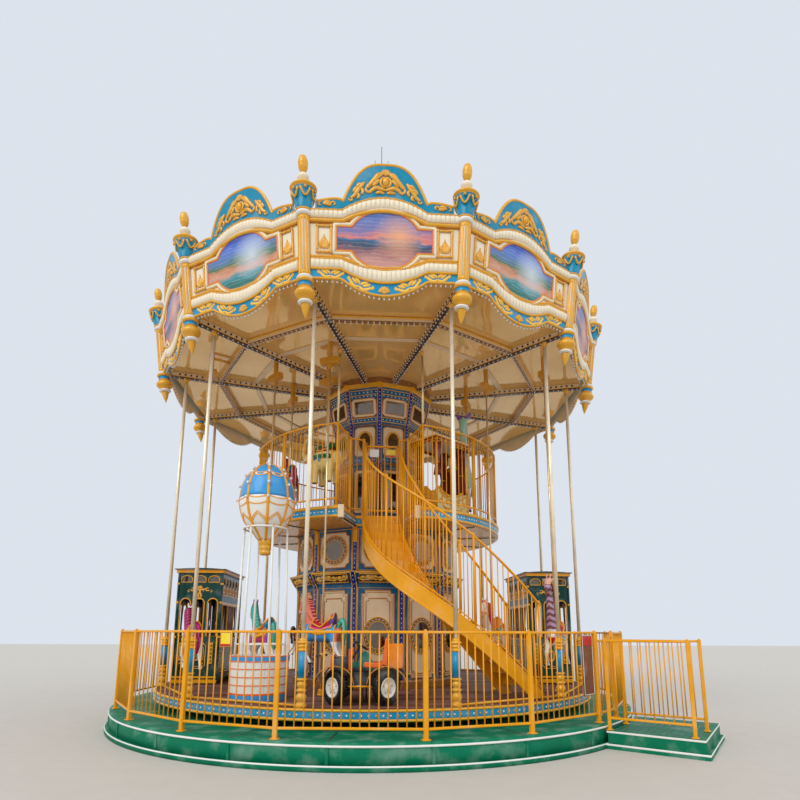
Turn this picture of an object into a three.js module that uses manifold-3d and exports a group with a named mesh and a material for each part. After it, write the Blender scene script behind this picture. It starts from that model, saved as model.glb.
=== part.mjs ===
// A double-deck fairground carousel with twelve bays. Millimetres, +Z up.
// The origin is on the turning axis at ground level, and the front is towards -Y.
// Azimuths are in degrees, counted from the front towards +X.
import * as THREE from "three";
import { mergeVertices } from "three/addons/utils/BufferGeometryUtils.js";
import Module from "manifold-3d";

const wasm = await Module();
wasm.setup();

// Driving dimensions
const BAYS = 12;
const BAY = 360 / BAYS;
const CANOPY_RADIUS = 4600; // at the tips of the cones under the canopy posts
const CANOPY_TIP_Z = 6340;
const CANOPY_LEAN = 0.138; // how far the canopy leans out for each unit of height
const SEAT = 0.3; // gap left between pieces that touch

const BASE_RADIUS = 5050;
const BASE_LIP = 50;
const BASE_LIP_Z = 70;
const BASE_TOP = 340;

const DECK_TOP = 630;
const DECK_BOTTOM = 460;
const DECK_RADIUS = 4370;
const DECK_SIDES = 48;
const KINGPIN_RADIUS = 120;
const KINGPIN_CLEARANCE = 0.5;
const PIN_SIDES = 16;
const PEDESTAL_RADIUS = 450;
const PEDESTAL_TOP = 550;

const FENCE_RADIUS = 4950;
const FENCE_LOW = 470;
const FENCE_HIGH = 1670;
const FENCE_POST = 62;
const FENCE_RAIL = 34;
const BAR = 20;
const BAR_PITCH = 240; // between every second upright: the ones between are left out here

const NEWEL_RADIUS = 4240;
const NEWEL_TOP = 1550;
const SWEEP_LOW = 6930;
const SWEEP_HIGH = 7050;

const LOWER_CORE = 1730;
const CORNICE_LOW = 2620;
const CORNICE_HIGH = 2800;
const LANDING_BOTTOM = 3680;
const LANDING_TOP = 3900;
const LANDING_RADIUS = 2690;
const LANDING_FRONT = 1695; // distance from the axis to the edge that the stair meets
const UPPER_CORE = 1010;
const CORE_HEAD_LOW = 6090;
const CORE_HEAD = 1250;
const RAILING_HIGH = 5460;

const STAIR_WIDTH = 700;
const STAIR_RISERS = 16;
const STAIR_TREADS = STAIR_RISERS - 1;
const TREAD = 40;
const BALUSTRADE = 1390;

const GATE_START = 42.2; // azimuths of the two fence posts beside the entrance
const GATE_END = 50.6;
const LIFT = 120; // how far a jumping horse rises and falls from rest

const rad = THREE.MathUtils.degToRad;

// Point at a radius and an azimuth.
function polar(radius, azimuth, z = 0) {
  return new THREE.Vector3(radius * Math.sin(rad(azimuth)), -radius * Math.cos(rad(azimuth)), z);
}

// Closed solid of a geometry, with its faces turned outwards.
function solid(geometry) {
  const loose = geometry.index ? geometry.toNonIndexed() : geometry;
  const bare = new THREE.BufferGeometry();
  bare.setAttribute("position", loose.getAttribute("position").clone());
  const merged = mergeVertices(bare, 1e-3);
  const made = (triVerts) =>
    new wasm.Manifold(
      new wasm.Mesh({ numProp: 3, vertProperties: merged.attributes.position.array, triVerts }),
    );
  const corners = new Uint32Array(merged.index.array);
  const first = made(corners);
  return first.volume() < 0 ? made(corners.reverse()) : first;
}

function geometryOf(body) {
  const mesh = body.getMesh();
  const geometry = new THREE.BufferGeometry();
  geometry.setAttribute("position", new THREE.BufferAttribute(mesh.vertProperties, 3));
  geometry.setIndex(new THREE.BufferAttribute(mesh.triVerts, 1));
  return geometry;
}

// One body from several geometries or solids that run into each other.
function join(...pieces) {
  return pieces
    .flat(3)
    .map((piece) => (piece.isBufferGeometry ? solid(piece) : piece))
    .reduce((sum, piece) => sum.add(piece));
}

function cut(body, ...tools) {
  return tools.flat(2).reduce((left, tool) => left.subtract(solid(tool)), body);
}

// Box centred on x and y, standing on z.
function block(width, depth, height, x = 0, y = 0, z = 0) {
  return new THREE.BoxGeometry(width, depth, height).translate(x, y, z + height / 2);
}

// Turned body: the profile is a list of [radius, height], turned about Z.
// A profile that neither starts nor ends on the axis is closed into a ring.
function turned(profile, sides = 12) {
  const points = profile.map(([radius, z]) => new THREE.Vector2(radius, z));
  if (profile[0][0] > 0) points.push(points[0].clone());
  return new THREE.LatheGeometry(points, sides).rotateX(Math.PI / 2);
}

// Prism of a plan outline between two heights.
function prism(outline, low, high) {
  const shape = new THREE.Shape(outline.map(([x, y]) => new THREE.Vector2(x, y)));
  const depth = high - low;
  return new THREE.ExtrudeGeometry(shape, { depth, bevelEnabled: false, curveSegments: 6 }).translate(0, 0, low);
}

// Straight bar between two points, with a regular section.
function bar(from, to, width, sides = 3) {
  const along = to.clone().sub(from);
  const geometry = new THREE.CylinderGeometry(width / 2, width / 2, along.length(), sides);
  geometry.applyQuaternion(
    new THREE.Quaternion().setFromUnitVectors(new THREE.Vector3(0, 1, 0), along.clone().normalize()),
  );
  return geometry.translate(...from.clone().add(to).multiplyScalar(0.5).toArray());
}

// Closed skin over a row of sections with equal numbers of points.
function loft(sections) {
  const count = sections[0].length;
  const position = sections.flat().flatMap((p) => p.toArray());
  const index = [];
  for (let row = 0; row + 1 < sections.length; row++) {
    for (let k = 0; k < count; k++) {
      const a = row * count + k;
      const b = row * count + ((k + 1) % count);
      index.push(a, b, a + count, b, b + count, a + count);
    }
  }
  const last = (sections.length - 1) * count;
  for (let k = 1; k + 1 < count; k++) {
    index.push(0, k + 1, k, last, last + k, last + k + 1);
  }
  const geometry = new THREE.BufferGeometry();
  geometry.setAttribute("position", new THREE.Float32BufferAttribute(position, 3));
  return geometry.setIndex(index);
}

// Limb along points [x, y, z, radius, half width]: oval sections square to the way it runs.
function limb(points, sides = 6) {
  const spots = points.map(([x, y, z]) => new THREE.Vector3(x, y, z));
  const sideways = new THREE.Vector3(0, 1, 0);
  return loft(
    spots.map((spot, i) => {
      const run = spots[Math.min(i + 1, spots.length - 1)].clone().sub(spots[Math.max(i - 1, 0)]);
      const up = run.cross(sideways).normalize();
      const [, , , radius, width = radius] = points[i];
      return Array.from({ length: sides }, (_, k) => {
        const turn = (2 * Math.PI * (k + 0.5)) / sides;
        return spot
          .clone()
          .addScaledVector(up, radius * Math.cos(turn))
          .addScaledVector(sideways, width * Math.sin(turn));
      });
    }),
  );
}

const carousel = new THREE.Group();

function add(name, body, color, roughness = 0.5, metalness = 0) {
  const geometry = body.isBufferGeometry ? body : geometryOf(body);
  const mesh = new THREE.Mesh(geometry, new THREE.MeshStandardMaterial({ color, roughness, metalness }));
  mesh.name = name;
  carousel.add(mesh);
  return mesh;
}

const COLOR = {
  green: 0x15825c,
  yellow: 0xf0a50f,
  deck: 0x783f30,
  gold: 0xd9a13c,
  brass: 0xc79a4a,
  turquoise: 0x0099cc,
  teal: 0x1e6e96,
  cream: 0xf0e4d0,
  ceiling: 0xc4a069,
  blue: 0x1e96c3,
  dark: 0x003c37,
  orange: 0xf06e1e,
  white: 0xf2f0ea,
  red: 0xb03030,
  steel: 0x8c8f92,
};

const number = (k) => String(k + 1).padStart(2, "0");

// Base
function basePlinth() {
  return turned(
    [
      [0, 0],
      [BASE_RADIUS + BASE_LIP, 0],
      [BASE_RADIUS + BASE_LIP, BASE_LIP_Z],
      [BASE_RADIUS, BASE_LIP_Z],
      [BASE_RADIUS, BASE_TOP],
      [0, BASE_TOP],
    ],
    48,
  );
}

function centrePedestal() {
  const foot = BASE_TOP + SEAT;
  return turned(
    [
      [0, foot],
      [PEDESTAL_RADIUS, foot],
      [PEDESTAL_RADIUS, PEDESTAL_TOP],
      [KINGPIN_RADIUS, PEDESTAL_TOP],
      [KINGPIN_RADIUS, DECK_TOP - 10],
      [0, DECK_TOP - 10],
    ],
    PIN_SIDES,
  );
}

// Low step outside the entrance, with its inner edge following the base.
// It runs a little past the centre of the gap, as its near edge lines up with the gap's near post.
const STEP_TOP = 250;
const STEP_REACH = 1250;
const STEP_MIDDLE = (GATE_START + GATE_END) / 2 + 5;
const STEP_HALF = 880;
function entranceStep() {
  const slab = (extra, low, high) =>
    block(2 * (STEP_HALF + extra), STEP_REACH + extra + 600, high - low, 0, 0, low)
      .translate(0, -(BASE_RADIUS - 600 + (STEP_REACH + extra + 600) / 2), 0)
      .rotateZ(rad(STEP_MIDDLE));
  const slabs = join(slab(0, 0, STEP_TOP), slab(BASE_LIP, 0, BASE_LIP_Z));
  const inner = BASE_RADIUS + BASE_LIP + SEAT;
  const ring = [
    [0, -10],
    [inner, -10],
    [inner, BASE_LIP_Z + SEAT],
    [BASE_RADIUS + SEAT, BASE_LIP_Z + SEAT],
    [BASE_RADIUS + SEAT, BASE_TOP],
    [0, BASE_TOP],
  ];
  return cut(slabs, turned(ring, 48));
}

// Fence panel between two points: square posts where asked for, two rails and three-sided uprights.
const POST_KNOB = 40; // how far a post stands above the top rail's middle
function fencePanel(from, to, { ground, low, high, first = true, last = true, post = FENCE_POST, rail = FENCE_RAIL }) {
  const length = from.distanceTo(to);
  const middle = from.clone().add(to).multiplyScalar(0.5);
  const pieces = [low, high].map((z) => block(length, rail, rail, 0, 0, z - rail / 2));
  const count = Math.max(2, Math.round(length / BAR_PITCH));
  for (let k = 1; k < count; k++) {
    const x = length * (k / count - 0.5);
    const upright = new THREE.CylinderGeometry(BAR / 2, BAR / 2, high - low, 3).rotateX(Math.PI / 2);
    pieces.push(upright.translate(x, 0, (low + high) / 2));
  }
  const ends = [first && -length / 2, last && length / 2].filter((x) => x !== false);
  pieces.push(...ends.map((x) => block(post, post, high + POST_KNOB - ground, x, 0, ground)));
  const turn = Math.atan2(to.y - from.y, to.x - from.x);
  return pieces.map((piece) => piece.rotateZ(turn).translate(middle.x, middle.y, 0));
}

// Azimuths of the fence posts, from the entrance round the front to the entrance's far side.
const FENCE_FRONT = [GATE_START, 24.4, 6.6, -15.6];
const FENCE_REST_BAYS = 17;
const fenceAzimuths = [...FENCE_FRONT];
for (let k = 1; k <= FENCE_REST_BAYS; k++) {
  const span = 360 - GATE_END + FENCE_FRONT.at(-1);
  fenceAzimuths.push(FENCE_FRONT.at(-1) - (span * k) / FENCE_REST_BAYS);
}

const FENCE_RUNS = [0, 5, 10, 15, 20]; // first and last post of each run
const LAST_POST = FENCE_RUNS.at(-1);
function fenceRun(first, last) {
  const shape = { ground: BASE_TOP + SEAT, low: FENCE_LOW, high: FENCE_HIGH };
  const pieces = [];
  for (let k = first; k < last; k++) {
    // The next run starts just past a shared post, which this run holds.
    const trim = k === first && first > 0 ? (FENCE_POST * 0.5 + 6) / FENCE_RADIUS : 0;
    const start = fenceAzimuths[k] - THREE.MathUtils.radToDeg(trim);
    pieces.push(
      fencePanel(polar(FENCE_RADIUS, start), polar(FENCE_RADIUS, fenceAzimuths[k + 1]), {
        ...shape,
        first: k === first && first === 0,
      }),
    );
  }
  if (last === LAST_POST) pieces.push(gateBrackets(entranceHinge(), gatePost, GATE_FOOT, GATE_HIGH));
  return join(pieces);
}

// Barrier beside the entrance step, from the fence outwards.
const BARRIER_HIGH = 1550;
const BARRIER_GAP = 152; // from the fence post to the barrier's first post
function laneBarrier(azimuth) {
  const out = polar(1, STEP_MIDDLE);
  const from = polar(FENCE_RADIUS, azimuth).addScaledVector(out, BARRIER_GAP);
  const to = from.clone().addScaledVector(out, STEP_REACH - 120);
  return join(fencePanel(from, to, { ground: STEP_TOP + SEAT, low: 420, high: BARRIER_HIGH, post: 50 }));
}

// Entrance gate: a leaf between the two posts beside the entrance, on a pivot post of its own.
const GATE_FOOT = 440;
const GATE_HIGH = 1550;
const GATE_POST = 34;
const GATE_GAP = 71; // from the middle of a fence post to the middle of the leaf's own post
const gatePost = polar(FENCE_RADIUS, GATE_END);
const gateStop = polar(FENCE_RADIUS, GATE_START);
const gateWay = gateStop.clone().sub(gatePost).normalize();

function entranceHinge() {
  return gatePost.clone().addScaledVector(gateWay, GATE_GAP);
}

function entranceGate() {
  const tip = gateStop.clone().addScaledVector(gateWay, 8 - GATE_GAP);
  return join(fencePanel(entranceHinge(), tip, { ground: GATE_FOOT, low: FENCE_LOW, high: GATE_HIGH, post: GATE_POST }));
}

// Two flat arms that hold a gate's pivot post from the fixed post beside it, one under it and one over it.
const BRACKET = 30;
function gateBrackets(hinge, post, foot, high) {
  const arm = (z) => {
    const end = hinge.clone().addScaledVector(hinge.clone().sub(post).normalize(), GATE_POST / 2);
    const length = end.distanceTo(post);
    const turn = Math.atan2(end.y - post.y, end.x - post.x);
    return block(length, BRACKET, BRACKET, length / 2, 0, z).rotateZ(turn).translate(post.x, post.y, 0);
  };
  return [arm(foot - SEAT - BRACKET), arm(high + POST_KNOB + SEAT)];
}

// Turning platform
const SOCKET_RADIUS = 45;
const POLE_RADIUS = 18;
const POLE_SIDES = 6;
const POLE_CLEARANCE = 0.4; // between the flats of a pole and of its bore
const SOCKET_TOP = DECK_TOP + 100;
const BORE_RADIUS = POLE_RADIUS + POLE_CLEARANCE / Math.cos(Math.PI / POLE_SIDES);
const SLEEVE_LOW = 6600;
const POLE_FOOT = SOCKET_TOP - 80 - LIFT; // a jumping horse's pole stays in its floor socket
const POLE_HEAD = SLEEVE_LOW + 30 + LIFT; // and in the sleeve under the ceiling

// Ring beams hang the horses' poles: the distance of a beam's middle from the axis.
const OUTER_RING = 3590;
const INNER_RING = 2745;

// Radius of a ring beam at an azimuth: the beams run straight from sweep to sweep.
function ringRadius(ring, azimuth) {
  return ring / Math.cos(rad(azimuth - BAY * Math.round(azimuth / BAY)));
}

// Places of the jumping horses: azimuth, distance from the axis and height of the body.
const JUMPERS = [
  [-20, ringRadius(INNER_RING, -20), 1620],
  [-48, ringRadius(INNER_RING, -48), 1560],
  [52, ringRadius(INNER_RING, 52), 1600],
  [-60, 3850, 1480],
  [150, 3850, 1620],
  [-150, 3850, 1540],
];

function platformDeck() {
  const bore = (KINGPIN_RADIUS + KINGPIN_CLEARANCE) / Math.cos(Math.PI / DECK_SIDES);
  const floor = turned(
    [
      [bore, PEDESTAL_TOP + SEAT],
      [PEDESTAL_RADIUS + 20, PEDESTAL_TOP + SEAT],
      [PEDESTAL_RADIUS + 20, DECK_BOTTOM + 40],
      [DECK_RADIUS - 90, DECK_BOTTOM],
      [DECK_RADIUS, DECK_BOTTOM],
      [DECK_RADIUS, DECK_TOP],
      [bore, DECK_TOP],
    ],
    DECK_SIDES,
  );
  const sockets = JUMPERS.map(([azimuth, radius]) => {
    const spot = polar(radius, azimuth);
    return new THREE.CylinderGeometry(SOCKET_RADIUS, SOCKET_RADIUS + 15, 110, POLE_SIDES)
      .rotateX(Math.PI / 2)
      .translate(spot.x, spot.y, SOCKET_TOP - 55);
  });
  const bores = JUMPERS.map(([azimuth, radius]) => {
    const spot = polar(radius, azimuth);
    return new THREE.CylinderGeometry(BORE_RADIUS, BORE_RADIUS, 500, POLE_SIDES)
      .rotateX(Math.PI / 2)
      .translate(spot.x, spot.y, DECK_TOP - 100);
  });
  return cut(join(floor, sockets), bores);
}

// Newel posts with the brass poles that stand in them and reach the sweeps.
function newel(azimuth) {
  const low = DECK_TOP + SEAT;
  const spot = polar(NEWEL_RADIUS, azimuth);
  const post = turned(
    [
      [0, low],
      [73, low],
      [73, low + 240],
      [54, low + 300],
      [54, NEWEL_TOP - 130],
      [73, NEWEL_TOP - 80],
      [73, NEWEL_TOP - 20],
      [32, NEWEL_TOP + 10],
      [32, SWEEP_LOW - SEAT],
      [0, SWEEP_LOW - SEAT],
    ],
    6,
  );
  return post.translate(spot.x, spot.y, 0);
}

// Rails tie the three newels of a quarter of the rim together under the deck trim.
function rimQuarter(quarter) {
  const azimuths = [0, 1, 2].map((k) => (quarter * 3 + k + 0.5) * BAY);
  const ties = [0, 1].map((k) =>
    bar(polar(NEWEL_RADIUS, azimuths[k], DECK_TOP + 24), polar(NEWEL_RADIUS, azimuths[k + 1], DECK_TOP + 24), 46, 4),
  );
  return join(azimuths.map(newel), ties);
}

// Core
function twelveSided(profile, offset = 0) {
  return turned(profile, BAYS).rotateZ(rad(offset + 90));
}

function lowerCore() {
  return twelveSided(
    [
      [0, DECK_TOP + SEAT],
      [LOWER_CORE + 40, DECK_TOP + SEAT],
      [LOWER_CORE + 40, 780],
      [LOWER_CORE, 790],
      [LOWER_CORE, CORNICE_LOW - 60],
      [LOWER_CORE + 60, CORNICE_LOW],
      [0, CORNICE_LOW],
    ],
    BAY / 2,
  );
}

// Cornice and the drum with the round mirrors, up to the upper deck.
function mirrorDrum() {
  return twelveSided(
    [
      [0, CORNICE_LOW + SEAT],
      [LOWER_CORE + 60, CORNICE_LOW + SEAT],
      [LOWER_CORE + 170, CORNICE_HIGH - 40],
      [LOWER_CORE + 170, CORNICE_HIGH],
      [LOWER_CORE + 20, CORNICE_HIGH + 20],
      [LOWER_CORE + 20, LANDING_BOTTOM - SEAT],
      [0, LANDING_BOTTOM - SEAT],
    ],
    BAY / 2,
  );
}

function upperCore() {
  return twelveSided([
    [0, LANDING_TOP + SEAT],
    [UPPER_CORE + 30, LANDING_TOP + SEAT],
    [UPPER_CORE + 30, LANDING_TOP + 120],
    [UPPER_CORE, LANDING_TOP + 130],
    [UPPER_CORE, CORE_HEAD_LOW],
    [0, CORE_HEAD_LOW],
  ]);
}

function coreHead() {
  return twelveSided([
    [0, CORE_HEAD_LOW + SEAT],
    [UPPER_CORE, CORE_HEAD_LOW + SEAT],
    [UPPER_CORE + 50, CORE_HEAD_LOW + 120],
    [CORE_HEAD - 60, SWEEP_LOW - 90],
    [CORE_HEAD, SWEEP_LOW - 60],
    [CORE_HEAD, SWEEP_LOW - SEAT],
    [0, SWEEP_LOW - SEAT],
  ]);
}

// Upper deck, open at the front where the stair comes up between two radial edges.
function upperDeck() {
  const slope = Math.tan(rad(BAY / 2));
  const far = 2 * LANDING_FRONT;
  const plate = turned(
    [
      [0, LANDING_BOTTOM],
      [LANDING_RADIUS - 10, LANDING_BOTTOM],
      [LANDING_RADIUS - 10, LANDING_TOP - 60],
      [LANDING_RADIUS + 15, LANDING_TOP - 50],
      [LANDING_RADIUS + 15, LANDING_TOP],
      [0, LANDING_TOP],
    ],
    48,
  );
  const opening = [
    [-LANDING_FRONT * slope, -LANDING_FRONT],
    [-far * slope, -far],
    [far * slope, -far],
    [LANDING_FRONT * slope, -LANDING_FRONT],
  ];
  return cut(solid(plate), prism(opening, LANDING_BOTTOM - 50, LANDING_TOP + 50));
}

// Half of the railing round the upper deck: side is 1 for +X and -1 for -X.
// It turns in beside the stair opening and ends at a post beside the gate.
const RAILING_LOW = LANDING_TOP + 130;
const RAILING_RADIUS = LANDING_RADIUS - 40;
const RAILING_START = BAY / 2 + 2.2; // azimuth where the railing turns in beside the stair opening
const RAILING_POST = 45;
const RAILING_RAIL = 30;
function upperRailing(side) {
  const shape = { ground: LANDING_TOP + SEAT, low: RAILING_LOW, high: RAILING_HIGH, post: RAILING_POST, rail: RAILING_RAIL };
  const panels = 6;
  const end = 180 - THREE.MathUtils.radToDeg(40 / RAILING_RADIUS);
  const at = (k) => polar(RAILING_RADIUS, side * (RAILING_START + ((end - RAILING_START) * k) / panels));
  const pieces = [];
  for (let k = 0; k < panels; k++) {
    pieces.push(fencePanel(at(k), at(k + 1), { ...shape, first: k === 0 }));
  }
  const corner = at(0);
  const inner = corner.clone().addScaledVector(polar(1, (side * BAY) / 2), -(RAILING_RADIUS - LANDING_FRONT - 130));
  pieces.push(fencePanel(corner, inner, { ...shape, first: false }));
  const post = landingPost(side);
  const height = RAILING_HIGH + POST_KNOB - shape.ground;
  pieces.push(fencePanel(inner, post, { ...shape, first: false, last: false }));
  pieces.push(block(RAILING_POST, RAILING_POST, height, post.x, post.y, shape.ground));
  if (side < 0) pieces.push(gateBrackets(landingHinge, post, LANDING_GATE_FOOT, LANDING_GATE_HIGH));
  const pole = bar(corner.clone().setZ(RAILING_HIGH), corner.clone().setZ(SWEEP_LOW - SEAT), 40, 6);
  return join(pieces, pole);
}

// Stair: its middle line in plan, from the upper deck's edge to its foot on the platform.
const stairLine = new THREE.CubicBezierCurve3(
  new THREE.Vector3(46, -(LANDING_FRONT + SEAT), 0),
  new THREE.Vector3(46, -3400, 0),
  new THREE.Vector3(1400, -3430, 0),
  new THREE.Vector3(2520, -2650, 0),
);
const STAIR_TOP = LANDING_TOP;
const STAIR_FOOT = DECK_TOP + SEAT;
const STRINGER = 40;
const STRINGER_HEIGHT = 260;

// Point beside the stair's middle line at a share of its length, at a height above the flight's slope.
function stairPoint(share, offset, above) {
  const spot = stairLine.getPointAt(share);
  const run = stairLine.getTangentAt(share);
  const z = STAIR_TOP + (STAIR_FOOT - STAIR_TOP) * share + above;
  return new THREE.Vector3(spot.x - run.y * offset, spot.y + run.x * offset, z);
}

// Strip of a rectangular section that follows the stair beside its middle line.
function stairStrip(offset, width, low, high) {
  const sections = [];
  for (let k = 0; k <= STAIR_TREADS; k++) {
    const corner = (side, above) => {
      const p = stairPoint(k / STAIR_TREADS, offset + (side * width) / 2, above);
      return p.setZ(Math.max(p.z, STAIR_FOOT));
    };
    sections.push([corner(-1, low), corner(1, low), corner(1, high), corner(-1, high)]);
  }
  return loft(sections);
}

// Treads and risers, as one folded plate between the two strings.
function stairFlight() {
  const rise = (STAIR_TOP - STAIR_FOOT) / STAIR_RISERS;
  const half = (STAIR_WIDTH - STRINGER) / 2 - SEAT;
  const pieces = [];
  for (let k = 1; k <= STAIR_TREADS; k++) {
    const top = STAIR_TOP - rise * k;
    // Slab over a part of the tread, counted from its upper edge.
    const slab = (share, low, high) => {
      const edge = (offset) => {
        const start = stairPoint((k - 1) / STAIR_TREADS, offset, 0);
        return [start, start.clone().lerp(stairPoint(k / STAIR_TREADS, offset, 0), share)];
      };
      const [[a, b], [d, c]] = [edge(-half), edge(half)];
      return loft([low, high].map((z) => [a, b, c, d].map((p) => p.clone().setZ(z))));
    };
    pieces.push(slab(1, top - TREAD, top));
    pieces.push(slab(0.1, top - 10, top + rise - (k === 1 ? 0 : TREAD / 2)));
  }
  return join(pieces);
}

// One side of the stair: the string that carries the treads, with the balustrade that stands on it.
function stairSide(side) {
  const offset = (side * STAIR_WIDTH) / 2;
  const low = 100;
  const high = low + BALUSTRADE;
  const pieces = [
    stairStrip(offset, STRINGER, -STRINGER_HEIGHT, 40),
    stairStrip(offset, 30, low - 15, low + 15),
    stairStrip(offset, STRINGER, high - 20, high + 20),
  ];
  for (let k = 0; k <= STAIR_TREADS; k++) {
    const share = THREE.MathUtils.clamp(k / STAIR_TREADS, 0.008, 0.992);
    const strong = k % 5 === 0;
    const foot = stairPoint(share, offset, strong ? 0 : low);
    pieces.push(bar(foot, stairPoint(share, offset, high), strong ? 38 : BAR, strong ? 4 : 3));
  }
  return join(pieces);
}

// Gate at the head of the stair: hinged on the -X side, and it opens over the upper deck.
const LANDING_GATE_Y = -(LANDING_FRONT - 45);
const LANDING_GATE_FOOT = LANDING_TOP + 60;
const LANDING_GATE_LOW = LANDING_TOP + 110;
const LANDING_GATE_HIGH = 5330;
const LANDING_GATE_GAP = 53; // from the leaf's own posts to the railing's posts
const landingHinge = new THREE.Vector3(-262, LANDING_GATE_Y, 0);
const landingTip = new THREE.Vector3(354, LANDING_GATE_Y, 0);

function landingPost(side) {
  return side < 0
    ? landingHinge.clone().setX(landingHinge.x - LANDING_GATE_GAP)
    : landingTip.clone().setX(landingTip.x + LANDING_GATE_GAP);
}

function landingGate() {
  return join(
    fencePanel(landingHinge, landingTip, {
      ground: LANDING_GATE_FOOT,
      low: LANDING_GATE_LOW,
      high: LANDING_GATE_HIGH,
      post: GATE_POST,
    }),
  );
}

// Ceiling frame: twelve sweeps, two ring beams and the sleeves that guide the horses' poles.
const SWEEP_WIDTH = 90;
const SWEEP_REACH = CANOPY_RADIUS + 60;
const ARM_Z = (SWEEP_LOW + SWEEP_HIGH) / 2;
function ceilingFrame() {
  const pieces = [
    twelveSided(
      [
        [0, SWEEP_LOW],
        [CORE_HEAD, SWEEP_LOW],
        [CORE_HEAD, SWEEP_HIGH],
        [0, SWEEP_HIGH],
      ],
      BAY / 2,
    ),
  ];
  const sweep = SWEEP_REACH - CORE_HEAD + 100;
  const beam = SWEEP_HIGH - SWEEP_LOW - 30;
  for (let k = 0; k < BAYS; k++) {
    pieces.push(
      block(SWEEP_WIDTH, sweep, SWEEP_HIGH - SWEEP_LOW, 0, sweep / 2 - SWEEP_REACH, SWEEP_LOW).rotateZ(rad((k + 0.5) * BAY)),
    );
    for (const ring of [OUTER_RING, INNER_RING]) {
      const length = 2 * ring * Math.tan(rad(BAY / 2));
      pieces.push(block(length, 60, beam, 0, -ring, SWEEP_LOW + 15).rotateZ(rad(k * BAY)));
    }
  }
  const bores = [];
  for (const [azimuth, radius] of JUMPERS) {
    const spot = polar(radius, azimuth);
    const ring = radius > OUTER_RING ? OUTER_RING : radius - 60;
    pieces.push(
      new THREE.CylinderGeometry(SOCKET_RADIUS, SOCKET_RADIUS - 8, SWEEP_HIGH - SLEEVE_LOW - 10, POLE_SIDES)
        .rotateX(Math.PI / 2)
        .translate(spot.x, spot.y, (SWEEP_HIGH + SLEEVE_LOW - 10) / 2),
      bar(polar(ring, azimuth, ARM_Z), polar(radius + 30, azimuth, ARM_Z), 60, 4),
    );
    bores.push(
      new THREE.CylinderGeometry(BORE_RADIUS, BORE_RADIUS, 400, POLE_SIDES)
        .rotateX(Math.PI / 2)
        .translate(spot.x, spot.y, SLEEVE_LOW + 190),
    );
  }
  const posts = Array.from({ length: BAYS }, (_, k) => standing(canopyPost(SEAT), CANOPY_RADIUS, LEAN, (k + 0.5) * BAY));
  return cut(join(pieces), bores, posts);
}

const CEILING_RADIUS = CANOPY_RADIUS - 40;
const CEILING_THICKNESS = 30;
function ceiling() {
  const low = SWEEP_HIGH + SEAT;
  return twelveSided(
    [
      [0, low],
      [CEILING_RADIUS, low],
      [CEILING_RADIUS, low + CEILING_THICKNESS],
      [0, low + CEILING_THICKNESS],
    ],
    BAY / 2,
  );
}

// Roof: a tented cover on a low drum above the ceiling, with a crown and a pronged rod.
const ROOF_EDGE = 4480;
const ROOF_LOW = SWEEP_HIGH + CEILING_THICKNESS + 2 * SEAT;
const ROOF_SPRING = 7800;
const ROOF_WAIST = [2100, 9250]; // radius and height where the slope steepens
const ROOF_CROWN = 10400;
const ROD_TOP = 14100;
function roof() {
  const shell = twelveSided(
    [
      [ROOF_EDGE - 50, ROOF_LOW],
      [ROOF_EDGE, ROOF_LOW],
      [ROOF_EDGE, ROOF_SPRING],
      ROOF_WAIST,
      [420, ROOF_CROWN],
      [420, ROOF_CROWN - 100],
      [ROOF_WAIST[0], ROOF_WAIST[1] - 90],
      [ROOF_EDGE - 50, ROOF_SPRING - 40],
    ],
    BAY / 2,
  );
  const crown = turned(
    [
      [0, ROOF_CROWN - 80],
      [460, ROOF_CROWN - 80],
      [440, ROOF_CROWN + 60],
      [160, ROOF_CROWN + 240],
      [220, ROOF_CROWN + 420],
      [60, ROOF_CROWN + 640],
      [14, ROOF_CROWN + 700],
      [10, ROD_TOP],
      [0, ROD_TOP],
    ],
    8,
  );
  const prongs = [0, 90, 180, 270].map((azimuth) =>
    bar(polar(0, 0, ROD_TOP - 900), polar(170, azimuth, ROD_TOP - 440), 20, 3),
  );
  return join(shell, crown, prongs);
}

// Canopy post: its axis leans outwards with the boards.
const LEAN = Math.atan(CANOPY_LEAN);
const POST_RADIUS = 98;
function canopyPost(extra = 0) {
  return turned(
    [
      [0, -extra],
      [55, 110],
      [150, 360],
      [78, 520],
      [78, 640],
      [POST_RADIUS, 700],
      [POST_RADIUS, 1610],
      [205, 2030],
      [205, 2110],
      [70, 2160],
      [95, 2330],
      [0, 2595],
    ].map(([radius, z]) => [radius && radius + extra, z]),
    6,
  );
}

// Stand a body built along +Z on the leaning canopy, at a radius and an azimuth.
function standing(geometry, radius, lean, azimuth) {
  return geometry.rotateX(lean).translate(0, -radius, CANOPY_TIP_Z).rotateZ(rad(azimuth));
}

// Rounding board: its outline in the plane of the board, with x along the bay.
// Heights are measured along the board from the level of the post tips.
function boardOutline() {
  const halfAt = (y) => (CANOPY_RADIUS + CANOPY_LEAN * y) * Math.sin(rad(BAY / 2));
  const shape = new THREE.Shape();
  const low = 640;
  const dip = 395;
  const shoulder = 1830;
  const crest = 2510;
  shape.moveTo(-halfAt(low), low);
  shape.lineTo(-760, low);
  shape.quadraticCurveTo(-560, low, -480, low - 110);
  shape.quadraticCurveTo(0, 2 * dip - low + 110, 480, low - 110);
  shape.quadraticCurveTo(560, low, 760, low);
  shape.lineTo(halfAt(low), low);
  shape.lineTo(halfAt(shoulder), shoulder);
  shape.quadraticCurveTo(900, shoulder, 760, shoulder + 130);
  shape.quadraticCurveTo(600, crest, 0, crest);
  shape.quadraticCurveTo(-600, crest, -760, shoulder + 130);
  shape.quadraticCurveTo(-900, shoulder, -halfAt(shoulder), shoulder);
  return shape;
}

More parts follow.
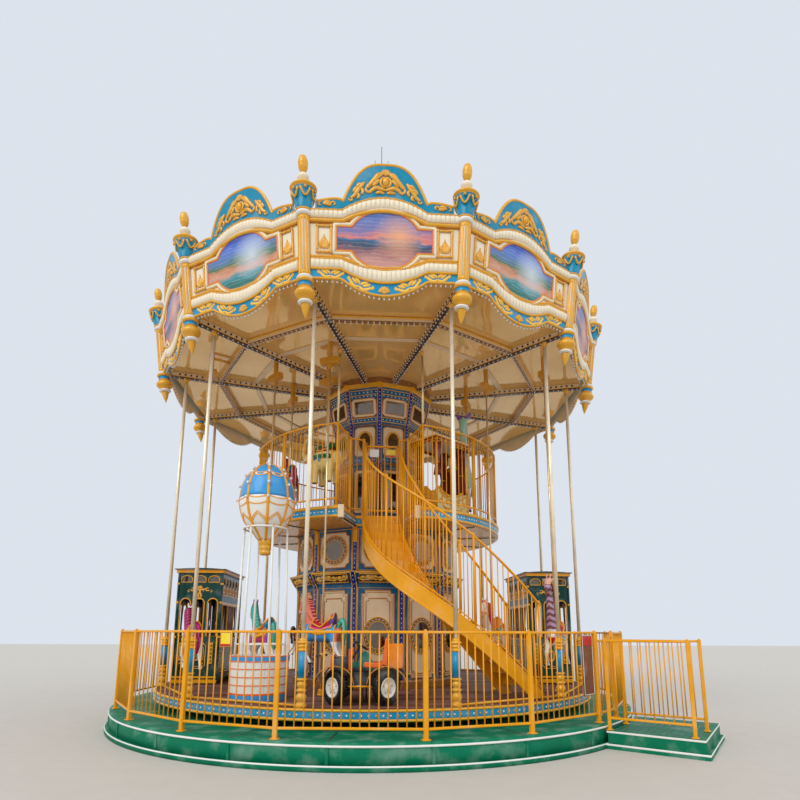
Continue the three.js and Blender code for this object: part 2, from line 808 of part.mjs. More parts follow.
const BOARD_THICKNESS = 60;
function canopyBay(k) {
  const azimuth = k * BAY;
  const board = new THREE.ExtrudeGeometry(boardOutline(), {
    depth: BOARD_THICKNESS,
    bevelEnabled: false,
    curveSegments: 3,
  })
    .rotateX(Math.PI / 2)
    .translate(0, BOARD_THICKNESS / 2, 0);
  const apothem = CANOPY_RADIUS * Math.cos(rad(BAY / 2));
  const lean = Math.atan(CANOPY_LEAN * Math.cos(rad(BAY / 2)));
  const panel = solid(standing(board, apothem, lean, azimuth));
  const nextPost = standing(canopyPost(SEAT + 0.2), CANOPY_RADIUS, LEAN, azimuth + BAY / 2);
  return join(cut(panel, nextPost), standing(canopyPost(), CANOPY_RADIUS, LEAN, azimuth - BAY / 2));
}

// Animals: built along +X with the body's middle at the origin, then turned to face the way the platform travels.
function ridden(pieces, azimuth, radius, z, scale = [1, 1, 1]) {
  const spot = polar(radius, azimuth, z);
  return pieces.flat().map((piece) =>
    piece
      .scale(...scale)
      .rotateZ(rad(180 + azimuth))
      .translate(spot.x, spot.y, spot.z),
  );
}

function poleAt(azimuth, radius, low, high) {
  const spot = polar(radius, azimuth);
  return new THREE.CylinderGeometry(POLE_RADIUS, POLE_RADIUS, high - low, POLE_SIDES)
    .rotateX(Math.PI / 2)
    .translate(spot.x, spot.y, (low + high) / 2);
}

const both = (make) => [make(-1), make(1)];

function horseTrunk() {
  return limb([
    [-450, 0, 55, 80, 70],
    [-350, 0, 40, 165, 150],
    [-20, 0, 0, 160, 170],
    [320, 0, 45, 165, 140],
    [440, 0, 95, 80, 70],
  ]);
}

function horseNeckAndHead() {
  return [
    limb(
      [
        [300, 0, 70, 150, 105],
        [460, 0, 360, 105, 72],
        [560, 0, 590, 95, 66],
        [760, 0, 430, 50, 45],
      ],
      5,
    ),
  ];
}

function leapingLegs() {
  return both((side) => [
    limb(
      [
        [320, side * 100, -20, 80, 60],
        [500 - side * 40, side * 100, -250, 45],
        [330 - side * 70, side * 100, -520, 36],
      ],
      4,
    ),
    limb(
      [
        [-340, side * 95, 10, 110, 75],
        [-430, side * 95, -260, 55],
        [-620 - side * 40, side * 95, -520, 36],
      ],
      4,
    ),
  ]).flat();
}

function horseTail() {
  return limb(
    [
      [-430, 0, 90, 45],
      [-600, 0, 40, 50],
      [-650, 0, -280, 25],
    ],
    3,
  );
}

const HORSE_SCALE = [0.66, 0.85, 0.9];
const GIRAFFE_SCALE = [0.66, 0.85, 0.85];
const ELEPHANT_SCALE = [0.7, 0.8, 0.8];
const DEER_SCALE = [0.6, 0.85, 1.1];
const horsePieces = () => [horseTrunk(), ...horseNeckAndHead(), ...leapingLegs(), horseTail()];

function jumper(azimuth, radius, z) {
  const horse = ridden(horsePieces(), azimuth, radius, z, HORSE_SCALE);
  return join(horse, poleAt(azimuth, radius, POLE_FOOT, POLE_HEAD));
}

// Figures that don't rise have a pole from the floor to the ceiling.
function standingFigure(pieces, azimuth, radius, floor, height, scale) {
  return join(
    ridden(pieces, azimuth, radius, floor + height, scale),
    poleAt(azimuth, radius, floor + SEAT, SWEEP_HIGH),
  );
}

// A giraffe, and drawn out upwards the slender long-necked deer.
function longNeckedPieces() {
  const neck = limb(
    [
      [300, 0, 60, 150, 105],
      [430, 0, 450, 90, 70],
      [480, 0, 1200, 75, 60],
      [700, 0, 1060, 50, 45],
    ],
    5,
  );
  const horns = both((side) => bar(new THREE.Vector3(480, side * 30, 1180), new THREE.Vector3(440, side * 55, 1390), 34, 3));
  return [horseTrunk(), neck, ...horns, ...leapingLegs(), horseTail()];
}

function elephantPieces() {
  const trunk = limb([
    [-400, 0, 20, 120, 110],
    [-280, 0, 20, 260, 240],
    [0, 0, 20, 290, 265],
    [330, 0, 50, 220, 200],
  ]);
  const head = limb([
    [280, 0, 190, 130, 120],
    [430, 0, 200, 195, 170],
    [620, 0, 150, 130, 120],
  ]);
  const nose = limb(
    [
      [580, 0, 150, 85],
      [760, 0, 330, 62],
      [720, 0, 660, 42],
    ],
    5,
  );
  const legs = [-240, 240].flatMap((x) => both((side) => bar(new THREE.Vector3(x, side * 140, 0), new THREE.Vector3(x, side * 150, -560), 190, 5)));
  const ears = both((side) => block(150, 60, 330, 350, side * 165, 20));
  return [trunk, head, nose, ...legs, ...ears];
}

// Old-time car: hood, seat and box on a frame with four wheels.
function car(azimuth, radius) {
  const wheels = [-375, 375].flatMap((x) =>
    both((side) => new THREE.CylinderGeometry(250, 250, 90, 10).translate(x, side * 440, 250)),
  );
  const axles = [-375, 375].map((x) => block(60, 880, 60, x, 0, 220));
  const body = [
    block(1060, 420, 90, 0, 0, 250),
    block(330, 420, 380, 330, 0, 330),
    block(60, 470, 430, 520, 0, 290),
    block(560, 560, 70, -130, 0, 330),
    block(360, 500, 170, -170, 0, 390),
    block(90, 540, 560, -380, 0, 390),
    block(200, 420, 330, -500, 0, 480),
    bar(new THREE.Vector3(190, 0, 600), new THREE.Vector3(40, 0, 850), 36, 4),
    new THREE.CylinderGeometry(140, 140, 30, 8).rotateZ(rad(-60)).translate(40, 0, 850),
  ];
  const fenders = both((side) => [
    block(420, 130, 30, 375, side * 430, 515),
    block(420, 130, 30, -375, side * 430, 515),
    block(360, 130, 200, 0, side * 400, 345),
  ]).flat();
  return join(ridden([...wheels, ...axles, ...body, ...fenders], azimuth, radius, DECK_TOP + SEAT));
}

// Tram carriage: a box with window openings, a doorway on the rim side, two benches and a raised roof.
function tram(azimuth, radius) {
  const shell = block(1500, 880, 2020, 0, 0, 100);
  const inside = block(1420, 800, 1880, 0, 0, 180);
  const endWindows = block(1700, 500, 700, 0, 0, 900);
  const sideWindows = [-430, 430].map((x) => block(420, 1000, 700, x, 0, 900));
  const doorway = block(360, 500, 1420, 0, 400, 180);
  const hall = cut(solid(shell), inside, endWindows, sideWindows, doorway);
  const extras = [
    block(1580, 960, 60, 0, 0, 2100),
    block(1240, 560, 150, 0, 0, 2150),
    block(1300, 620, 100, 0, 0, 0),
    block(330, 810, 330, -550, 0, 170),
    block(330, 810, 330, 550, 0, 170),
  ];
  const place = (piece) => ridden([piece], azimuth, radius, DECK_TOP + SEAT)[0];
  return join(place(geometryOf(hall)), extras.map(place));
}

// Balloon gondola: an open basket under a balloon that six posts carry.
function balloon(azimuth, radius) {
  const basket = turned(
    [
      [0, 0],
      [430, 0],
      [465, 670],
      [425, 670],
      [395, 90],
      [0, 90],
    ],
    BAYS,
  );
  const bag = turned(
    [
      [0, 2270],
      [85, 2285],
      [107, 2510],
      [345, 2810],
      [432, 3060],
      [440, 3200],
      [395, 3470],
      [270, 3680],
      [120, 3790],
      [0, 3820],
    ],
    BAYS,
  );
  const posts = [0, 60, 120, 180, 240, 300].map((turn) => bar(polar(410, turn, 60), polar(330, turn, 2830), 40, 4));
  return join(ridden([basket, bag, ...posts], azimuth, radius, DECK_TOP + SEAT));
}

// Throne carriage on the upper deck, under a small canopy.
function throne(azimuth, radius) {
  const pieces = [
    block(960, 620, 80, 0, 0, 0),
    block(60, 620, 1250, -450, 0, 40),
    block(380, 540, 380, -260, 0, 40),
    block(60, 620, 560, 450, 0, 40),
    ...both((side) => block(900, 50, 520, 0, side * 285, 40)),
    ...both((side) => bar(new THREE.Vector3(440, side * 285, 400), new THREE.Vector3(440, side * 285, 1500), 44, 4)),
    ...both((side) => bar(new THREE.Vector3(-440, side * 285, 400), new THREE.Vector3(-440, side * 285, 1500), 44, 4)),
    block(1000, 680, 90, 0, 0, 1480),
  ];
  return join(ridden(pieces, azimuth, radius, LANDING_TOP + SEAT));
}

carousel.name = "carousel";

add("base_plinth", basePlinth(), COLOR.green, 0.6);
add("entrance_step", entranceStep(), COLOR.green, 0.6);
add("centre_pedestal", centrePedestal(), COLOR.steel, 0.5, 0.6);
for (let k = 0; k + 1 < FENCE_RUNS.length; k++) {
  add("fence_run_" + number(k), fenceRun(FENCE_RUNS[k], FENCE_RUNS[k + 1]), COLOR.yellow, 0.4);
}
add("lane_barrier_near", laneBarrier(GATE_START), COLOR.yellow, 0.4);
add("lane_barrier_far", laneBarrier(GATE_END), COLOR.yellow, 0.4);
add("entrance_gate", entranceGate(), COLOR.yellow, 0.4);

add("platform_deck", platformDeck(), COLOR.deck, 0.6);
for (let k = 0; k < 4; k++) {
  add("rim_quarter_" + number(k), rimQuarter(k), COLOR.turquoise, 0.3, 0.2);
}
add("lower_core", lowerCore(), COLOR.teal, 0.4);
add("mirror_drum", mirrorDrum(), COLOR.gold, 0.4, 0.3);
add("upper_deck", upperDeck(), COLOR.blue, 0.5);
add("upper_railing_right", upperRailing(1), COLOR.brass, 0.3, 0.8);
add("upper_railing_left", upperRailing(-1), COLOR.brass, 0.3, 0.8);
add("upper_core", upperCore(), COLOR.teal, 0.4);
add("core_head", coreHead(), COLOR.gold, 0.4, 0.3);
add("stair_flight", stairFlight(), COLOR.yellow, 0.4);
add("stair_side_inner", stairSide(1), COLOR.yellow, 0.4);
add("stair_side_outer", stairSide(-1), COLOR.yellow, 0.4);
add("landing_gate", landingGate(), COLOR.yellow, 0.4);
add("ceiling_frame", ceilingFrame(), COLOR.gold, 0.4, 0.2);
add("ceiling", ceiling(), COLOR.ceiling, 0.2);
add("roof", roof(), COLOR.blue, 0.5);
for (let k = 0; k < BAYS; k++) {
  add("canopy_bay_" + number(k), canopyBay(k), COLOR.cream, 0.4);
}

add("old_time_car", car(-4, 3500), COLOR.orange, 0.3);
add("balloon_gondola", balloon(-31.2, 3640), COLOR.white, 0.3);
add("tram_carriage_right", tram(91, 3620), COLOR.dark, 0.3);
add("tram_carriage_left", tram(-91, 3620), COLOR.dark, 0.3);
add("giraffe", standingFigure(longNeckedPieces(), 55, 3930, DECK_TOP, 900, GIRAFFE_SCALE), COLOR.cream, 0.3);
JUMPERS.forEach((place, k) => add("horse_" + number(k), jumper(...place), COLOR.white, 0.3));
add("elephant", standingFigure(elephantPieces(), -31, 2050, LANDING_TOP, 1040, ELEPHANT_SCALE), COLOR.cream, 0.3);
add("upper_horse", standingFigure(horsePieces(), -68, 2050, LANDING_TOP, 860, HORSE_SCALE), COLOR.white, 0.3);
add("throne_carriage", throne(40, 1950), COLOR.red, 0.4);
add("deer", standingFigure(longNeckedPieces(), 66, 2100, LANDING_TOP, 850, DEER_SCALE), COLOR.green, 0.3);

export default carousel;
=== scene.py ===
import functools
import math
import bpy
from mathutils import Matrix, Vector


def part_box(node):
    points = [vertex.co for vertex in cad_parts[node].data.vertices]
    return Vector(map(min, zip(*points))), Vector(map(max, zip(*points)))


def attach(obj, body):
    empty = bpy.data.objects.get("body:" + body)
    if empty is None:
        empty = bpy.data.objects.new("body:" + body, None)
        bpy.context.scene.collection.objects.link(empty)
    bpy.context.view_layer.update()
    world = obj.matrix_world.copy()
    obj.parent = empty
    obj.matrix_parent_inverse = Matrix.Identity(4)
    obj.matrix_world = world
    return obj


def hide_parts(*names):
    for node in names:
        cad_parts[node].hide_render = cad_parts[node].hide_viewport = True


bl_info = {
    "name": "Double-Deck Fairground Carousel",
    "version": (1, 0, 0),
    "blender": (4, 5, 0),
    "location": "View3D > Sidebar > Carousel",
    "description": "Dresses the frame of a twelve-bay carousel: boards, posts, decks, core, fence and rides",
    "category": "Add Mesh",
}

import bpy
import numpy as np
from mathutils import Matrix

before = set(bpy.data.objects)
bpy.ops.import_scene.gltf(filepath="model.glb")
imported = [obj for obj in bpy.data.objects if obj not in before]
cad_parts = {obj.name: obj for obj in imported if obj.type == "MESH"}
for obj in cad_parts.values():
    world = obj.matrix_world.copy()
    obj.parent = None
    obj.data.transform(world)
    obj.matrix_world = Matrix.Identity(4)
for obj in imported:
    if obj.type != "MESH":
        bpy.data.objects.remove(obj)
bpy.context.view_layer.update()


def low_of(name):
    """Height of the lowest point of a node of the frame."""
    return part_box(name)[0].z


def top_of(name):
    """Height of the highest point of a node of the frame."""
    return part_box(name)[1].z


# Levels and radii that the frame gives. Azimuths are in degrees, from the front (-Y) towards +X.
BAYS = 12
BAY = 360 / BAYS
HALF_BAY = math.radians(BAY / 2)
BASE_TOP = top_of("base_plinth")
BASE_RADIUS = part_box("base_plinth")[1].x - 0.05
DECK_TOP = low_of("lower_core")
DECK_LOW = 0.46
DECK_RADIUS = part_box("platform_deck")[1].x
LANDING_LOW = low_of("upper_deck")
LANDING_TOP = top_of("upper_deck")
CORNICE_LOW = low_of("mirror_drum")
CORE_HEAD_LOW = low_of("core_head")
SWEEP_LOW = top_of("core_head")
ROD_TOP = top_of("roof")
FENCE_HIGH = top_of("fence_run_01") - 0.04
LEAN_RATE = 0.138
TIP_RADIUS = 4.6
TIP_Z = 6.34


def shade(red, green, blue):
    """Linear colour of a display colour whose channels run from 0 to 255."""
    scaled = [c / 255 for c in (red, green, blue)]
    return tuple(c / 12.92 if c <= 0.04045 else ((c + 0.055) / 1.055) ** 2.4 for c in scaled)


def colour(name, *channels):
    """Property of a colour, from channels of 0 to 255."""
    text = f"Colour of the {name.lower()}"
    shown = shade(*channels)
    return bpy.props.FloatVectorProperty(
        name=name, description=text, subtype="COLOR", min=0, max=1, default=shown,
    )


def length(name, description, default):
    """Property of a length."""
    return bpy.props.FloatProperty(name=name, description=description, default=default, min=0, unit="LENGTH")


class CarouselColours(bpy.types.PropertyGroup):
    gold: colour("Gold paint", 236, 172, 48)
    deep_gold: colour("Deep gold paint", 200, 128, 30)
    cream: colour("Cream paint", 246, 232, 204)
    pearl: colour("Pearl white paint", 240, 238, 232)
    crest_blue: colour("Crest blue paint", 0, 142, 178)
    band_blue: colour("Band blue paint", 14, 150, 196)
    newel_blue: colour("Newel turquoise paint", 0, 150, 205)
    core_teal: colour("Core teal paint", 16, 98, 140)
    core_cream: colour("Core cream paint", 236, 208, 168)
    strip_blue: colour("Corner strip blue paint", 10, 44, 140)
    bronze: colour("Bronze paint", 150, 96, 38)
    ceiling: colour("Ceiling gloss", 255, 206, 118)
    brass: colour("Brass", 240, 214, 168)
    fence: colour("Fence yellow paint", 240, 164, 8)
    green: colour("Base green paint", 0, 120, 86)
    deck: colour("Deck floor", 118, 60, 44)
    steel: colour("Steel", 120, 122, 124)
    roof: colour("Roof cover", 24, 120, 160)
    carriage: colour("Carriage green paint", 0, 62, 54)
    orange: colour("Orange paint", 240, 106, 26)
    black: colour("Black enamel", 22, 24, 28)
    balloon: colour("Balloon blue paint", 62, 156, 222)
    rose: colour("Rose paint", 206, 60, 130)
    violet: colour("Violet paint", 122, 74, 168)
    red: colour("Red velvet", 120, 12, 26)
    red_paint: colour("Red paint", 196, 30, 34)
    brown: colour("Brown paint", 120, 70, 40)
    mint: colour("Mint paint", 86, 190, 160)
    turquoise: colour("Turquoise paint", 20, 160, 150)
    blush: colour("Blush paint", 226, 172, 150)
    lilac: colour("Lilac paint", 178, 150, 186)
    wine: colour("Wine red paint", 128, 14, 50)
    tan: colour("Tan paint", 238, 214, 168)
    umber: colour("Dark stained wood", 74, 46, 32)
    coral: colour("Coral paint", 236, 120, 92)
    amber: colour("Amber paint", 236, 132, 6)
    lemon: colour("Lemon paint", 244, 214, 40)
    # paler copy of the brass for the poles on the rim posts: painted light, as these stand in brighter light
    # than the poles under the canopy
    pale_brass: colour("Pale brass", 252, 236, 206)
    butter: colour("Butter paint", 238, 216, 142)
    # gold made lighter than the gold paint: painted light on carving that faces down and catches less light
    bright_gold: colour("Bright gold paint", 255, 202, 84)
    ochre: colour("Ochre paint", 206, 140, 34)
    sage: colour("Sage paint", 150, 192, 166)
    rosewood: colour("Rosewood paint", 120, 62, 62)
    leaf_green: colour("Leaf green paint", 0, 100, 84)


class CarouselSizes(bpy.types.PropertyGroup):
    bar_pitch: length("Bar pitch", "Distance between the uprights of fences and railings", 0.12)
    bar: length("Bar", "Thickness of an upright", 0.019)
    bulb: length("Bulb", "Radius of a bulb", 0.017)
    bulb_pitch: length("Bulb pitch", "Distance between the bulbs along an edge", 0.09)
    flute_pitch: length("Flute pitch", "Width of one flute of the bands on the boards", 0.072)
    pole: length("Pole", "Radius of an animal's pole", 0.0178)


# Finishes: each is a procedural material, made when a piece first asks for it.
def new_material(name):
    """New material, with its node tree and its shader."""
    material = bpy.data.materials.new(name)
    material.use_nodes = True
    tree = material.node_tree
    shader = tree.nodes["Principled BSDF"]
    return material, tree, shader


def node(tree, kind, **values):
    """Adds a node: values whose name is a socket's set that socket, and the others set the node itself."""
    made = tree.nodes.new("ShaderNode" + kind)
    for key, value in values.items():
        socket = key.replace("_", " ").title()
        if socket in made.inputs:
            made.inputs[socket].default_value = value
        else:
            setattr(made, key, value)
    return made


def noise(tree, where, scale, detail=3.0, rough=0.55):
    """Output of a noise texture."""
    made = node(tree, "TexNoise", scale=scale, detail=detail, roughness=rough)
    tree.links.new(where, made.inputs["Vector"])
    return made.outputs["Fac"]


def ramp(tree, factor, *stops):
    """Colour ramp through stops (position, colour)."""
    made = tree.nodes.new("ShaderNodeValToRGB")
    elements = made.color_ramp.elements
    while len(elements) < len(stops):
        elements.new(0.5)
    for element, (position, shown) in zip(elements, stops):
        element.position = position
        element.color = (*shown, 1)
    tree.links.new(factor, made.inputs["Fac"])
    return made.outputs["Color"]


def span(tree, value, low, high, start=0.3, end=0.7):
    """Value carried from the range start to end over to the range low to high."""
    made = node(tree, "MapRange", from_min=start, from_max=end, to_min=low, to_max=high)
    tree.links.new(value, made.inputs["Value"])
    return made.outputs["Result"]


def bumped(tree, shader, height, strength, distance):
    """Gives the shader a relief."""
    made = node(tree, "Bump", strength=strength, distance=distance)
    tree.links.new(height, made.inputs["Height"])
    tree.links.new(made.outputs["Normal"], shader.inputs["Normal"])


def tone(shown, share):
    """Colour made darker (share under 1) or lighter (share over 1)."""
    if share <= 1:
        return tuple(c * share for c in shown)
    return tuple(1 - (1 - c) / share for c in shown)


def object_place(tree):
    """Output of the object's own coordinates."""
    return node(tree, "TexCoord").outputs["Object"]


def painted(name, shown, rough=0.3, metal=0.0, coat=0.1, mottle=0.12, scale=3.0, shine=0.3):
    """Brushed or sprayed paint: soft mottling, dust in broad patches and a slight ripple under the gloss."""
    material, tree, shader = new_material(name)
    where = object_place(tree)
    broad = noise(tree, where, scale, 4)
    fine = noise(tree, where, scale * 14, 2)
    shader.inputs["Metallic"].default_value = metal
    shader.inputs["Coat Weight"].default_value = coat
    shader.inputs["Coat Roughness"].default_value = 0.12
    shader.inputs["Specular IOR Level"].default_value = shine
    colours = ramp(
        tree, broad, (0.28, tone(shown, 1 - mottle)), (0.5, shown), (0.74, tone(shown, 1 + mottle)),
    )
    tree.links.new(colours, shader.inputs["Base Color"])
    tree.links.new(span(tree, fine, rough - 0.07, rough + 0.1), shader.inputs["Roughness"])
    bumped(tree, shader, fine, 0.1, 0.002)
    return material


def carved(name, shown):
    """Gilded carving: a fine chisel-mark relief, a painted highlight on its ridges and painted shade in its
    small hollows.
    """
    material, tree, shader = new_material(name)
    where = object_place(tree)
    chisel_marks_and_painted_shade = noise(tree, where, 26.0, 5, 0.6)
    broad = noise(tree, where, 2.2, 2)
    shader.inputs["Metallic"].default_value = 0.2
    shader.inputs["Coat Weight"].default_value = 0.1
    shader.inputs["Coat Roughness"].default_value = 0.2
    # painted light: the colour follows the relief noise, darker (painted shade) where it is low and lighter
    # (painted highlight) where it is high
    colours = ramp(tree, chisel_marks_and_painted_shade, (0.3, tone(shown, 0.66)), (0.46, tone(shown, 0.98)), (0.7, tone(shown, 1.12)))
    tree.links.new(colours, shader.inputs["Base Color"])
    tree.links.new(span(tree, broad, 0.26, 0.44), shader.inputs["Roughness"])
    bumped(tree, shader, chisel_marks_and_painted_shade, 0.35, 0.004)
    return material


def polished(name, shown, rough, metal):
    """Turned or drawn metal with fine lengthwise drag marks and faint tarnish."""
    material, tree, shader = new_material(name)
    where = object_place(tree)
    squeeze = node(tree, "Mapping", scale=(40.0, 40.0, 2.4))
    tree.links.new(where, squeeze.inputs["Vector"])
    drawn = noise(tree, squeeze.outputs["Vector"], 3.0, 3)
    tarnish = noise(tree, where, 1.7, 4)
    shader.inputs["Metallic"].default_value = metal
    colours = ramp(tree, tarnish, (0.3, tone(shown, 0.8)), (0.55, shown), (0.8, tone(shown, 1.1)))
    tree.links.new(colours, shader.inputs["Base Color"])
    tree.links.new(span(tree, drawn, rough - 0.06, rough + 0.12), shader.inputs["Roughness"])
    bumped(tree, shader, drawn, 0.12, 0.002)
    return material


def mirror(name, shown):
    """Mirror glass with faint waviness and a dusty bloom."""
    material, tree, shader = new_material(name)
    where = object_place(tree)
    wave = noise(tree, where, 1.6, 2)
    dust = noise(tree, where, 9.0, 4)
    shader.inputs["Metallic"].default_value = 1.0
    tree.links.new(ramp(tree, dust, (0.35, shown), (0.8, tone(shown, 0.8))), shader.inputs["Base Color"])
    tree.links.new(span(tree, dust, 0.02, 0.14), shader.inputs["Roughness"])
    bumped(tree, shader, wave, 0.2, 0.01)
    return material


def bulb_glass(name, shown):
    """Pearl glass of a bulb: pale, glossy and slightly glowing through."""
    material, tree, shader = new_material(name)
    cloud = noise(tree, object_place(tree), 30.0, 2)
    tree.links.new(ramp(tree, cloud, (0.3, tone(shown, 0.86)), (0.7, shown)), shader.inputs["Base Color"])
    shader.inputs["Roughness"].default_value = 0.16
    shader.inputs["Coat Weight"].default_value = 0.6
    shader.inputs["Subsurface Weight"].default_value = 0.2
    shader.inputs["Subsurface Radius"].default_value = (0.01, 0.008, 0.006)
    return material


def glossy_ceiling(name, shown):
    """Stretched glossy sheet: long soft waves that pull its reflections out of true."""
    material, tree, shader = new_material(name)
    where = object_place(tree)
    waves = noise(tree, where, 1.1, 2, 0.4)
    stains = noise(tree, where, 0.7, 5)
    tree.links.new(
        ramp(tree, stains, (0.3, tone(shown, 0.82)), (0.65, tone(shown, 1.08))), shader.inputs["Base Color"]
    )
    shader.inputs["Metallic"].default_value = 0.25
    shader.inputs["Roughness"].default_value = 0.06
    shader.inputs["Coat Weight"].default_value = 0.6
    shader.inputs["Coat Roughness"].default_value = 0.05
    bumped(tree, shader, waves, 0.5, 0.05)
    return material


def tread_floor(name, shown):
    """Deck boards: rows of narrow boards with dark joints and scuffs."""
    material, tree, shader = new_material(name)
    where = object_place(tree)
    boards = node(tree, "TexBrick", scale=1.0, mortar_size=0.004, brick_width=1.2, row_height=0.14)
    boards.inputs["Color1"].default_value = (*tone(shown, 1.12), 1)
    boards.inputs["Color2"].default_value = (*tone(shown, 0.82), 1)
    boards.inputs["Mortar"].default_value = (*tone(shown, 0.25), 1)
    tree.links.new(where, boards.inputs["Vector"])
    scuffs = noise(tree, where, 5.0, 6, 0.65)
    mixed = node(tree, "Mix", data_type="RGBA", blend_type="MULTIPLY")
    mixed.inputs["Factor"].default_value = 0.7
    tree.links.new(boards.outputs["Color"], mixed.inputs["A"])
    tree.links.new(ramp(tree, scuffs, (0.3, (0.6, 0.6, 0.6)), (0.7, (1, 1, 1))), mixed.inputs["B"])
    tree.links.new(mixed.outputs["Result"], shader.inputs["Base Color"])
    tree.links.new(span(tree, scuffs, 0.55, 0.85), shader.inputs["Roughness"])
    shader.inputs["Specular IOR Level"].default_value = 0.25
    bumped(tree, shader, boards.outputs["Fac"], 0.4, 0.004)
    return material


def sum_of(tree, operation, a, b=0.0):
    """Output of a node that works out an operation on numbers or outputs."""
    made = node(tree, "Math", operation=operation)
    for socket, value in zip(made.inputs, (a, b)):
        if isinstance(value, float):
            socket.default_value = value
        else:
            tree.links.new(value, socket)
    return made.outputs["Value"]


EVENING = (
    (
        0.12, shade(206, 150, 140),
    ), (0.3, shade(150, 104, 112)), (0.4, shade(70, 84, 106)), (0.49, shade(66, 110, 156)),
    (0.54, shade(226, 132, 122)), (0.66, shade(126, 124, 178)), (
        0.84, shade(104, 128, 190),
    ), (0.97, shade(34, 86, 168)),
)
DAY = (
    (0.1, shade(58, 120, 112)), (0.24, shade(70, 150, 160)), (0.34, shade(222, 160, 130)), (
        0.44, shade(200, 138, 104),
    ),
    (0.52, shade(84, 122, 78)), (0.6, shade(96, 128, 160)), (
        0.74, shade(96, 130, 214),
    ), (0.95, shade(26, 60, 176)),
)


def picture(name, warm, *stops):
    """Ornamental field of a board: level bands of colour that run into each other, a soft glow right of the
    middle and pale wavy lines, on the board's own plane."""
    material, tree, shader = new_material(name)
    plane = node(tree, "Attribute", attribute_name="plane").outputs["Vector"]
    stretched = node(tree, "Mapping", scale=(1.6, 5.0, 1.0))
    tree.links.new(plane, stretched.inputs["Vector"])
    drift = noise(tree, stretched.outputs["Vector"], 1.4, 6, 0.6)
    parts = node(tree, "SeparateXYZ")
    tree.links.new(plane, parts.inputs["Vector"])
    maths = functools.partial(sum_of, tree)
    height = maths("ADD", maths("MULTIPLY", parts.outputs["Y"], 1.05), maths("MULTIPLY", drift, 0.42))
    level = maths("ADD", height, 0.29)
    bands = ramp(tree, level, *stops)
    across = maths("SUBTRACT", parts.outputs["X"], 0.22)
    up = maths("SUBTRACT", parts.outputs["Y"], 0.06)
    away = maths("SQRT", maths("ADD", maths("MULTIPLY", across, across), maths("MULTIPLY", up, up)))
    glow = node(tree, "Mix", data_type="RGBA", blend_type="MIX")
    tree.links.new(span(tree, away, 0.85, 0.0, 0.02, 0.42), glow.inputs["Factor"])
    tree.links.new(bands, glow.inputs["A"])
    glow.inputs["B"].default_value = (*warm, 1)
    waves = maths(
        "SINE", maths("MULTIPLY", maths("ADD", parts.outputs["Y"], maths("MULTIPLY", drift, 0.16)), 110.0),
    )
    lined = node(tree, "Mix", data_type="RGBA", blend_type="SCREEN")
    tree.links.new(span(tree, waves, 0.0, 0.16, 0.7, 0.98), lined.inputs["Factor"])
    tree.links.new(glow.outputs["Result"], lined.inputs["A"])
    lined.inputs["B"].default_value = (0.75, 0.72, 0.66, 1)
    tree.links.new(lined.outputs["Result"], shader.inputs["Base Color"])
    shader.inputs["Roughness"].default_value = 0.35
    shader.inputs["Specular IOR Level"].default_value = 0.3
    bumped(tree, shader, drift, 0.1, 0.002)
    return material


PAINTS = {  # finish: colour, roughness and mottling
    "cream": ("cream", 0.34, 0.06),
    "pearl": ("pearl", 0.3, 0.05),
    "crest_blue": ("crest_blue", 0.26, 0.16),
    "band_blue": ("band_blue", 0.28, 0.12),
    "newel_blue": ("newel_blue", 0.22, 0.1),
    "core_teal": ("core_teal", 0.3, 0.16),
    "core_cream": ("core_cream", 0.36, 0.08),
    "strip_blue": ("strip_blue", 0.25, 0.15),
    "fence_yellow": ("fence", 0.32, 0.1),
    "base_green": ("green", 0.62, 0.18),
    "carriage_green": ("carriage", 0.2, 0.2),
    "orange": ("orange", 0.24, 0.08),
    "black": ("black", 0.25, 0.2),
    "balloon_blue": ("balloon", 0.22, 0.08),
    "rose": ("rose", 0.3, 0.15),
    "violet": ("violet", 0.3, 0.15),
    "red_paint": ("red_paint", 0.28, 0.1),
    "brown": ("brown", 0.35, 0.2),
    "mint": ("mint", 0.3, 0.12),
    "turquoise": ("turquoise", 0.3, 0.12),
    "blush": ("blush", 0.32, 0.12),
    "lilac": ("lilac", 0.32, 0.12),
    "wine": ("wine", 0.3, 0.15),
    "tan": ("tan", 0.34, 0.15),
    "umber": ("umber", 0.4, 0.3),
    "amber": ("amber", 0.3, 0.1),
    "lemon": ("lemon", 0.3, 0.1),
    "butter": ("butter", 0.4, 0.1),
    "bright_gold": ("bright_gold", 0.35, 0.1),
    "ochre": ("ochre", 0.35, 0.1),
    "sage": ("sage", 0.4, 0.1),
    "rosewood": ("rosewood", 0.4, 0.1),
    "leaf_green": ("leaf_green", 0.3, 0.15),
    "coral": ("coral", 0.3, 0.08),
    "velvet": ("red", 0.5, 0.2),
    "drape": ("brown", 0.45, 0.22),
    "roof_cover": ("roof", 0.45, 0.07),
}
METALS = {"brass": (0.16, 0.6), "pale_brass": (0.2, 0.25), "steel": (0.35, 0.9)}  # roughness and metallic
GILT = ("gold", "deep_gold", "bronze")
DULL = 0.55


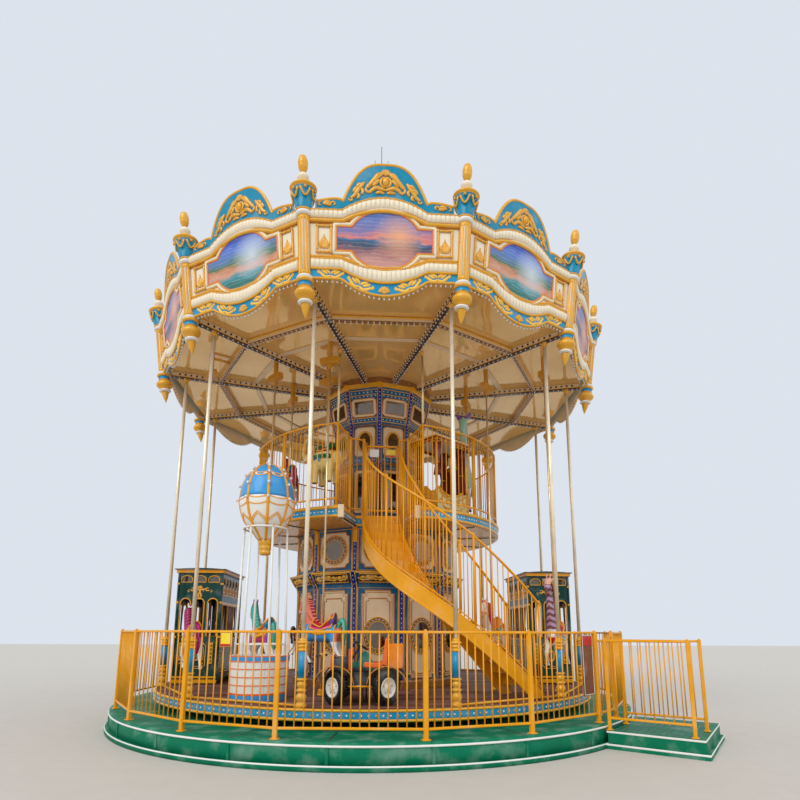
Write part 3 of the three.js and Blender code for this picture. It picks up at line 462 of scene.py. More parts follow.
def finish(name):
    """The material of a finish, made on first use."""
    label = "finish_" + name
    if label in bpy.data.materials:
        return bpy.data.materials[label]
    c = bpy.context.scene.carousel_colours
    if name in GILT:
        return carved(label, getattr(c, name))
    if name in METALS:
        return polished(label, getattr(c, name), *METALS[name])
    if name in PAINTS:
        source, rough, mottle = PAINTS[name]
        shine = 0.12 if rough > DULL else 0.3
        return painted(label, getattr(c, source), rough=rough, mottle=mottle, shine=shine)
    special = {
        "smooth_gold": lambda: painted(
            label, c.gold, rough=0.26, metal=0.1, coat=0.2, mottle=0.08, scale=5.0,
        ),
        "mirror": lambda: mirror(label, (0.2, 0.155, 0.12)),
        "bulb": lambda: bulb_glass(label, tuple(c.pearl)),
        "ceiling_gloss": lambda: glossy_ceiling(label, c.ceiling),
        "deck_floor": lambda: tread_floor(label, c.deck),
        "picture": lambda: picture(label, shade(250, 178, 128), *EVENING),
        "picture_day": lambda: picture(label, shade(214, 226, 236), *DAY),
    }
    return special[name]()


# Geometry: surfaces are arrays of points [row, column, axis], gathered into one mesh.
def polar(radius, azimuth, z=0.0):
    """Points at a radius and an azimuth in degrees: x = r sin a, y = -r cos a."""
    angle = np.radians(azimuth)
    x, y, z = np.broadcast_arrays(radius * np.sin(angle), -radius * np.cos(angle), z)
    return np.stack([x, y, z], -1)


def about_z(points, azimuth):
    """Points turned about the vertical axis by an azimuth in degrees."""
    c, s = math.cos(math.radians(azimuth)), math.sin(math.radians(azimuth))
    return points @ np.array([[c, s, 0], [-s, c, 0], [0, 0, 1]])


def unit(vectors):
    """Vectors of length 1."""
    return vectors / np.maximum(np.linalg.norm(vectors, axis=-1, keepdims=True), 1e-9)


def joined(x, y, z):
    """Points of three coordinates, each a number or an array."""
    return np.stack(np.broadcast_arrays(x, y, z), -1)


def layer(line, z):
    """Points [x, y] at a third coordinate."""
    return np.column_stack([line, np.full(len(line), z)])


def circles(profile, angle, spot=(0.0, 0.0)):
    """Level rings of points about an upright line: one for each (height, radius) of a profile."""
    return [joined(spot[0] + r * np.cos(angle), spot[1] + r * np.sin(angle), z) for z, r in profile]


def shifted(*step):
    """Function that moves points by a step."""
    return lambda points: points + np.array(step)


def exchanged(points):
    """Points whose second and third coordinates change places."""
    return points[..., [0, 2, 1]]


def ring(count, start=0.0):
    """Angles of a closed ring in radians."""
    return start + np.arange(count) * 2 * math.pi / count


def curved(points, steps=6):
    """Catmull-Rom curve through rows of numbers, with a number of steps between neighbours."""
    p = np.asarray(points, float)
    p = np.vstack([2 * p[0] - p[1], p, 2 * p[-1] - p[-2]])
    t = np.linspace(0, 1, steps, endpoint=False)[:, None, None]
    a, b, c, d = p[:-3], p[1:-2], p[2:-1], p[3:]
    rows = 0.5 * (2 * b + (c - a) * t + (2 * a - 5 * b + 4 * c - d) * t**2 + (3 * b - a - 3 * c + d) * t**3)
    return np.vstack([rows.transpose(1, 0, 2).reshape(-1, p.shape[1]), p[-2]])


def reversed_faces(loops, sizes):
    """Corner numbers of faces in a row, with the order of the corners reversed within each face."""
    ends = np.cumsum(sizes)
    return loops[np.repeat(2 * ends - sizes - 1, sizes) - np.arange(len(loops))]


class Shape:
    """Closed skins gathered for one mesh, each with a finish."""

    def __init__(self):
        self.points, self.plane, self.loops, self.sizes, self.finish, self.smooth = [], [], [], [], [], []
        self.count = 0

    def put(self, points, faces, finish_name, smooth, plane=None):
        """Adds points and faces (arrays of corner numbers, all faces of an array with as many corners). The
        signed volume, the sum of a.(b x c) / 6 over the triangles, tells whether to turn the faces
        round."""
        volume = 0.0
        for corners in faces:
            p = points[corners]
            for k in range(1, corners.shape[1] - 1):
                volume += np.einsum("ij,ij->", p[:, 0], np.cross(p[:, k], p[:, k + 1]))
        for corners in faces:
            corners = corners[:, ::-1] if volume < 0 else corners
            self.loops.append(corners.ravel() + self.count)
            self.sizes.append(np.full(len(corners), corners.shape[1]))
            self.finish.append(np.full(len(corners), finish_name, dtype=object))
            self.smooth.append(np.full(len(corners), smooth))
        self.points.append(points)
        self.plane.append(points if plane is None else plane)
        self.count += len(points)

    def loft(self, rows, finish_name, loop=False, smooth=False, plane=None):
        """Closed skin over a row of sections, each a ring of points. The first and last section get a lid,
        or run to a point where they have no size. loop joins the last section to the first."""
        rows = np.asarray(rows, float)
        plane = rows if plane is None else plane
        tips = [not loop and np.ptp(rows[k], axis=0).max() < 1e-6 for k in (0, -1)]
        body = slice(int(tips[0]), len(rows) - int(tips[1]))
        count = rows.shape[1]
        index = np.arange(len(rows[body]) * count).reshape(-1, count)
        low, high = (index, np.roll(index, -1, 0)) if loop else (index[:-1], index[1:])
        quads = np.stack([low, np.roll(low, -1, 1), np.roll(high, -1, 1), high], -1)
        faces, points, flat = [quads.reshape(-1, 4)], [rows[body].reshape(-1, 3)], [
            plane[body].reshape(-1, 3)
        ]
        for end, edge in ((0, index[0]), (-1, index[-1])):
            if loop:
                continue
            if tips[end]:
                apex = np.full(count, sum(map(len, points)))
                points.append(rows[end][:1])
                flat.append(plane[end][:1])
                fan = np.stack([np.roll(edge, -1), edge, apex], -1)
                faces.append(fan if end == 0 else fan[:, ::-1])
            else:
                faces.append((edge[::-1] if end == 0 else edge)[None])
        self.put(np.vstack(points), faces, finish_name, smooth, np.vstack(flat))

    def copies(self, other, places):
        """Repeats another shape at places: an array of 4 x 4 matrices."""
        other = other.whole()
        places = np.asarray(places, float).reshape(-1, 4, 4)
        many = len(places)
        moved = np.einsum("kij,nj->kni", places[:, :3, :3], other["points"]) + places[:, None, :3, 3]
        shift = (np.arange(many) * len(other["points"]))[:, None]
        self.points.append(moved.reshape(-1, 3))
        self.plane.append(np.tile(other["plane"], (many, 1)))
        self.loops.append((other["loops"][None] + shift).ravel() + self.count)
        for key in ("sizes", "finish", "smooth"):
            getattr(self, key).append(np.tile(other[key], many))
        self.count += many * len(other["points"])

    def whole(self):
        """The shape's data, each kind in one array."""
        data = {"points": np.vstack(self.points), "plane": np.vstack(self.plane)}
        for key in ("loops", "sizes", "finish", "smooth"):
            data[key] = np.concatenate(getattr(self, key))
        return data

    def moved(self, change):
        """The same shape with its points changed by a function of the whole array. Where the function
        mirrors, which the sign of its three unit steps from a point tells, the faces are turned round."""
        other = Shape()
        other.__dict__.update({key: list(value) for key, value in self.__dict__.items() if key != "count"})
        other.points = [change(points) for points in self.points]
        other.count = self.count
        steps = change(self.points[0][0] + np.vstack([np.zeros(3), 1e-3 * np.eye(3)]))
        if np.linalg.det(steps[1:] - steps[0]) < 0:
            other.loops = [reversed_faces(*pair) for pair in zip(self.loops, self.sizes)]
        return other

    def also(self, other):
        """Takes in another shape."""
        self.copies(other, np.eye(4)[None])

    def mesh(self, name):
        """Mesh of all skins, with its materials and, for a picture, the plane that it lies on."""
        data = self.whole()
        mesh = bpy.data.meshes.new(name)
        mesh.vertices.add(len(data["points"]))
        mesh.vertices.foreach_set("co", data["points"].astype(np.float32).ravel())
        mesh.loops.add(len(data["loops"]))
        mesh.loops.foreach_set("vertex_index", data["loops"].astype(np.int32))
        mesh.polygons.add(len(data["sizes"]))
        starts = np.concatenate([[0], np.cumsum(data["sizes"])[:-1]]).astype(np.int32)
        mesh.polygons.foreach_set("loop_start", starts)
        names = sorted(set(data["finish"]))
        for each in names:
            mesh.materials.append(finish(each))
        mesh.polygons.foreach_set(
            "material_index", np.searchsorted(names, data["finish"].astype(str)).astype(np.int32),
        )
        mesh.polygons.foreach_set("use_smooth", data["smooth"].astype(bool))
        if "picture" in names or "picture_day" in names:
            plane = mesh.attributes.new("plane", "FLOAT_VECTOR", "POINT")
            plane.data.foreach_set("vector", data["plane"].astype(np.float32).ravel())
        mesh.update(calc_edges=True)
        return mesh

    def object(self, name, body, *nodes, slot=None):
        """Makes the mesh object, rides it on a body and lets it stand for frame nodes."""
        made = bpy.data.objects.new(name, self.mesh(name))
        bpy.context.scene.collection.objects.link(made)
        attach(made, body)
        if nodes:
            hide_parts(*nodes)
        return made


def oval(width, depth, sides=8):
    """Section [x, y] of an oval with flat sides facing along the axes."""
    angle = ring(sides, math.pi / sides)
    return np.stack([width * np.cos(angle), depth * np.sin(angle)], -1)


BEVEL = 0.004


def square(width, depth, chamfer=0.12):
    """Rectangular section with small chamfers."""
    a, b = width / 2, depth / 2
    c = min(width, depth) * chamfer
    return np.array([
        (a, b - c), (a - c, b), (c - a, b), (-a, b - c), (-a, c - b), (c - a, -b), (a - c, -b), (a, c - b),
    ])


def carry(path, section, up=(0, 0, 1), loop=False, size=None):
    """Section [side, up] carried along a path: point = path + side * x + normal * y, where side is square to
    the way the path runs and to up, and size scales the section row by row."""
    path = np.asarray(path, float)
    if loop:
        run = np.roll(path, -1, 0) - np.roll(path, 1, 0)
    else:
        run = np.gradient(path, axis=0)
    run = unit(run)
    side = unit(np.cross(run, np.broadcast_to(np.asarray(up, float), run.shape)))
    normal = np.cross(side, run)
    section = np.asarray(section, float)
    if section.ndim == 2:
        section = np.broadcast_to(section, (len(path), *section.shape))
    if size is not None:
        section = section * np.asarray(size, float).reshape(len(path), 1, -1)
    return path[:, None] + side[:, None] * section[..., :1] + normal[:, None] * section[..., 1:]


def bar(shape, start, end, width, finish_name, sides=6):
    """Round bar between two points."""
    start, end = np.asarray(start, float), np.asarray(end, float)
    steep = abs(unit(end - start)[2]) > 0.9
    up = (1, 0, 0) if steep else (0, 0, 1)
    shape.loft(carry([start, end], oval(width / 2, width / 2, sides), up), finish_name, smooth=True)


def block(shape, low, high, finish_name, chamfer=0.06):
    """Upright box between two corners, with chamfered upright edges."""
    low, high = np.asarray(low, float), np.asarray(high, float)
    section = square(high[0] - low[0], high[1] - low[1], chamfer) + (low[:2] + high[:2]) / 2
    edge = min(BEVEL, (high[2] - low[2]) / 4)
    middle = (low[:2] + high[:2]) / 2
    rows = []
    for z, inset in ((low[2], edge), (low[2] + edge, 0), (high[2] - edge, 0), (high[2], edge)):
        scale = 1 - inset / np.maximum((high[:2] - low[:2]) / 2, edge * 2)
        rows.append(layer((section - middle) * scale + middle, z))
    shape.loft(rows, finish_name)


def turned(shape, profile, sides=24, place=None, start=0.0, smooth=True):
    """Turned piece. The profile is a list of (height, radius, bulge, finish): each stretch runs to the next
    entry, radius = straight line + bulge * sin(pi * share), and a stretch with a bulge gets several rings.
    An entry may leave out the finish, to keep the one before, and the bulge. Each run of one finish is a
    closed skin."""
    angle = ring(sides, start)
    profile = [(*entry, *(0, None)[len(entry) - 2 :]) for entry in profile]
    runs, current = [], None
    for (z0, r0, bulge, name), (z1, r1, _, _) in zip(profile, profile[1:]):
        steps = 7 if bulge else 1
        share = np.linspace(0, 1, steps + 1)
        radius = r0 + (r1 - r0) * share + bulge * np.sin(np.pi * share)
        height = z0 + (z1 - z0) * share
        name = name or current
        if name == current:
            runs[-1][1].append(np.column_stack([height, radius])[1:])
        else:
            runs.append((name, [np.column_stack([height, radius])]))
            current = name
    for name, stretches in runs:
        hr = np.vstack(stretches)
        hr[:, 1] = np.maximum(hr[:, 1], 0)
        rows = np.array(circles(hr, angle))
        rows = rows if place is None else place(rows)
        shape.loft(rows, name, smooth=smooth)


def faceted(shape, profile):
    """Twelve-sided piece with a corner between every two bays."""
    turned(shape, profile, BAYS, start=HALF_BAY, smooth=False)


def at(x=0.0, y=0.0, z=0.0, azimuth=0.0, scale=1.0):
    """Matrix that turns about Z, then moves."""
    made = np.eye(4)
    c, s = math.cos(math.radians(azimuth)), math.sin(math.radians(azimuth))
    made[:3, :3] = np.array([[c, -s, 0], [s, c, 0], [0, 0, 1]]) * scale
    made[:3, 3] = (x, y, z)
    return made


def spots(points):
    """Matrices that move a shape to a point or to points, without turning it."""
    points = np.asarray(points, float).reshape(-1, 3)
    made = np.tile(np.eye(4), (len(points), 1, 1))
    made[:, :3, 3] = points
    return made


def ball(radius, finish_name, sides=8, rows=6, stretch=1.0):
    """Small ball about the origin."""
    shape = Shape()
    angle = np.linspace(0, math.pi, rows)
    profile = np.column_stack([-np.cos(angle) * radius * stretch, np.sin(angle) * radius])
    shape.loft(circles(profile, ring(sides)), finish_name, smooth=True)
    return shape


def balls(shape, points, radius, finish_name, sides=8, rows=6, stretch=1.0):
    """Copies of a small ball at points."""
    shape.copies(ball(radius, finish_name, sides, rows, stretch), spots(points))


def wire(shape, path, size, finish_name, up=(0, 0, 1), loop=False):
    """Smooth six-sided line along a path. Its size is a radius, or one to the side and one upwards."""
    section = oval(*np.broadcast_to(size, 2), 6)
    shape.loft(carry(path, section, up, loop=loop), finish_name, loop=loop, smooth=True)


def along(path, pitch, start=0.5):
    """Evenly spaced points on a path, about a pitch apart."""
    path = np.asarray(path, float)
    step = np.linalg.norm(np.diff(path, axis=0), axis=1)
    travel = np.concatenate([[0], np.cumsum(step)])
    count = max(1, int(round(travel[-1] / pitch)))
    wanted = (np.arange(count) + start) * travel[-1] / count
    return np.stack([np.interp(wanted, travel, path[:, k]) for k in range(3)], -1)


# Pieces on a face have coordinates of their own: u across it, v up it and w outwards.
def facing(azimuth, distance, level=0.0, lean=0.0):
    """Function that carries [u, v, w] to the face at an azimuth and a distance that leans outwards:
    outwards = distance + w cos lean + v sin lean, height = level + v cos lean - w sin lean."""
    c, s = math.cos(lean), math.sin(lean)

    def place(points):
        u, v, w = np.moveaxis(points, -1, 0)
        return about_z(np.stack([u, -distance - w * c - v * s, level - w * s + v * c], -1), azimuth)

    return place


def outline(a, b, corner=((0, 0),)):
    """Closed outline [u, v] of a panel with half sides a and b. The corner is a list of distances in from the
    right side and the top, and it is mirrored to the other three."""
    p = np.array([(a - x, b - y) for x, y in corner])
    return np.vstack([p, (p * (-1, 1))[::-1], p * (-1, -1), (p * (1, -1))[::-1]])


def stepped(step):
    """Corner with a square step."""
    return ((0, step), (step, step), (step, 0))


def notched(radius):
    """Corner cut in by a quarter circle."""
    return tuple((radius * math.sin(t), radius * math.cos(t)) for t in np.linspace(0, math.pi / 2, 7))


def rounded(radius):
    """Corner rounded off."""
    return tuple(
        (radius * (1 - math.cos(t)), radius * (1 - math.sin(t)))
        for t in np.linspace(0, math.pi / 2, 5)
    )


def ellipse(a, b, count=36):
    """Outline of an ellipse."""
    angle = ring(count)
    return np.stack([a * np.cos(angle), b * np.sin(angle)], -1)


def on_face(line, v, w, shrink=1.0):
    """Outline's points on the face about a middle height v, at w."""
    return np.column_stack([line[:, 0] * shrink, line[:, 1] * shrink + v, np.full(len(line), w)])


def plate(shape, line, v, w, finish_name, back=0.0):
    """Flat plate with the given outline about v, from back to w, with a small bevel."""
    shrink = 1 - BEVEL / line.max()
    rows = [on_face(line, v, back), on_face(line, v, w - BEVEL), on_face(line, v, w, shrink)]
    shape.loft(rows, finish_name)


def bead(shape, line, v, w, size, finish_name):
    """Half-round line along a closed outline."""
    path = on_face(line, v, w)
    wire(shape, path, size, finish_name, loop=True)


def closed(line):
    """Line whose first point is repeated at its end."""
    return np.vstack([line, line[:1]])


def round_copies(shape, other, start=0.0, count=BAYS):
    """Copies a shape round the vertical axis."""
    shape.copies(other, [at(azimuth=start + 360 * k / count) for k in range(count)])


# Rounding boards
BOARD_APOTHEM = TIP_RADIUS * math.cos(HALF_BAY)
BOARD_LEAN = math.atan(LEAN_RATE * math.cos(HALF_BAY))
POST_LEAN = math.atan(LEAN_RATE)
ARC_HALF = 0.66
CREST_HALF = 0.66
CREST_REACH = 1.06
RELIEF_U = 0.93
RELIEF_V = 1.255


def half_width(v):
    """Half width of a board at a height on it."""
    return (TIP_RADIUS + LEAN_RATE * v) * math.sin(HALF_BAY)


def scallop(u, flat, centre):
    """Height of a band's edge: flat beside the posts and a parabola 1 - (u / half)^2 to the middle."""
    return flat + (centre - flat) * np.maximum(0, 1 - (u / ARC_HALF) ** 2)


def crest_line(u):
    """Top of the board: a round dome 1 - t^3 in the middle, and a low hump on each side of it."""
    t = np.abs(u) / CREST_HALF
    hump = np.clip((t - 1) / (CREST_REACH / CREST_HALF - 1), 0, 1)
    return 1.85 + 0.635 * np.maximum(0, 1 - t**3) + 0.06 * np.sin(np.pi * (0.1 + 0.8 * hump) ** 0.6) * (t > 1)


PICTURE_V = 1.272
PICTURE_FRAME = (  # distance out from the picture, radius, w and finish
    (0.006, 0.008, 0.03, "coral"),
    (0.022, 0.011, 0.03, "smooth_gold"),
    (0.052, 0.026, 0.018, "cream"),
    (0.084, 0.009, 0.02, "smooth_gold"),
)
OUTLINE_POINTS = 96
BAND_EDGES = {  # heights on the board beside the posts and in the middle
    "edge": (0.645, 0.402),
    "blue_top": (0.79, 0.598),
    "low_band_top": (0.948, 0.800),
    "high_band_low": (1.575, 1.756),
    "high_band_top": (1.715, 1.936),
}


def board_place(azimuth):
    """Function that carries a board's own points to a bay."""
    return facing(azimuth, BOARD_APOTHEM, TIP_Z, BOARD_LEAN)


def strip(shape, low, high, front, finish_name, back, steps=41, reach=None):
    """Closed strip of board between two height curves of u, with its front at w."""
    sides = np.linspace(-1, 1, steps)
    rows = []
    middle = 0.5 * (float(low(0.9)) + float(high(0.9)))
    u = sides * (half_width(middle) - 0.09 if reach is None else reach)
    v0, v1 = low(u), high(u)
    for share, w in ((0, back), (0, front), (0.25, front), (0.75, front), (1, front), (1, back)):
        v = v0 + (v1 - v0) * share
        rows.append(joined(u, v, w))
    shape.loft(np.stack(rows, 1), finish_name)


def edge_curve(name, shift=0.0):
    """Function that gives the height of a band's edge at u."""
    flat, centre = BAND_EDGES[name]
    return lambda u: scallop(np.asarray(u, float), flat + shift, centre + shift)


def moulding(shape, curve, w, size, finish_name, reach=None, steps=61):
    """Rounded moulding along a height curve, standing out from the board."""
    u = np.linspace(-1, 1, steps) * (half_width(float(curve(0.9))) - 0.09 if reach is None else reach)
    path = joined(u, curve(u), w)
    shape.loft(carry(path, oval(size, size, 8), (0, 0, 1)), finish_name, smooth=True)


def fluted_band(shape, low, high, pitch):
    """Cream band of upright flutes: w = base + depth * min(1, 1.5 |sin(pi u / pitch)|) ^ 0.8, rounded off
    at both edges."""
    reach = half_width(float(low(0.9))) - 0.09
    count = int(round(2 * reach / pitch))
    u = np.linspace(-reach, reach, count * 8 + 1)
    swell = np.minimum(1, 1.5 * np.abs(np.sin(np.pi * (u + reach) / (2 * reach / count)))) ** 0.8
    rows = []
    for share, depth in ((0.06, 0.0), (0.18, 0.8), (0.5, 1.0), (0.82, 0.8), (0.94, 0.0)):
        v = low(u) + (high(u) - low(u)) * share
        rows.append(np.stack([u, v, 0.036 + 0.03 * depth * swell], -1))
    back = [joined(u, low(u) + (high(u) - low(u)) * share, 0.0) for share in (0.94, 0.06)]
    shape.loft(np.stack(rows + back, 1), "cream", smooth=True)


def cartouche_outline(grow=0.0):
    """Outline of the picture: in each direction the farther of an ellipse and a rectangle, about its
    middle."""
    wing, wing_half, a, b = 0.73 + grow, 0.177 + grow, 0.545 + grow, 0.445 + grow
    meet = a * math.sqrt(1 - (wing_half / b) ** 2)
    corners = [math.atan2(wing_half, u) for u in (wing, meet)]
    extra = np.concatenate([[c, math.pi - c, math.pi + c, 2 * math.pi - c] for c in corners])
    angle = np.sort(np.concatenate([ring(OUTLINE_POINTS), extra]))
    oval_r = a * b / np.sqrt((b * np.cos(angle)) ** 2 + (a * np.sin(angle)) ** 2)
    across, upwards = np.maximum(np.abs(np.cos(angle)), 1e-6), np.maximum(np.abs(np.sin(angle)), 1e-6)
    box_r = np.minimum(wing / across, wing_half / upwards)
    radius = np.maximum(oval_r, box_r)
    return np.stack([radius * np.cos(angle), radius * np.sin(angle)], -1)


def board_picture(shape, finish_name):
    """Picture field of a board, in four closed lines of its frame."""
    edge = cartouche_outline()
    rows, flat = [], []
    for share, w in ((0, 0.03), (0.3, 0.03), (0.6, 0.03), (0.85, 0.03), (1, 0.028), (1, 0.0), (0, 0.0)):
        rows.append(on_face(edge, PICTURE_V, w, share))
        flat.append(layer(edge * share, 0.0))
    shape.loft(rows, finish_name, plane=np.array(flat))
    for grow, size, w, name in PICTURE_FRAME:
        bead(shape, cartouche_outline(grow), PICTURE_V, w, size, name)


def stroke(points, width, rise=0.6, steps=4, sides=6, blunt=0.35):
    """Carved stroke in a plane: a curve through [u, v] points, an oval section that swells as sin(pi *
    share)^blunt and lies on the plane."""
    path = curved(np.column_stack([points, np.zeros(len(points))]), steps)
    share = np.linspace(0, 1, len(path))
    size = np.maximum(np.sin(np.pi * (0.04 + 0.92 * share)) ** blunt, 0.05)
    section = oval(width / 2, width * rise / 2, sides)
    return carry(path, section, (0, 0, 1), size=np.column_stack([size, size]))


def curl(centre, radius, start, sweep, shrink):
    """Points of a spiral about a centre: the radius shrinks evenly to a share of itself over the sweep in
    degrees."""
    share = np.linspace(0, 1, 7)
    angle = np.radians(start + sweep * share)
    r = radius * (1 - (1 - shrink) * share)
    return np.column_stack([centre[0] + r * np.cos(angle), centre[1] + r * np.sin(angle)])


def ornament(strokes, finish_name="gold"):
    """Carving made of strokes (points, width), with its mirror image across u = 0."""
    shape = Shape()
    for points, width in strokes:
        rows = stroke(np.asarray(points, float), width)
        shape.loft(rows, finish_name, smooth=True)
        shape.loft(rows * np.array([-1, 1, 1]), finish_name, smooth=True)
    return shape


def leaf_scroll():
    """Leafy double scroll of the blue bands, about 0.35 long, along u."""
    strokes = [
        (curl((0.05, 0.004), 0.042, 200, -250, 0.3), 0.03),
        ([(0.0, -0.03), (0.05, -0.052), (0.1, -0.034), (0.135, 0.008)], 0.042),
        ([(0.02, 0.0), (0.045, 0.036), (0.09, 0.05)], 0.038),
        ([(0.04, -0.01), (0.085, 0.014), (0.12, 0.044)], 0.036),
        ([(0.08, -0.026), (0.125, -0.014), (0.155, 0.022)], 0.034),
        (curl((0.15, 0.02), 0.026, -120, 260, 0.3), 0.02),
    ]
    # the scrolls take the lighter copy of the gold: painted light on their downward faces
    return ornament(strokes, "bright_gold")


def shell_fan(radius=0.07, leaves=7, width=0.03):
    """Fan of rounded leaves over a small boss."""
    shape = Shape()
    for k in range(leaves):
        angle = math.radians(90 + (k - (leaves - 1) / 2) * 150 / (leaves - 1))
        tip = radius * (1 - 0.18 * abs(k - (leaves - 1) / 2) / leaves)
        way = np.array([math.cos(angle), math.sin(angle)])
        points = [way * 0.12 * radius, way * tip * 0.6, way * tip]
        shape.loft(stroke(points, width, 0.8, 3), "gold", smooth=True)
    shape.also(ball(radius * 0.3, "gold", 8, 5, 0.7))
    return shape


def crest_carving():
    """Cartouche on the crest: an oval boss in a scrolled frame under a shell, with a leaf spray on each
    side."""
    strokes = [
        (curl((0.0, 0.13), 0.078, -90, 180, 1.0), 0.046),
        ([(0.04, 0.262), (0.12, 0.24), (0.17, 0.17), (0.235, 0.09), (0.3, 0.02)], 0.08),
        ([(0.06, 0.25), (0.14, 0.19), (0.185, 0.11)], 0.07),
        ([(0.1, 0.17), (0.15, 0.11), (0.2, 0.06)], 0.06),
        (curl((0.25, 0.0), 0.062, 60, -270, 0.35), 0.046),
        ([(0.0, 0.0), (0.07, 0.02), (0.14, 0.035), (0.2, 0.005), (0.25, -0.05)], 0.068),
        ([(0.02, -0.05), (0.09, -0.035), (0.15, -0.05)], 0.055),
        ([(0.33, 0.12), (0.375, 0.05), (0.43, -0.02), (0.475, -0.1), (0.54, -0.15)], 0.07),
        ([(0.345, 0.08), (0.41, 0.075), (0.45, 0.03)], 0.058),
        ([(0.375, 0.02), (0.35, -0.03), (0.37, -0.08)], 0.054),
        ([(0.4, 0.02), (0.46, 0.01), (0.5, -0.05)], 0.056),
        ([(0.43, -0.06), (0.41, -0.11), (0.44, -0.15)], 0.05),
        (curl((0.545, -0.16), 0.04, 130, 250, 0.3), 0.034),
    ]
    shape = ornament(strokes)
    boss = Shape()
    boss.loft(stroke([(0, 0.06), (0, 0.13), (0, 0.2)], 0.1, 0.8, 5, 10, 0.5), "smooth_gold", smooth=True)
    shape.also(boss)
    fan = shell_fan(0.09, 7, 0.04)
    shape.copies(fan, [at(0, 0.25, 0)])
    return shape


def shoulder_carving():
    """Leaf scroll on the low hump beside the dome."""
    strokes = [
        (curl((0.8, 1.82), 0.04, -30, 300, 0.4), 0.032),
        ([(0.83, 1.80), (0.89, 1.81), (0.96, 1.825)], 0.06),
        ([(0.84, 1.84), (0.9, 1.85), (0.95, 1.83)], 0.05),
        (curl((1.0, 1.81), 0.034, 120, -250, 0.4), 0.026),
    ]
    return ornament(strokes)


def relief_panel(shape, u):
    """Small framed relief beside a post: a moulded frame with four bosses and a fountain of leaves."""
    half_w, half_h, v = 0.106, 0.205, RELIEF_V
    corners = [(-half_w, -half_h), (half_w, -half_h), (half_w, half_h), (-half_w, half_h)]
    steps = np.linspace(0, 1, 6, endpoint=False)[:, None]
    loop = np.vstack([
        np.array(a) * (1 - steps) + np.array(b) * steps
        for a, b in zip(corners, corners[1:] + corners[:1])
    ])
    wire(shape, layer(loop + (u, v), 0.03), (0.019, 0.016), "gold", loop=True)
    balls(shape, [(u + a, v + b, 0.036) for a, b in corners], 0.026, "gold", 8, 5, 0.7)
    ground = np.array([(-0.9, -0.93), (0.9, -0.93), (0.9, 0.93), (-0.9, 0.93)]) * (half_w, half_h)
    rows = [layer(ground * s + (u, v), w) for s, w in ((1, 0.0), (1, 0.014), (0.86, 0.02))]
    shape.loft(rows, "cream")
    for k in range(-3, 4):
        tip = 0.075 - 0.048 * abs(k) ** 0.8
        points = [(u, v - 0.15), (u + 0.022 * k, v - 0.12 + 0.012 * abs(k)), (u + 0.02 * k, v + tip)]
        shape.loft(stroke(points, 0.034, 0.9, 3) + np.array([0, 0, 0.024]), "gold", smooth=True)
    for side in (-1, 1):
        points = curl((u + side * 0.04, v - 0.125), 0.032, 90, -side * 260, 0.3)
        shape.loft(stroke(points, 0.022, 0.9, 3) + np.array([0, 0, 0.026]), "gold", smooth=True)


def board_bands(shape, flute_pitch):
    """Closed strips of a board: its ground, the blue band, the crest, their backs and the two fluted
    bands."""
    edge, blue, low_top = edge_curve("edge"), edge_curve("blue_top"), edge_curve("low_band_top")
    high_low, high_top = edge_curve("high_band_low"), edge_curve("high_band_top")
    strip(shape, edge, high_top, 0.0, "cream", back=-0.03)
    strip(shape, edge_curve("edge", 0.012), edge_curve("blue_top", 0.01), 0.022, "band_blue", back=-0.001)
    crest_low, crest_high = edge_curve("high_band_top", -0.01), lambda u: crest_line(u) - 0.012
    strip(shape, crest_low, crest_high, 0.014, "crest_blue", back=-0.03, steps=81, reach=CREST_REACH)
    strip(shape, crest_low, crest_high, -0.028, "tan", back=-0.034, steps=81, reach=CREST_REACH - 0.004)
    strip(shape, edge_curve("edge", 0.004), high_top, -0.028, "tan", back=-0.034)
    field_low, field_high = edge_curve("low_band_top", -0.005), edge_curve("high_band_low", 0.005)
    strip(shape, field_low, field_high, 0.012, "cream", back=-0.001)
    fluted_band(shape, blue, low_top, flute_pitch)
    fluted_band(shape, high_low, high_top, flute_pitch)


def board_mouldings(shape):
    """Gilded mouldings and rows of beads along the bands and over the crest."""
    edge, blue, low_top = edge_curve("edge"), edge_curve("blue_top"), edge_curve("low_band_top")
    high_top = edge_curve("high_band_top")
    moulding(shape, edge, 0.014, 0.02, "smooth_gold")
    moulding(shape, blue, 0.032, 0.019, "smooth_gold")
    moulding(shape, low_top, 0.03, 0.016, "gold")
    moulding(shape, edge_curve("low_band_top", 0.036), 0.02, 0.02, "smooth_gold")
    moulding(shape, edge_curve("high_band_low", -0.03), 0.03, 0.03, "smooth_gold")
    moulding(shape, edge_curve("high_band_low", -0.066), 0.012, 0.013, "deep_gold")
    moulding(shape, high_top, 0.03, 0.016, "gold")
    moulding(shape, crest_line, 0.0, 0.026, "smooth_gold", reach=CREST_REACH, steps=121)
    for side in (-1, 1):
        u = side * (CREST_REACH + 0.002)
        foot, head = (u, float(high_top(u)) + 0.01, 0.0), (u, float(crest_line(u)), 0.0)
        bar(shape, foot, head, 0.03, "smooth_gold", 8)
    beads = ball(0.009, "smooth_gold", 6, 4)
    for name in ("low_band_top", "high_band_top"):
        curve = edge_curve(name, 0.012)
        u = np.linspace(-1.08, 1.08, 200)
        path = joined(u, curve(u), 0.044)
        shape.copies(beads, spots(along(path, 0.04)))


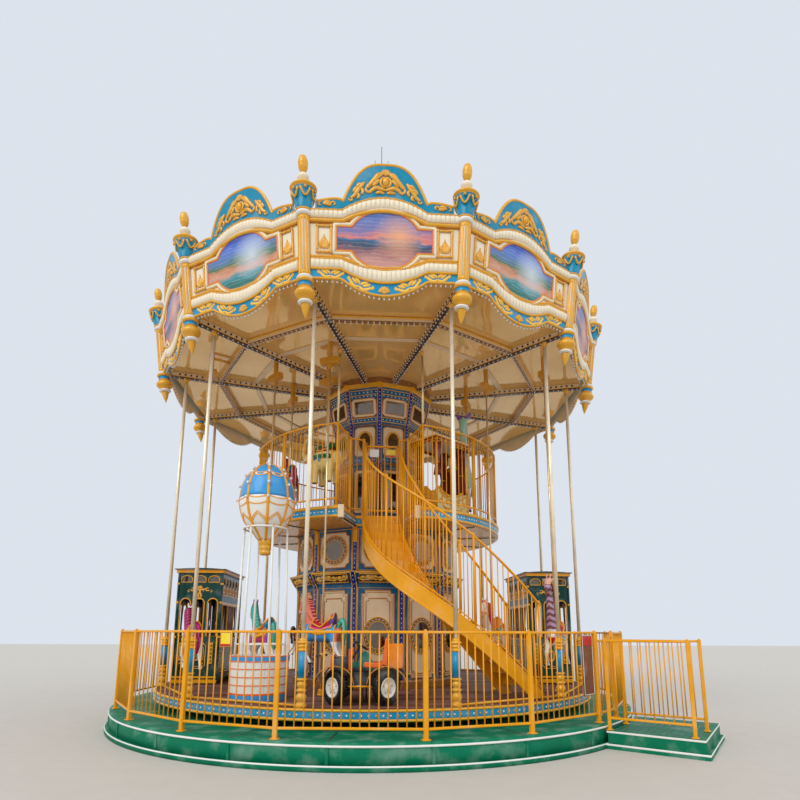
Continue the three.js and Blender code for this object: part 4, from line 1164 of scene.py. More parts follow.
def board_carving(shape):
    """Reliefs beside the posts, the carving on the crest and the scrolls of the blue band."""
    for u in (-RELIEF_U, RELIEF_U):
        relief_panel(shape, u)
    shape.copies(crest_carving(), [at(0, 2.07, 0.02)])
    shape.also(shoulder_carving().moved(shifted(0, 0, 0.02)))
    scroll = leaf_scroll()
    edge, blue = edge_curve("edge"), edge_curve("blue_top")
    middle = lambda u: (edge(u) + blue(u)) / 2
    for u, turn, size in ((0.37, 22, 1.25), (0.82, 3, 1.18)):
        for side in (-1, 1):
            shape.copies(scroll, [at(side * u, float(middle(u)) + 0.003, 0.022, side * turn, size)])
    shape.copies(shell_fan(0.1, 7, 0.046), [at(0, float(middle(0.0)) - 0.05, 0.024)])


def board_bulbs(shape, sizes):
    """Bulbs in brass sockets along the lower edge."""
    u = np.linspace(-1.07, 1.07, 300)
    path = joined(u, edge_curve("edge")(u) - 0.022, -0.012)
    bulbs = along(path, sizes.bulb_pitch * 0.86)
    balls(shape, bulbs - np.array([0, sizes.bulb, 0]), sizes.bulb, "bulb", 8, 6)
    balls(shape, bulbs + np.array([0, 0.006, 0]), 0.014, "brass", 6, 4, 1.2)


def canopy_board(sizes, picture_finish):
    """One bay's board in board coordinates."""
    shape = Shape()
    board_bands(shape, sizes.flute_pitch)
    board_mouldings(shape)
    board_picture(shape, picture_finish)
    board_carving(shape)
    board_bulbs(shape, sizes)
    return shape


POST_PROFILE = [
    (0.0, 0.0, 0.008, "smooth_gold"),
    (0.235, 0.074, 0, "pearl"),
    (0.245, 0.106, 0.012),
    (0.285, 0.1),
    (0.295, 0.085, 0, "smooth_gold"),
    (0.3, 0.088, 0.075),
    (0.49, 0.088),
    (0.5, 0.112, 0, "newel_blue"),
    (0.51, 0.11),
    (0.56, 0.11, 0, "smooth_gold"),
    (0.565, 0.125, 0.014),
    (0.615, 0.125, 0, "pearl"),
    (0.62, 0.118, 0.012),
    (0.66, 0.112),
    (0.672, 0.098),
]
URN_PROFILE = [
    (1.6, 0.1, 0, "pearl"),
    (1.61, 0.12, 0.012),
    (1.665, 0.12, 0, "smooth_gold"),
    (1.67, 0.126, 0.01),
    (1.7, 0.12, 0, "crest_blue"),
    (1.71, 0.118),
    (2.0, 0.186, 0, "smooth_gold"),
    (2.005, 0.186, 0.028),
    (2.075, 0.182),
    (2.095, 0.16),
    (2.11, 0.1, 0, "cream"),
    (2.13, 0.05),
    (2.16, 0.054, 0.04),
    (2.29, 0.05, 0, "smooth_gold"),
    (2.295, 0.03, 0.004),
    (2.34, 0.056, 0.006),
    (2.41, 0.074, 0.003),
    (2.48, 0.076, 0.003),
    (2.54, 0.058, 0.008),
    (2.575, 0.03, 0.004),
    (2.59, 0.0),
]


def canopy_post():
    """Turned post, in its own coordinates: z up the post from its tip."""
    shape = Shape()
    turned(shape, POST_PROFILE, 28)
    turned(shape, URN_PROFILE, 28)
    flutes = 12
    angle = ring(flutes * 8)
    groove = 0.098 - 0.014 * np.clip(np.cos(angle * flutes), 0, 1) ** 0.5
    shaft = ((0.66, 0.098), (0.72, 0.098), (0.735, groove), (1.535, groove), (1.55, 0.098), (1.62, 0.098))
    shape.loft(circles(shaft, angle), "smooth_gold", smooth=True)
    rod = Shape()
    bar(rod, (0, 0, 0.745), (0, 0, 1.525), 0.018, "pearl", 6)
    places = [at(0.082 * math.cos(a), 0.082 * math.sin(a), 0) for a in ring(flutes)]
    shape.copies(rod, places)
    swag = Shape()
    droop = np.linspace(-1, 1, 9)
    for k in range(6):
        a = 2 * math.pi * (k + 0.5 * droop * 0.78) / 6
        z = 1.965 - 0.115 * (1 - droop**2)
        radius = 0.196 - (2.0 - z) * 0.23
        path = np.stack([radius * np.cos(a), radius * np.sin(a), z], -1)
        wire(swag, path, 0.016, "smooth_gold")
    shape.also(swag)
    places = [at(0.19 * math.cos(a), 0.19 * math.sin(a), 1.97) for a in ring(6)]
    shape.copies(ball(0.024, "smooth_gold", 8, 5), places)
    return shape


def post_place(azimuth):
    """Function that stands a post on the leaning canopy at an azimuth."""
    c, s = math.cos(POST_LEAN), math.sin(POST_LEAN)

    def place(points):
        x, y, z = np.moveaxis(points, -1, 0)
        return about_z(np.stack([x, y * c - z * s - TIP_RADIUS, TIP_Z + y * s + z * c], -1), azimuth)

    return place


class CAROUSEL_OT_canopy(bpy.types.Operator):
    """Rounding boards with their carving, and the leaning posts between them"""

    bl_idname = "carousel.canopy"
    bl_label = "Rounding boards and posts"

    def execute(self, context):
        sizes = context.scene.carousel_sizes
        boards, post = [canopy_board(sizes, name) for name in ("picture", "picture_day")], canopy_post()
        for k in range(BAYS):
            number = f"{k + 1:02d}"
            boards[k % 2].moved(board_place(k * BAY)).object(
                "rounding_board_" + number, "carousel", "canopy_bay_" + number, slot="cream_paint",
            )
            post.moved(post_place((k - 0.5) * BAY)).object(
                "canopy_post_" + number, "carousel", slot="gold_paint",
            )
        return {"FINISHED"}


# Base and fence
ROUND_SIDES = 144
FENCE_RADIUS = 4.95
FENCE_LOW = 0.47
GATE_START = 42.2
GATE_END = 50.6
FENCE_FRONT = [  # azimuths of the fence posts from the gate to the left
    GATE_START, 24.4, 6.6, -15.6,
]
REST_BAYS = 17
REST_SPAN = 360 - GATE_END + FENCE_FRONT[-1]
FENCE_POSTS = FENCE_FRONT + [FENCE_FRONT[-1] - REST_SPAN * (k + 1) / REST_BAYS for k in range(REST_BAYS)]
FENCE_RUNS = [  # number of the first post of each run, and of the last post
    0, 5, 10, 15, 20,
]
STEP_MIDDLE = (GATE_START + GATE_END) / 2 + 5
STEP_TOP = top_of("entrance_step")
STEP_HALF = 0.88
STEP_REACH = 1.25
POST_WIDTH = 0.062
KNOB = 0.04


def base_plinth():
    """Round base: a lip, a riser with upright cover strips, white edge lines and a top of ribbed plates."""
    shape = Shape()
    r = BASE_RADIUS
    lip = [(0.0, r + 0.045, 0, "base_green"), (0.055, r + 0.05, 0.002), (0.068, r + 0.04), (0.07, r + 0.01)]
    turned(shape, lip, ROUND_SIDES)
    riser = [(0.002, r - 0.02, 0, "base_green"), (BASE_TOP - 0.006, r - 0.008), (BASE_TOP - 0.002, r - 0.02)]
    turned(shape, riser, ROUND_SIDES)
    strip_piece = Shape()
    block(strip_piece, (-0.02, -r - 0.002, 0.07), (0.02, -r + 0.03, BASE_TOP - 0.06), "base_green")
    round_copies(shape, strip_piece, 7.5, 24)
    for z, radius, size in ((BASE_TOP - 0.05, r - 0.004, 0.011), (0.066, r + 0.042, 0.009)):
        circle = polar(radius, np.arange(0, 360, 2.5), z)
        wire(shape, circle, (size, size * 1.4), "pearl", loop=True)
    seam = Shape()
    block(seam, (-0.012, -r + 0.02, BASE_TOP - 0.004), (0.012, -r + 0.66, BASE_TOP), "steel")
    round_copies(shape, seam, 7.5, 24)
    return shape


def entrance_step():
    """Low step: a slab with a lip whose inner edge follows the base, with white edge lines and grip
    strips."""
    shape = Shape()
    out = facing(STEP_MIDDLE, 0.0)
    across = np.linspace(-1, 1, 13)

    def slab(extra, low, high, inner, finish_name):
        half = STEP_HALF + extra
        near = np.column_stack([across * half, np.sqrt(inner**2 - (across * half) ** 2)])
        far = BASE_RADIUS + STEP_REACH + extra
        plan = np.vstack([
            near, [(half, far - 0.02), (half - 0.02, far), (0.02 - half, far), (-half, far - 0.02)],
        ])
        rows = [out(np.column_stack([plan[:, 0], np.full(len(plan), z), plan[:, 1]])) for z in (low, high)]
        shape.loft(rows, finish_name)

    slab(0.0, 0.0, STEP_TOP - 0.004, BASE_RADIUS + 0.052, "base_green")
    slab(0.05, 0.0, 0.07, BASE_RADIUS + 0.052, "base_green")
    far = BASE_RADIUS + STEP_REACH
    for z, grow in ((STEP_TOP - 0.018, 0.0), (0.062, 0.05)):
        half = STEP_HALF + grow
        path = out(
            np.array([
                (half, z, BASE_RADIUS - 0.04), (half, z, far + grow), (-half, z, far + grow),
                (-half, z, BASE_RADIUS - 0.04),
            ])
        )
        shape.loft(carry(path, oval(0.008, 0.014, 6), (0, 0, 1)), "pearl")
    grip = Shape()
    ends = [out(np.array([x, STEP_TOP - 0.003, 0.0])) for x in (-0.8, 0.8)]
    bar(grip, *ends, 0.012, "steel")
    step = out(np.array([0.0, 0.0, 1.0]))
    shape.copies(grip, spots([step * (BASE_RADIUS + 0.14 + 0.1 * k) for k in range(11)]))
    return shape


def panel(shape, start, end, low, high, ground, post=POST_WIDTH, rail=0.034, posts=(True, True)):
    """Fence panel between two points in plan: square posts with knobs, two rails and round uprights."""
    sizes = bpy.context.scene.carousel_sizes
    start, end = np.array([*start[:2], 0.0]), np.array([*end[:2], 0.0])
    run = end - start
    reach = np.linalg.norm(run)
    turn = math.degrees(math.atan2(run[1], run[0]))
    rail_piece = Shape()
    for z, tall in ((low, rail), (high, rail)):
        path = [(0, 0, z), (reach, 0, z)]
        rail_piece.loft(carry(path, square(rail, tall, 0.22), (0, 0, 1)), "fence_yellow")
    count = max(2, round(reach / sizes.bar_pitch))
    upright = Shape()
    bar(upright, (0, 0, low), (0, 0, high), sizes.bar, "fence_yellow", 8)
    rail_piece.copies(upright, spots([(reach * k / count, 0, 0) for k in range(1, count)]))
    shape.copies(rail_piece, [at(*start[:2], 0, turn)])
    one = Shape()
    tube = square(post, post, 0.16)
    rows = [layer(tube, z) for z in (ground + 0.006, high + KNOB * 0.5)]
    one.loft(rows, "fence_yellow")
    foot = square(post * 1.9, post * 1.9, 0.2)
    one.loft([layer(foot * k, ground + z) for k, z in ((1, 0.0), (1, 0.008), (0.94, 0.011))], "fence_yellow")
    r = post * 0.5
    knob = [
        (high + KNOB * 0.5, r * 0.9, 0, "fence_yellow"), (high + KNOB * 0.56, r * 0.6, r * 0.28),
        (high + KNOB, 0.0),
    ]
    turned(one, knob, 10)
    where = [p for p, wanted in ((start, posts[0]), (end, posts[1])) if wanted]
    shape.copies(one, [at(*p[:2], 0, turn) for p in where])


def gate_arms(shape, hinge, post, foot, high):
    """Two arms from a fixed post that hold a gate's pivot post under and over it."""
    hinge, post = np.array([*hinge[:2], 0.0]), np.array([*post[:2], 0.0])
    end = hinge + unit(hinge - post) * 0.015
    for z in (foot - 0.0153, high + 0.0553):
        path = [post + (0, 0, z), end + (0, 0, z)]
        shape.loft(carry(path, square(0.03, 0.028, 0.2), (0, 0, 1)), "fence_yellow")


HINGE_GAP = 0.071
LOCK_GAP = 0.008
GATE_POINT = polar(FENCE_RADIUS, GATE_END)
GATE_STOP = polar(FENCE_RADIUS, GATE_START)
GATE_WAY = unit(GATE_STOP - GATE_POINT)
ENTRANCE_HINGE = GATE_POINT + GATE_WAY * HINGE_GAP
GATE_FOOT = 0.44
GATE_HIGH = 1.55


def fence_run(first, last):
    """Panels of one run of the fence. The last run also holds the arms of the gate."""
    shape = Shape()
    for k in range(first, last):
        trim = math.degrees((POST_WIDTH * 0.5 + 0.006) / FENCE_RADIUS) if k == first and first > 0 else 0
        start, end = polar(FENCE_RADIUS, FENCE_POSTS[k] - trim), polar(FENCE_RADIUS, FENCE_POSTS[k + 1])
        panel(shape, start, end, FENCE_LOW, FENCE_HIGH, BASE_TOP, posts=(k == first and first == 0, True))
    if last == FENCE_RUNS[-1]:
        gate_arms(shape, ENTRANCE_HINGE, GATE_POINT, GATE_FOOT, GATE_HIGH)
    return shape


BARE_PLATES = (  # azimuth, height, half sides, side the band is on, field and edge
    (-24.6, 1.57, 0.095, 0.1, -1, "lemon", "red_paint"),
    (38.8, 1.2, 0.15, 0.44, 1, "brown", "pearl"),
)


def bare_plates():
    """Blank plates that hang on the fence: a small yellow one with a red edge and a tall brown one."""
    shape = Shape()
    for azimuth, v, a, b, side, field, edge in BARE_PLATES:
        one = Shape()
        plate(one, outline(a, b, rounded(0.012)), v, 0.03, field, back=0.018)
        bead(one, outline(a - 0.012, b - 0.012, rounded(0.01)), v, 0.03, 0.0045, edge)
        plate(one, outline(a - 0.006, b * 0.16), v + b * 0.8 * side, 0.033, "red_paint", back=0.02)
        shape.also(one.moved(facing(azimuth, FENCE_RADIUS)))
    return shape


class CAROUSEL_OT_base(bpy.types.Operator):
    """Round base, the entrance step and the pedestal under the platform"""

    bl_idname = "carousel.base"
    bl_label = "Base and entrance step"

    def execute(self, context):
        base_plinth().object("base_ring", "base", "base_plinth", slot="base_green")
        entrance_step().object("entrance_slab", "base", "entrance_step", slot="base_green")
        pedestal = Shape()
        profile = [
            (BASE_TOP, 0.45, 0, "steel"), (0.38, 0.45), (0.39, 0.4), (0.55, 0.36), (0.552, 0.12),
            (0.615, 0.118),
        ]
        turned(pedestal, profile, 48)
        pedestal.object("turntable_pedestal", "base", "centre_pedestal", slot="steel")
        return {"FINISHED"}


class CAROUSEL_OT_fence(bpy.types.Operator):
    """Fence on the base, the barriers of the entrance lane, the gate and two blank plates"""

    bl_idname = "carousel.fence"
    bl_label = "Fence and gate"

    def execute(self, context):
        for k, (first, last) in enumerate(zip(FENCE_RUNS, FENCE_RUNS[1:])):
            number = f"{k + 1:02d}"
            fence_run(first, last).object(
                "railing_run_" + number, "base", "fence_run_" + number, slot="yellow_paint",
            )
        out = polar(1.0, STEP_MIDDLE)
        for side, azimuth in (("near", GATE_START), ("far", GATE_END)):
            start = polar(FENCE_RADIUS, azimuth) + out * 0.152
            shape = Shape()
            panel(shape, start, start + out * (STEP_REACH - 0.12), 0.42, 1.55, STEP_TOP, post=0.05)
            shape.object("barrier_" + side, "base", "lane_barrier_" + side, slot="yellow_paint")
        shape = Shape()
        panel(
            shape, ENTRANCE_HINGE, GATE_STOP + GATE_WAY * (LOCK_GAP - HINGE_GAP), FENCE_LOW, GATE_HIGH,
            GATE_FOOT, post=0.034,
        )
        shape.object("gate_leaf", "entrance_gate", "entrance_gate", slot="yellow_paint")
        bare_plates().object("blank_plates", "base", slot="yellow_paint")
        return {"FINISHED"}


# Platform and the posts on its rim
SKIRT_REACH = 0.4
NEWEL_RADIUS = 4.24
NEWEL_TOP = 1.55
INNER_RING = 2.745
OUTER_RING = 3.85
POLE_BORE = 0.0195
POLE_FOOT = 0.53
POLE_HEAD = 6.75
INNER_HORSES = 3
JUMPERS = (  # azimuth and height of each jumping horse
    (-20, 1.62), (-48, 1.56), (52, 1.6), (-60, 1.48), (150, 1.62), (-150, 1.54),
)


def pole_spot(azimuth, k):
    """Place of a jumping horse's pole: the first three hang on the inner batten."""
    ring_radius = INNER_RING / math.cos(math.radians(azimuth - BAY * round(azimuth / BAY)))
    return polar(ring_radius if k < INNER_HORSES else OUTER_RING, azimuth)


def jewels(shape, path, pitch, size, pattern):
    """Round jewels along a path, their finishes repeating in a pattern."""
    points = along(path, pitch)
    for k, name in enumerate(pattern):
        balls(shape, points[k :: len(pattern)], size, name, 6, 5)


def socket_ring(shape, spot, low, high, r_foot, r_head, bore, finish_name):
    """Round socket with a bore: a closed loop of sections outside and inside."""
    profile = [
        (low, r_foot), (low + 0.012, r_foot), (low + 0.03, r_head + 0.006), (high - 0.012, r_head),
        (high, r_head - 0.005), (high, bore), (low, bore),
    ]
    shape.loft(circles(profile, ring(20), spot), finish_name, loop=True)


def rim_ring(shape, low, high, radius, bulge, finish_name):
    """Closed ring round the platform, its outside bulging as sin(pi * share)."""
    share = np.linspace(0, 1, 7)
    outside = np.column_stack([
        low + (high - low) * share, radius - 0.006 * (share == 0) + bulge * np.sin(np.pi * share),
    ])
    section = np.vstack([outside, [(high, radius - 0.03), (low, radius - 0.03)]])
    shape.loft(circles(section, ring(180)), finish_name, loop=True)


def platform():
    """Thin floor with a dark skirt under it, a jewelled rim in three rings and the sockets of the poles."""
    shape = Shape()
    r = DECK_RADIUS
    floor = [
        (DECK_TOP - 0.03, r - 0.05, 0, "deck_floor"), (DECK_TOP - 0.002, r - 0.03), (DECK_TOP, r - 0.035),
    ]
    turned(shape, floor, ROUND_SIDES)
    skirt = (
        (DECK_LOW, r - 0.14), (DECK_LOW + 0.055, r - 0.05), (DECK_TOP - 0.031, r - 0.05),
        (DECK_TOP - 0.031, r - SKIRT_REACH), (DECK_LOW, r - SKIRT_REACH),
    )
    shape.loft(circles(skirt, ring(96)), "black", loop=True)
    rim_ring(shape, 0.592, DECK_TOP + 0.001, r - 0.018, 0.014, "smooth_gold")
    rim_ring(shape, 0.5, 0.594, r - 0.02, 0.0, "band_blue")
    rim_ring(shape, 0.462, 0.503, r - 0.019, 0.014, "smooth_gold")
    circle = closed(polar(r - 0.017, np.arange(0, 360, 1.5), 0.549))
    jewels(shape, circle, 0.1, 0.015, ("pearl", "pearl", "smooth_gold"))
    for k, (azimuth, _) in enumerate(JUMPERS):
        socket_ring(
            shape, pole_spot(azimuth, k), DECK_TOP, DECK_TOP + 0.1, 0.062, 0.043, POLE_BORE, "fence_yellow",
        )
    return shape


class CAROUSEL_OT_platform(bpy.types.Operator):
    """Turning floor, its jewelled rim and the sockets of the poles"""

    bl_idname = "carousel.platform"
    bl_label = "Platform"

    def execute(self, context):
        platform().object("turning_floor", "carousel", "platform_deck", slot="floor")
        return {"FINISHED"}


def newel():
    """Turned post with a brass pole on it, about the origin."""
    shape = Shape()
    low = DECK_TOP
    profile = [
        (low, 0.082, 0, "smooth_gold"),
        (low + 0.03, 0.082, 0.006),
        (low + 0.06, 0.064),
        (low + 0.072, 0.054, 0.026),
        (low + 0.2, 0.048),
        (low + 0.21, 0.06, 0.014),
        (low + 0.25, 0.06),
        (low + 0.26, 0.046, 0.02),
        (low + 0.355, 0.048),
        (low + 0.365, 0.066, 0.008),
        (low + 0.395, 0.066),
        (low + 0.4, 0.059, 0, "newel_blue"),
        (NEWEL_TOP - 0.155, 0.059, 0, "smooth_gold"),
        (NEWEL_TOP - 0.15, 0.064, 0.01),
        (NEWEL_TOP - 0.12, 0.064),
        (NEWEL_TOP - 0.11, 0.052, 0.016),
        (NEWEL_TOP - 0.055, 0.056),
        (NEWEL_TOP - 0.045, 0.074, 0.01),
        (NEWEL_TOP - 0.015, 0.074),
        (NEWEL_TOP - 0.005, 0.05, 0.01),
        (NEWEL_TOP + 0.03, 0.034),
        # pole in the paler copy of the brass: painted light
        (NEWEL_TOP + 0.032, 0.031, 0, "pale_brass"),
    ]
    turned(shape, profile, 20)
    turned(shape, [(NEWEL_TOP + 0.03, 0.0325, 0, "pale_brass"), (SWEEP_LOW - 0.05, 0.0325)], 16)
    head = [
        (SWEEP_LOW - 0.09, 0.034, 0, "smooth_gold"), (SWEEP_LOW - 0.06, 0.036, 0.012),
        (SWEEP_LOW - 0.02, 0.05), (SWEEP_LOW - 0.001, 0.055),
    ]
    turned(shape, head, 16)
    return shape


class CAROUSEL_OT_posts(bpy.types.Operator):
    """Turned posts on the platform's rim, with brass poles up to the sweeps and kerb rails between them"""

    bl_idname = "carousel.posts"
    bl_label = "Rim posts"

    def execute(self, context):
        post = newel()
        for quarter in range(4):
            azimuths = [(quarter * 3 + k + 0.5) * BAY for k in range(3)]
            shape = Shape()
            places = [polar(NEWEL_RADIUS, azimuth) for azimuth in azimuths]
            rise = np.array([0, 0, DECK_TOP + 0.022])
            shape.copies(post, [at(*p[:2]) for p in places])
            for a, b in zip(places, places[1:]):
                bar(shape, a + rise, b + rise, 0.04, "smooth_gold", 10)
            number = f"{quarter + 1:02d}"
            shape.object("rim_posts_" + number, "carousel", "rim_quarter_" + number, slot="turquoise_paint")
        return {"FINISHED"}


# Core
CORE_RADIUS = 1.73
UPPER_CORE = 1.02
UPPER_SIDES = 10
UPPER_HALF = math.pi / UPPER_SIDES
UPPER_WIDE = 1.26
CORNICE_HIGH = 2.8
FIELD_V = 1.635
MIRROR_V = 1.61
DRUM_V = 3.24
TALL_V = 4.59
ARCH_V = 5.69
HEAD_V = 0.22


def corner_strip(shape, levels, half, thick, finish_name, fall=math.tan(HALF_BAY)):
    """Strip over a corner of the core: levels are rows of (height, how far out)."""
    u = np.array([-half, 0, half, half, 0, -half])
    w = -np.abs(u) * fall + np.array([thick, thick, thick, -0.01, -0.01, -0.01])
    shape.loft([np.column_stack([u, np.full(6, v), w + out]) for v, out in levels], finish_name)


def corner_trim(levels, stud_pitch=0.09, wide=1.0, fall=math.tan(HALF_BAY)):
    """Blue strip with white studs between gold edges, on a corner."""
    shape = Shape()
    corner_strip(shape, levels, 0.034 * wide, 0.012, "strip_blue")
    for side in (-1, 1):
        path = [(side * 0.043 * wide, v, out + 0.006 - 0.043 * wide * fall) for v, out in levels]
        wire(shape, path, 0.011, "smooth_gold", (1, 0, 0))
    path = np.array([(0, v, out + 0.014) for v, out in levels])
    balls(shape, along(path, stud_pitch), 0.011, "pearl", 6, 5)
    return shape


def bulb_ring(shape, a, b, v, w, count):
    """Ring of small bulbs round a mirror."""
    angle = ring(count)
    points = np.column_stack([a * np.cos(angle), v + b * np.sin(angle), np.full(count, w)])
    balls(shape, points, 0.014, "bulb", 6, 5)


def framed_mirror(shape, a, b, v, w, border, bulbs=0):
    """Oval mirror in a moulded ring, which may carry bulbs."""
    plate(shape, ellipse(a, b), v, w + 0.012, "bronze", back=w - 0.01)
    bead(shape, ellipse(a, b), v, w + 0.01, 0.012, "smooth_gold")
    bead(shape, ellipse(a - border, b - border), v, w + 0.014, 0.01, "gold")
    plate(shape, ellipse(a - border, b - border), v, w + 0.016, "mirror", back=w)
    if bulbs:
        bulb_ring(shape, a - border / 2, b - border / 2, v, w + 0.022, bulbs)


def line_box(shape, a, low, high, w, size=0.009):
    """Gold line round a field between two heights."""
    bead(shape, outline(a, (high - low) / 2), (low + high) / 2, w, size, "smooth_gold")


def lower_face():
    """One of the twelve faces of the lower core, from the platform to the cornice."""
    shape = Shape()
    line_box(shape, 0.386, 0.81, 2.5, 0.004, 0.011)
    outer, inner = outline(0.306, 0.815, stepped(0.062)), outline(0.226, 0.7, stepped(0.05))
    plate(shape, outer, FIELD_V, 0.014, "core_cream")
    bead(shape, outer, FIELD_V, 0.013, 0.014, "deep_gold")
    bead(shape, outline(0.27, 0.775, stepped(0.062)), FIELD_V, 0.014, 0.008, "deep_gold")
    bead(shape, inner, 1.6, 0.015, 0.012, "deep_gold")
    framed_mirror(shape, 0.272, 0.335, MIRROR_V, 0.018, 0.075, 22)
    return shape


def drum_face():
    """One face above the cornice, with a round mirror among bulbs."""
    shape = Shape()
    line_box(shape, 0.39, 2.835, 3.64, 0.004, 0.012)
    frame_line = outline(0.335, 0.345, notched(0.08))
    plate(shape, frame_line, DRUM_V, 0.014, "core_cream")
    bead(shape, frame_line, DRUM_V, 0.013, 0.013, "deep_gold")
    framed_mirror(shape, 0.285, 0.285, DRUM_V, 0.016, 0.075, 20)
    return shape


def cornice_place(points):
    """Carries the cornice's own points to it and leans them outwards."""
    u, v, w = np.moveaxis(points, -1, 0)
    return np.stack([u, 2.615 + v * 0.88 - w * 0.4, 0.04 + v * 0.55 + w], -1)


def cornice_face(sizes):
    """Carved strip of one face of the cornice, with bulbs under it."""
    shape = Shape()
    strip_shape = Shape()
    plate(strip_shape, outline(0.36, 0.085), 0.085, 0.03, "umber", back=0.0)
    bead(strip_shape, outline(0.36, 0.085), 0.085, 0.03, 0.012, "smooth_gold")
    scroll = leaf_scroll()
    strip_shape.copies(scroll, [at(-0.24 + 0.24 * k, 0.088, 0.03, 8 * (-1) ** k, 0.8) for k in range(3)])
    strip_shape.copies(shell_fan(0.06, 5, 0.03), [at(-0.12 + 0.24 * k, 0.06, 0.032) for k in range(2)])
    shape.also(strip_shape.moved(cornice_place))
    path = np.array([(-0.36, 2.6, 0.045), (0.36, 2.6, 0.045)])
    balls(shape, along(path, 0.075), sizes.bulb * 0.9, "bulb", 6, 5)
    return shape


def lower_core_pieces(sizes):
    """The lower core and the drum over it, as two shapes."""
    apothem = CORE_RADIUS * math.cos(HALF_BAY)
    core, drum = Shape(), Shape()
    foot = [
        (DECK_TOP + 0.001, CORE_RADIUS + 0.035, 0, "bronze"), (0.75, CORE_RADIUS + 0.035),
        (0.79, CORE_RADIUS + 0.01),
    ]
    faceted(core, foot)
    faceted(core, [(0.78, CORE_RADIUS, 0, "core_teal"), (CORNICE_LOW, CORE_RADIUS)])
    round_copies(core, lower_face().moved(facing(0, apothem)))
    strip_shape = corner_trim([(0.78, 0), (1.6, 0), (2.46, 0), (2.55, 0.02), (2.6, 0.06)])
    round_copies(core, strip_shape.moved(facing(0, CORE_RADIUS)), BAY / 2)
    profile = [
        (CORNICE_LOW, CORE_RADIUS + 0.02, 0, "core_teal"),
        (CORNICE_LOW + 0.02, CORE_RADIUS + 0.06),
        (CORNICE_HIGH - 0.03, CORE_RADIUS + 0.15),
        (CORNICE_HIGH - 0.028, CORE_RADIUS + 0.17, 0, "smooth_gold"),
        (CORNICE_HIGH, CORE_RADIUS + 0.17),
        (CORNICE_HIGH + 0.02, CORE_RADIUS + 0.04, 0, "core_teal"),
        (CORNICE_HIGH + 0.021, CORE_RADIUS + 0.02),
        (LANDING_LOW - 0.001, CORE_RADIUS + 0.02),
    ]
    faceted(drum, profile)
    round_copies(drum, drum_face().moved(facing(0, apothem + 0.02)))
    round_copies(drum, cornice_face(sizes).moved(facing(0, apothem)))
    upper = corner_trim([
        (2.6, 0.062), (2.7, 0.12), (2.79, 0.172), (2.82, 0.05), (2.86, 0.022), (3.38, 0.022),
    ])
    head = [(3.38, 0.022), (3.62, 0.022), (3.66, 0.06), (3.67, 0.06)]
    corner_strip(upper, head, 0.046, 0.016, "fence_yellow")
    round_copies(drum, upper.moved(facing(0, CORE_RADIUS)), BAY / 2)
    return core, drum


def upper_face():
    """One face of the upper core: a tall framed mirror, a jewelled band, and an arched mirror in a cream
    field."""
    shape = Shape()
    line_box(shape, 0.205, 4.08, 5.1, 0.004)
    plate(shape, outline(0.17, 0.46, rounded(0.05)), TALL_V, 0.014, "core_cream")
    bead(shape, outline(0.17, 0.46, rounded(0.05)), TALL_V, 0.013, 0.008, "smooth_gold")
    plate(shape, outline(0.115, 0.4, rounded(0.03)), TALL_V, 0.02, "mirror")
    bead(shape, outline(0.115, 0.4, rounded(0.03)), TALL_V, 0.018, 0.008, "gold")
    plate(shape, outline(0.225, 0.022), 5.19, 0.02, "bronze")
    jewels(shape, np.array([(-0.2, 5.28, 0.006), (0.2, 5.28, 0.006)]), 0.066, 0.012, ("pearl",))
    plate(shape, outline(0.178, 0.32, rounded(0.07)), ARCH_V, 0.014, "core_cream")
    bead(shape, outline(0.178, 0.32, rounded(0.07)), ARCH_V, 0.013, 0.008, "smooth_gold")
    framed_mirror(shape, 0.13, 0.235, 5.68, 0.014, 0.02)
    plate(shape, outline(0.225, 0.016), 6.06, 0.018, "bronze")
    return shape


def head_face():
    """One leaning face of the head: a cream frame round a mirror between rows of jewels. Heights count from
    6.21."""
    shape = Shape()
    wide = 0.248
    for v, a, pitch in ((-0.045, wide - 0.02, 0.066), (0.462, wide, 0.07), (0.55, wide + 0.01, 0.075)):
        jewels(shape, np.array([(-a, v, 0.004), (a, v, 0.004)]), pitch, 0.013, ("pearl",))
    for v, a in ((-0.09, wide - 0.02), (0.0, wide - 0.01), (0.495, wide + 0.03), (0.6, wide + 0.04)):
        plate(shape, outline(a, 0.007), v, 0.012, "smooth_gold")
    frame_line, glass = outline(0.222, 0.195, ((0, 0.05), (0.05, 0))), outline(0.165, 0.135)
    plate(shape, frame_line, HEAD_V, 0.022, "core_cream")
    bead(shape, frame_line, HEAD_V, 0.018, 0.011, "deep_gold")
    plate(shape, glass, HEAD_V, 0.026, "mirror")
    bead(shape, glass, HEAD_V, 0.024, 0.012, "deep_gold")
    return shape


HEAD_FLARE = (  # heights and radii
    (CORE_HEAD_LOW, UPPER_CORE), (6.21, 1.07), (6.84, 1.2), (6.87, 1.25), (6.929, 1.25),
)


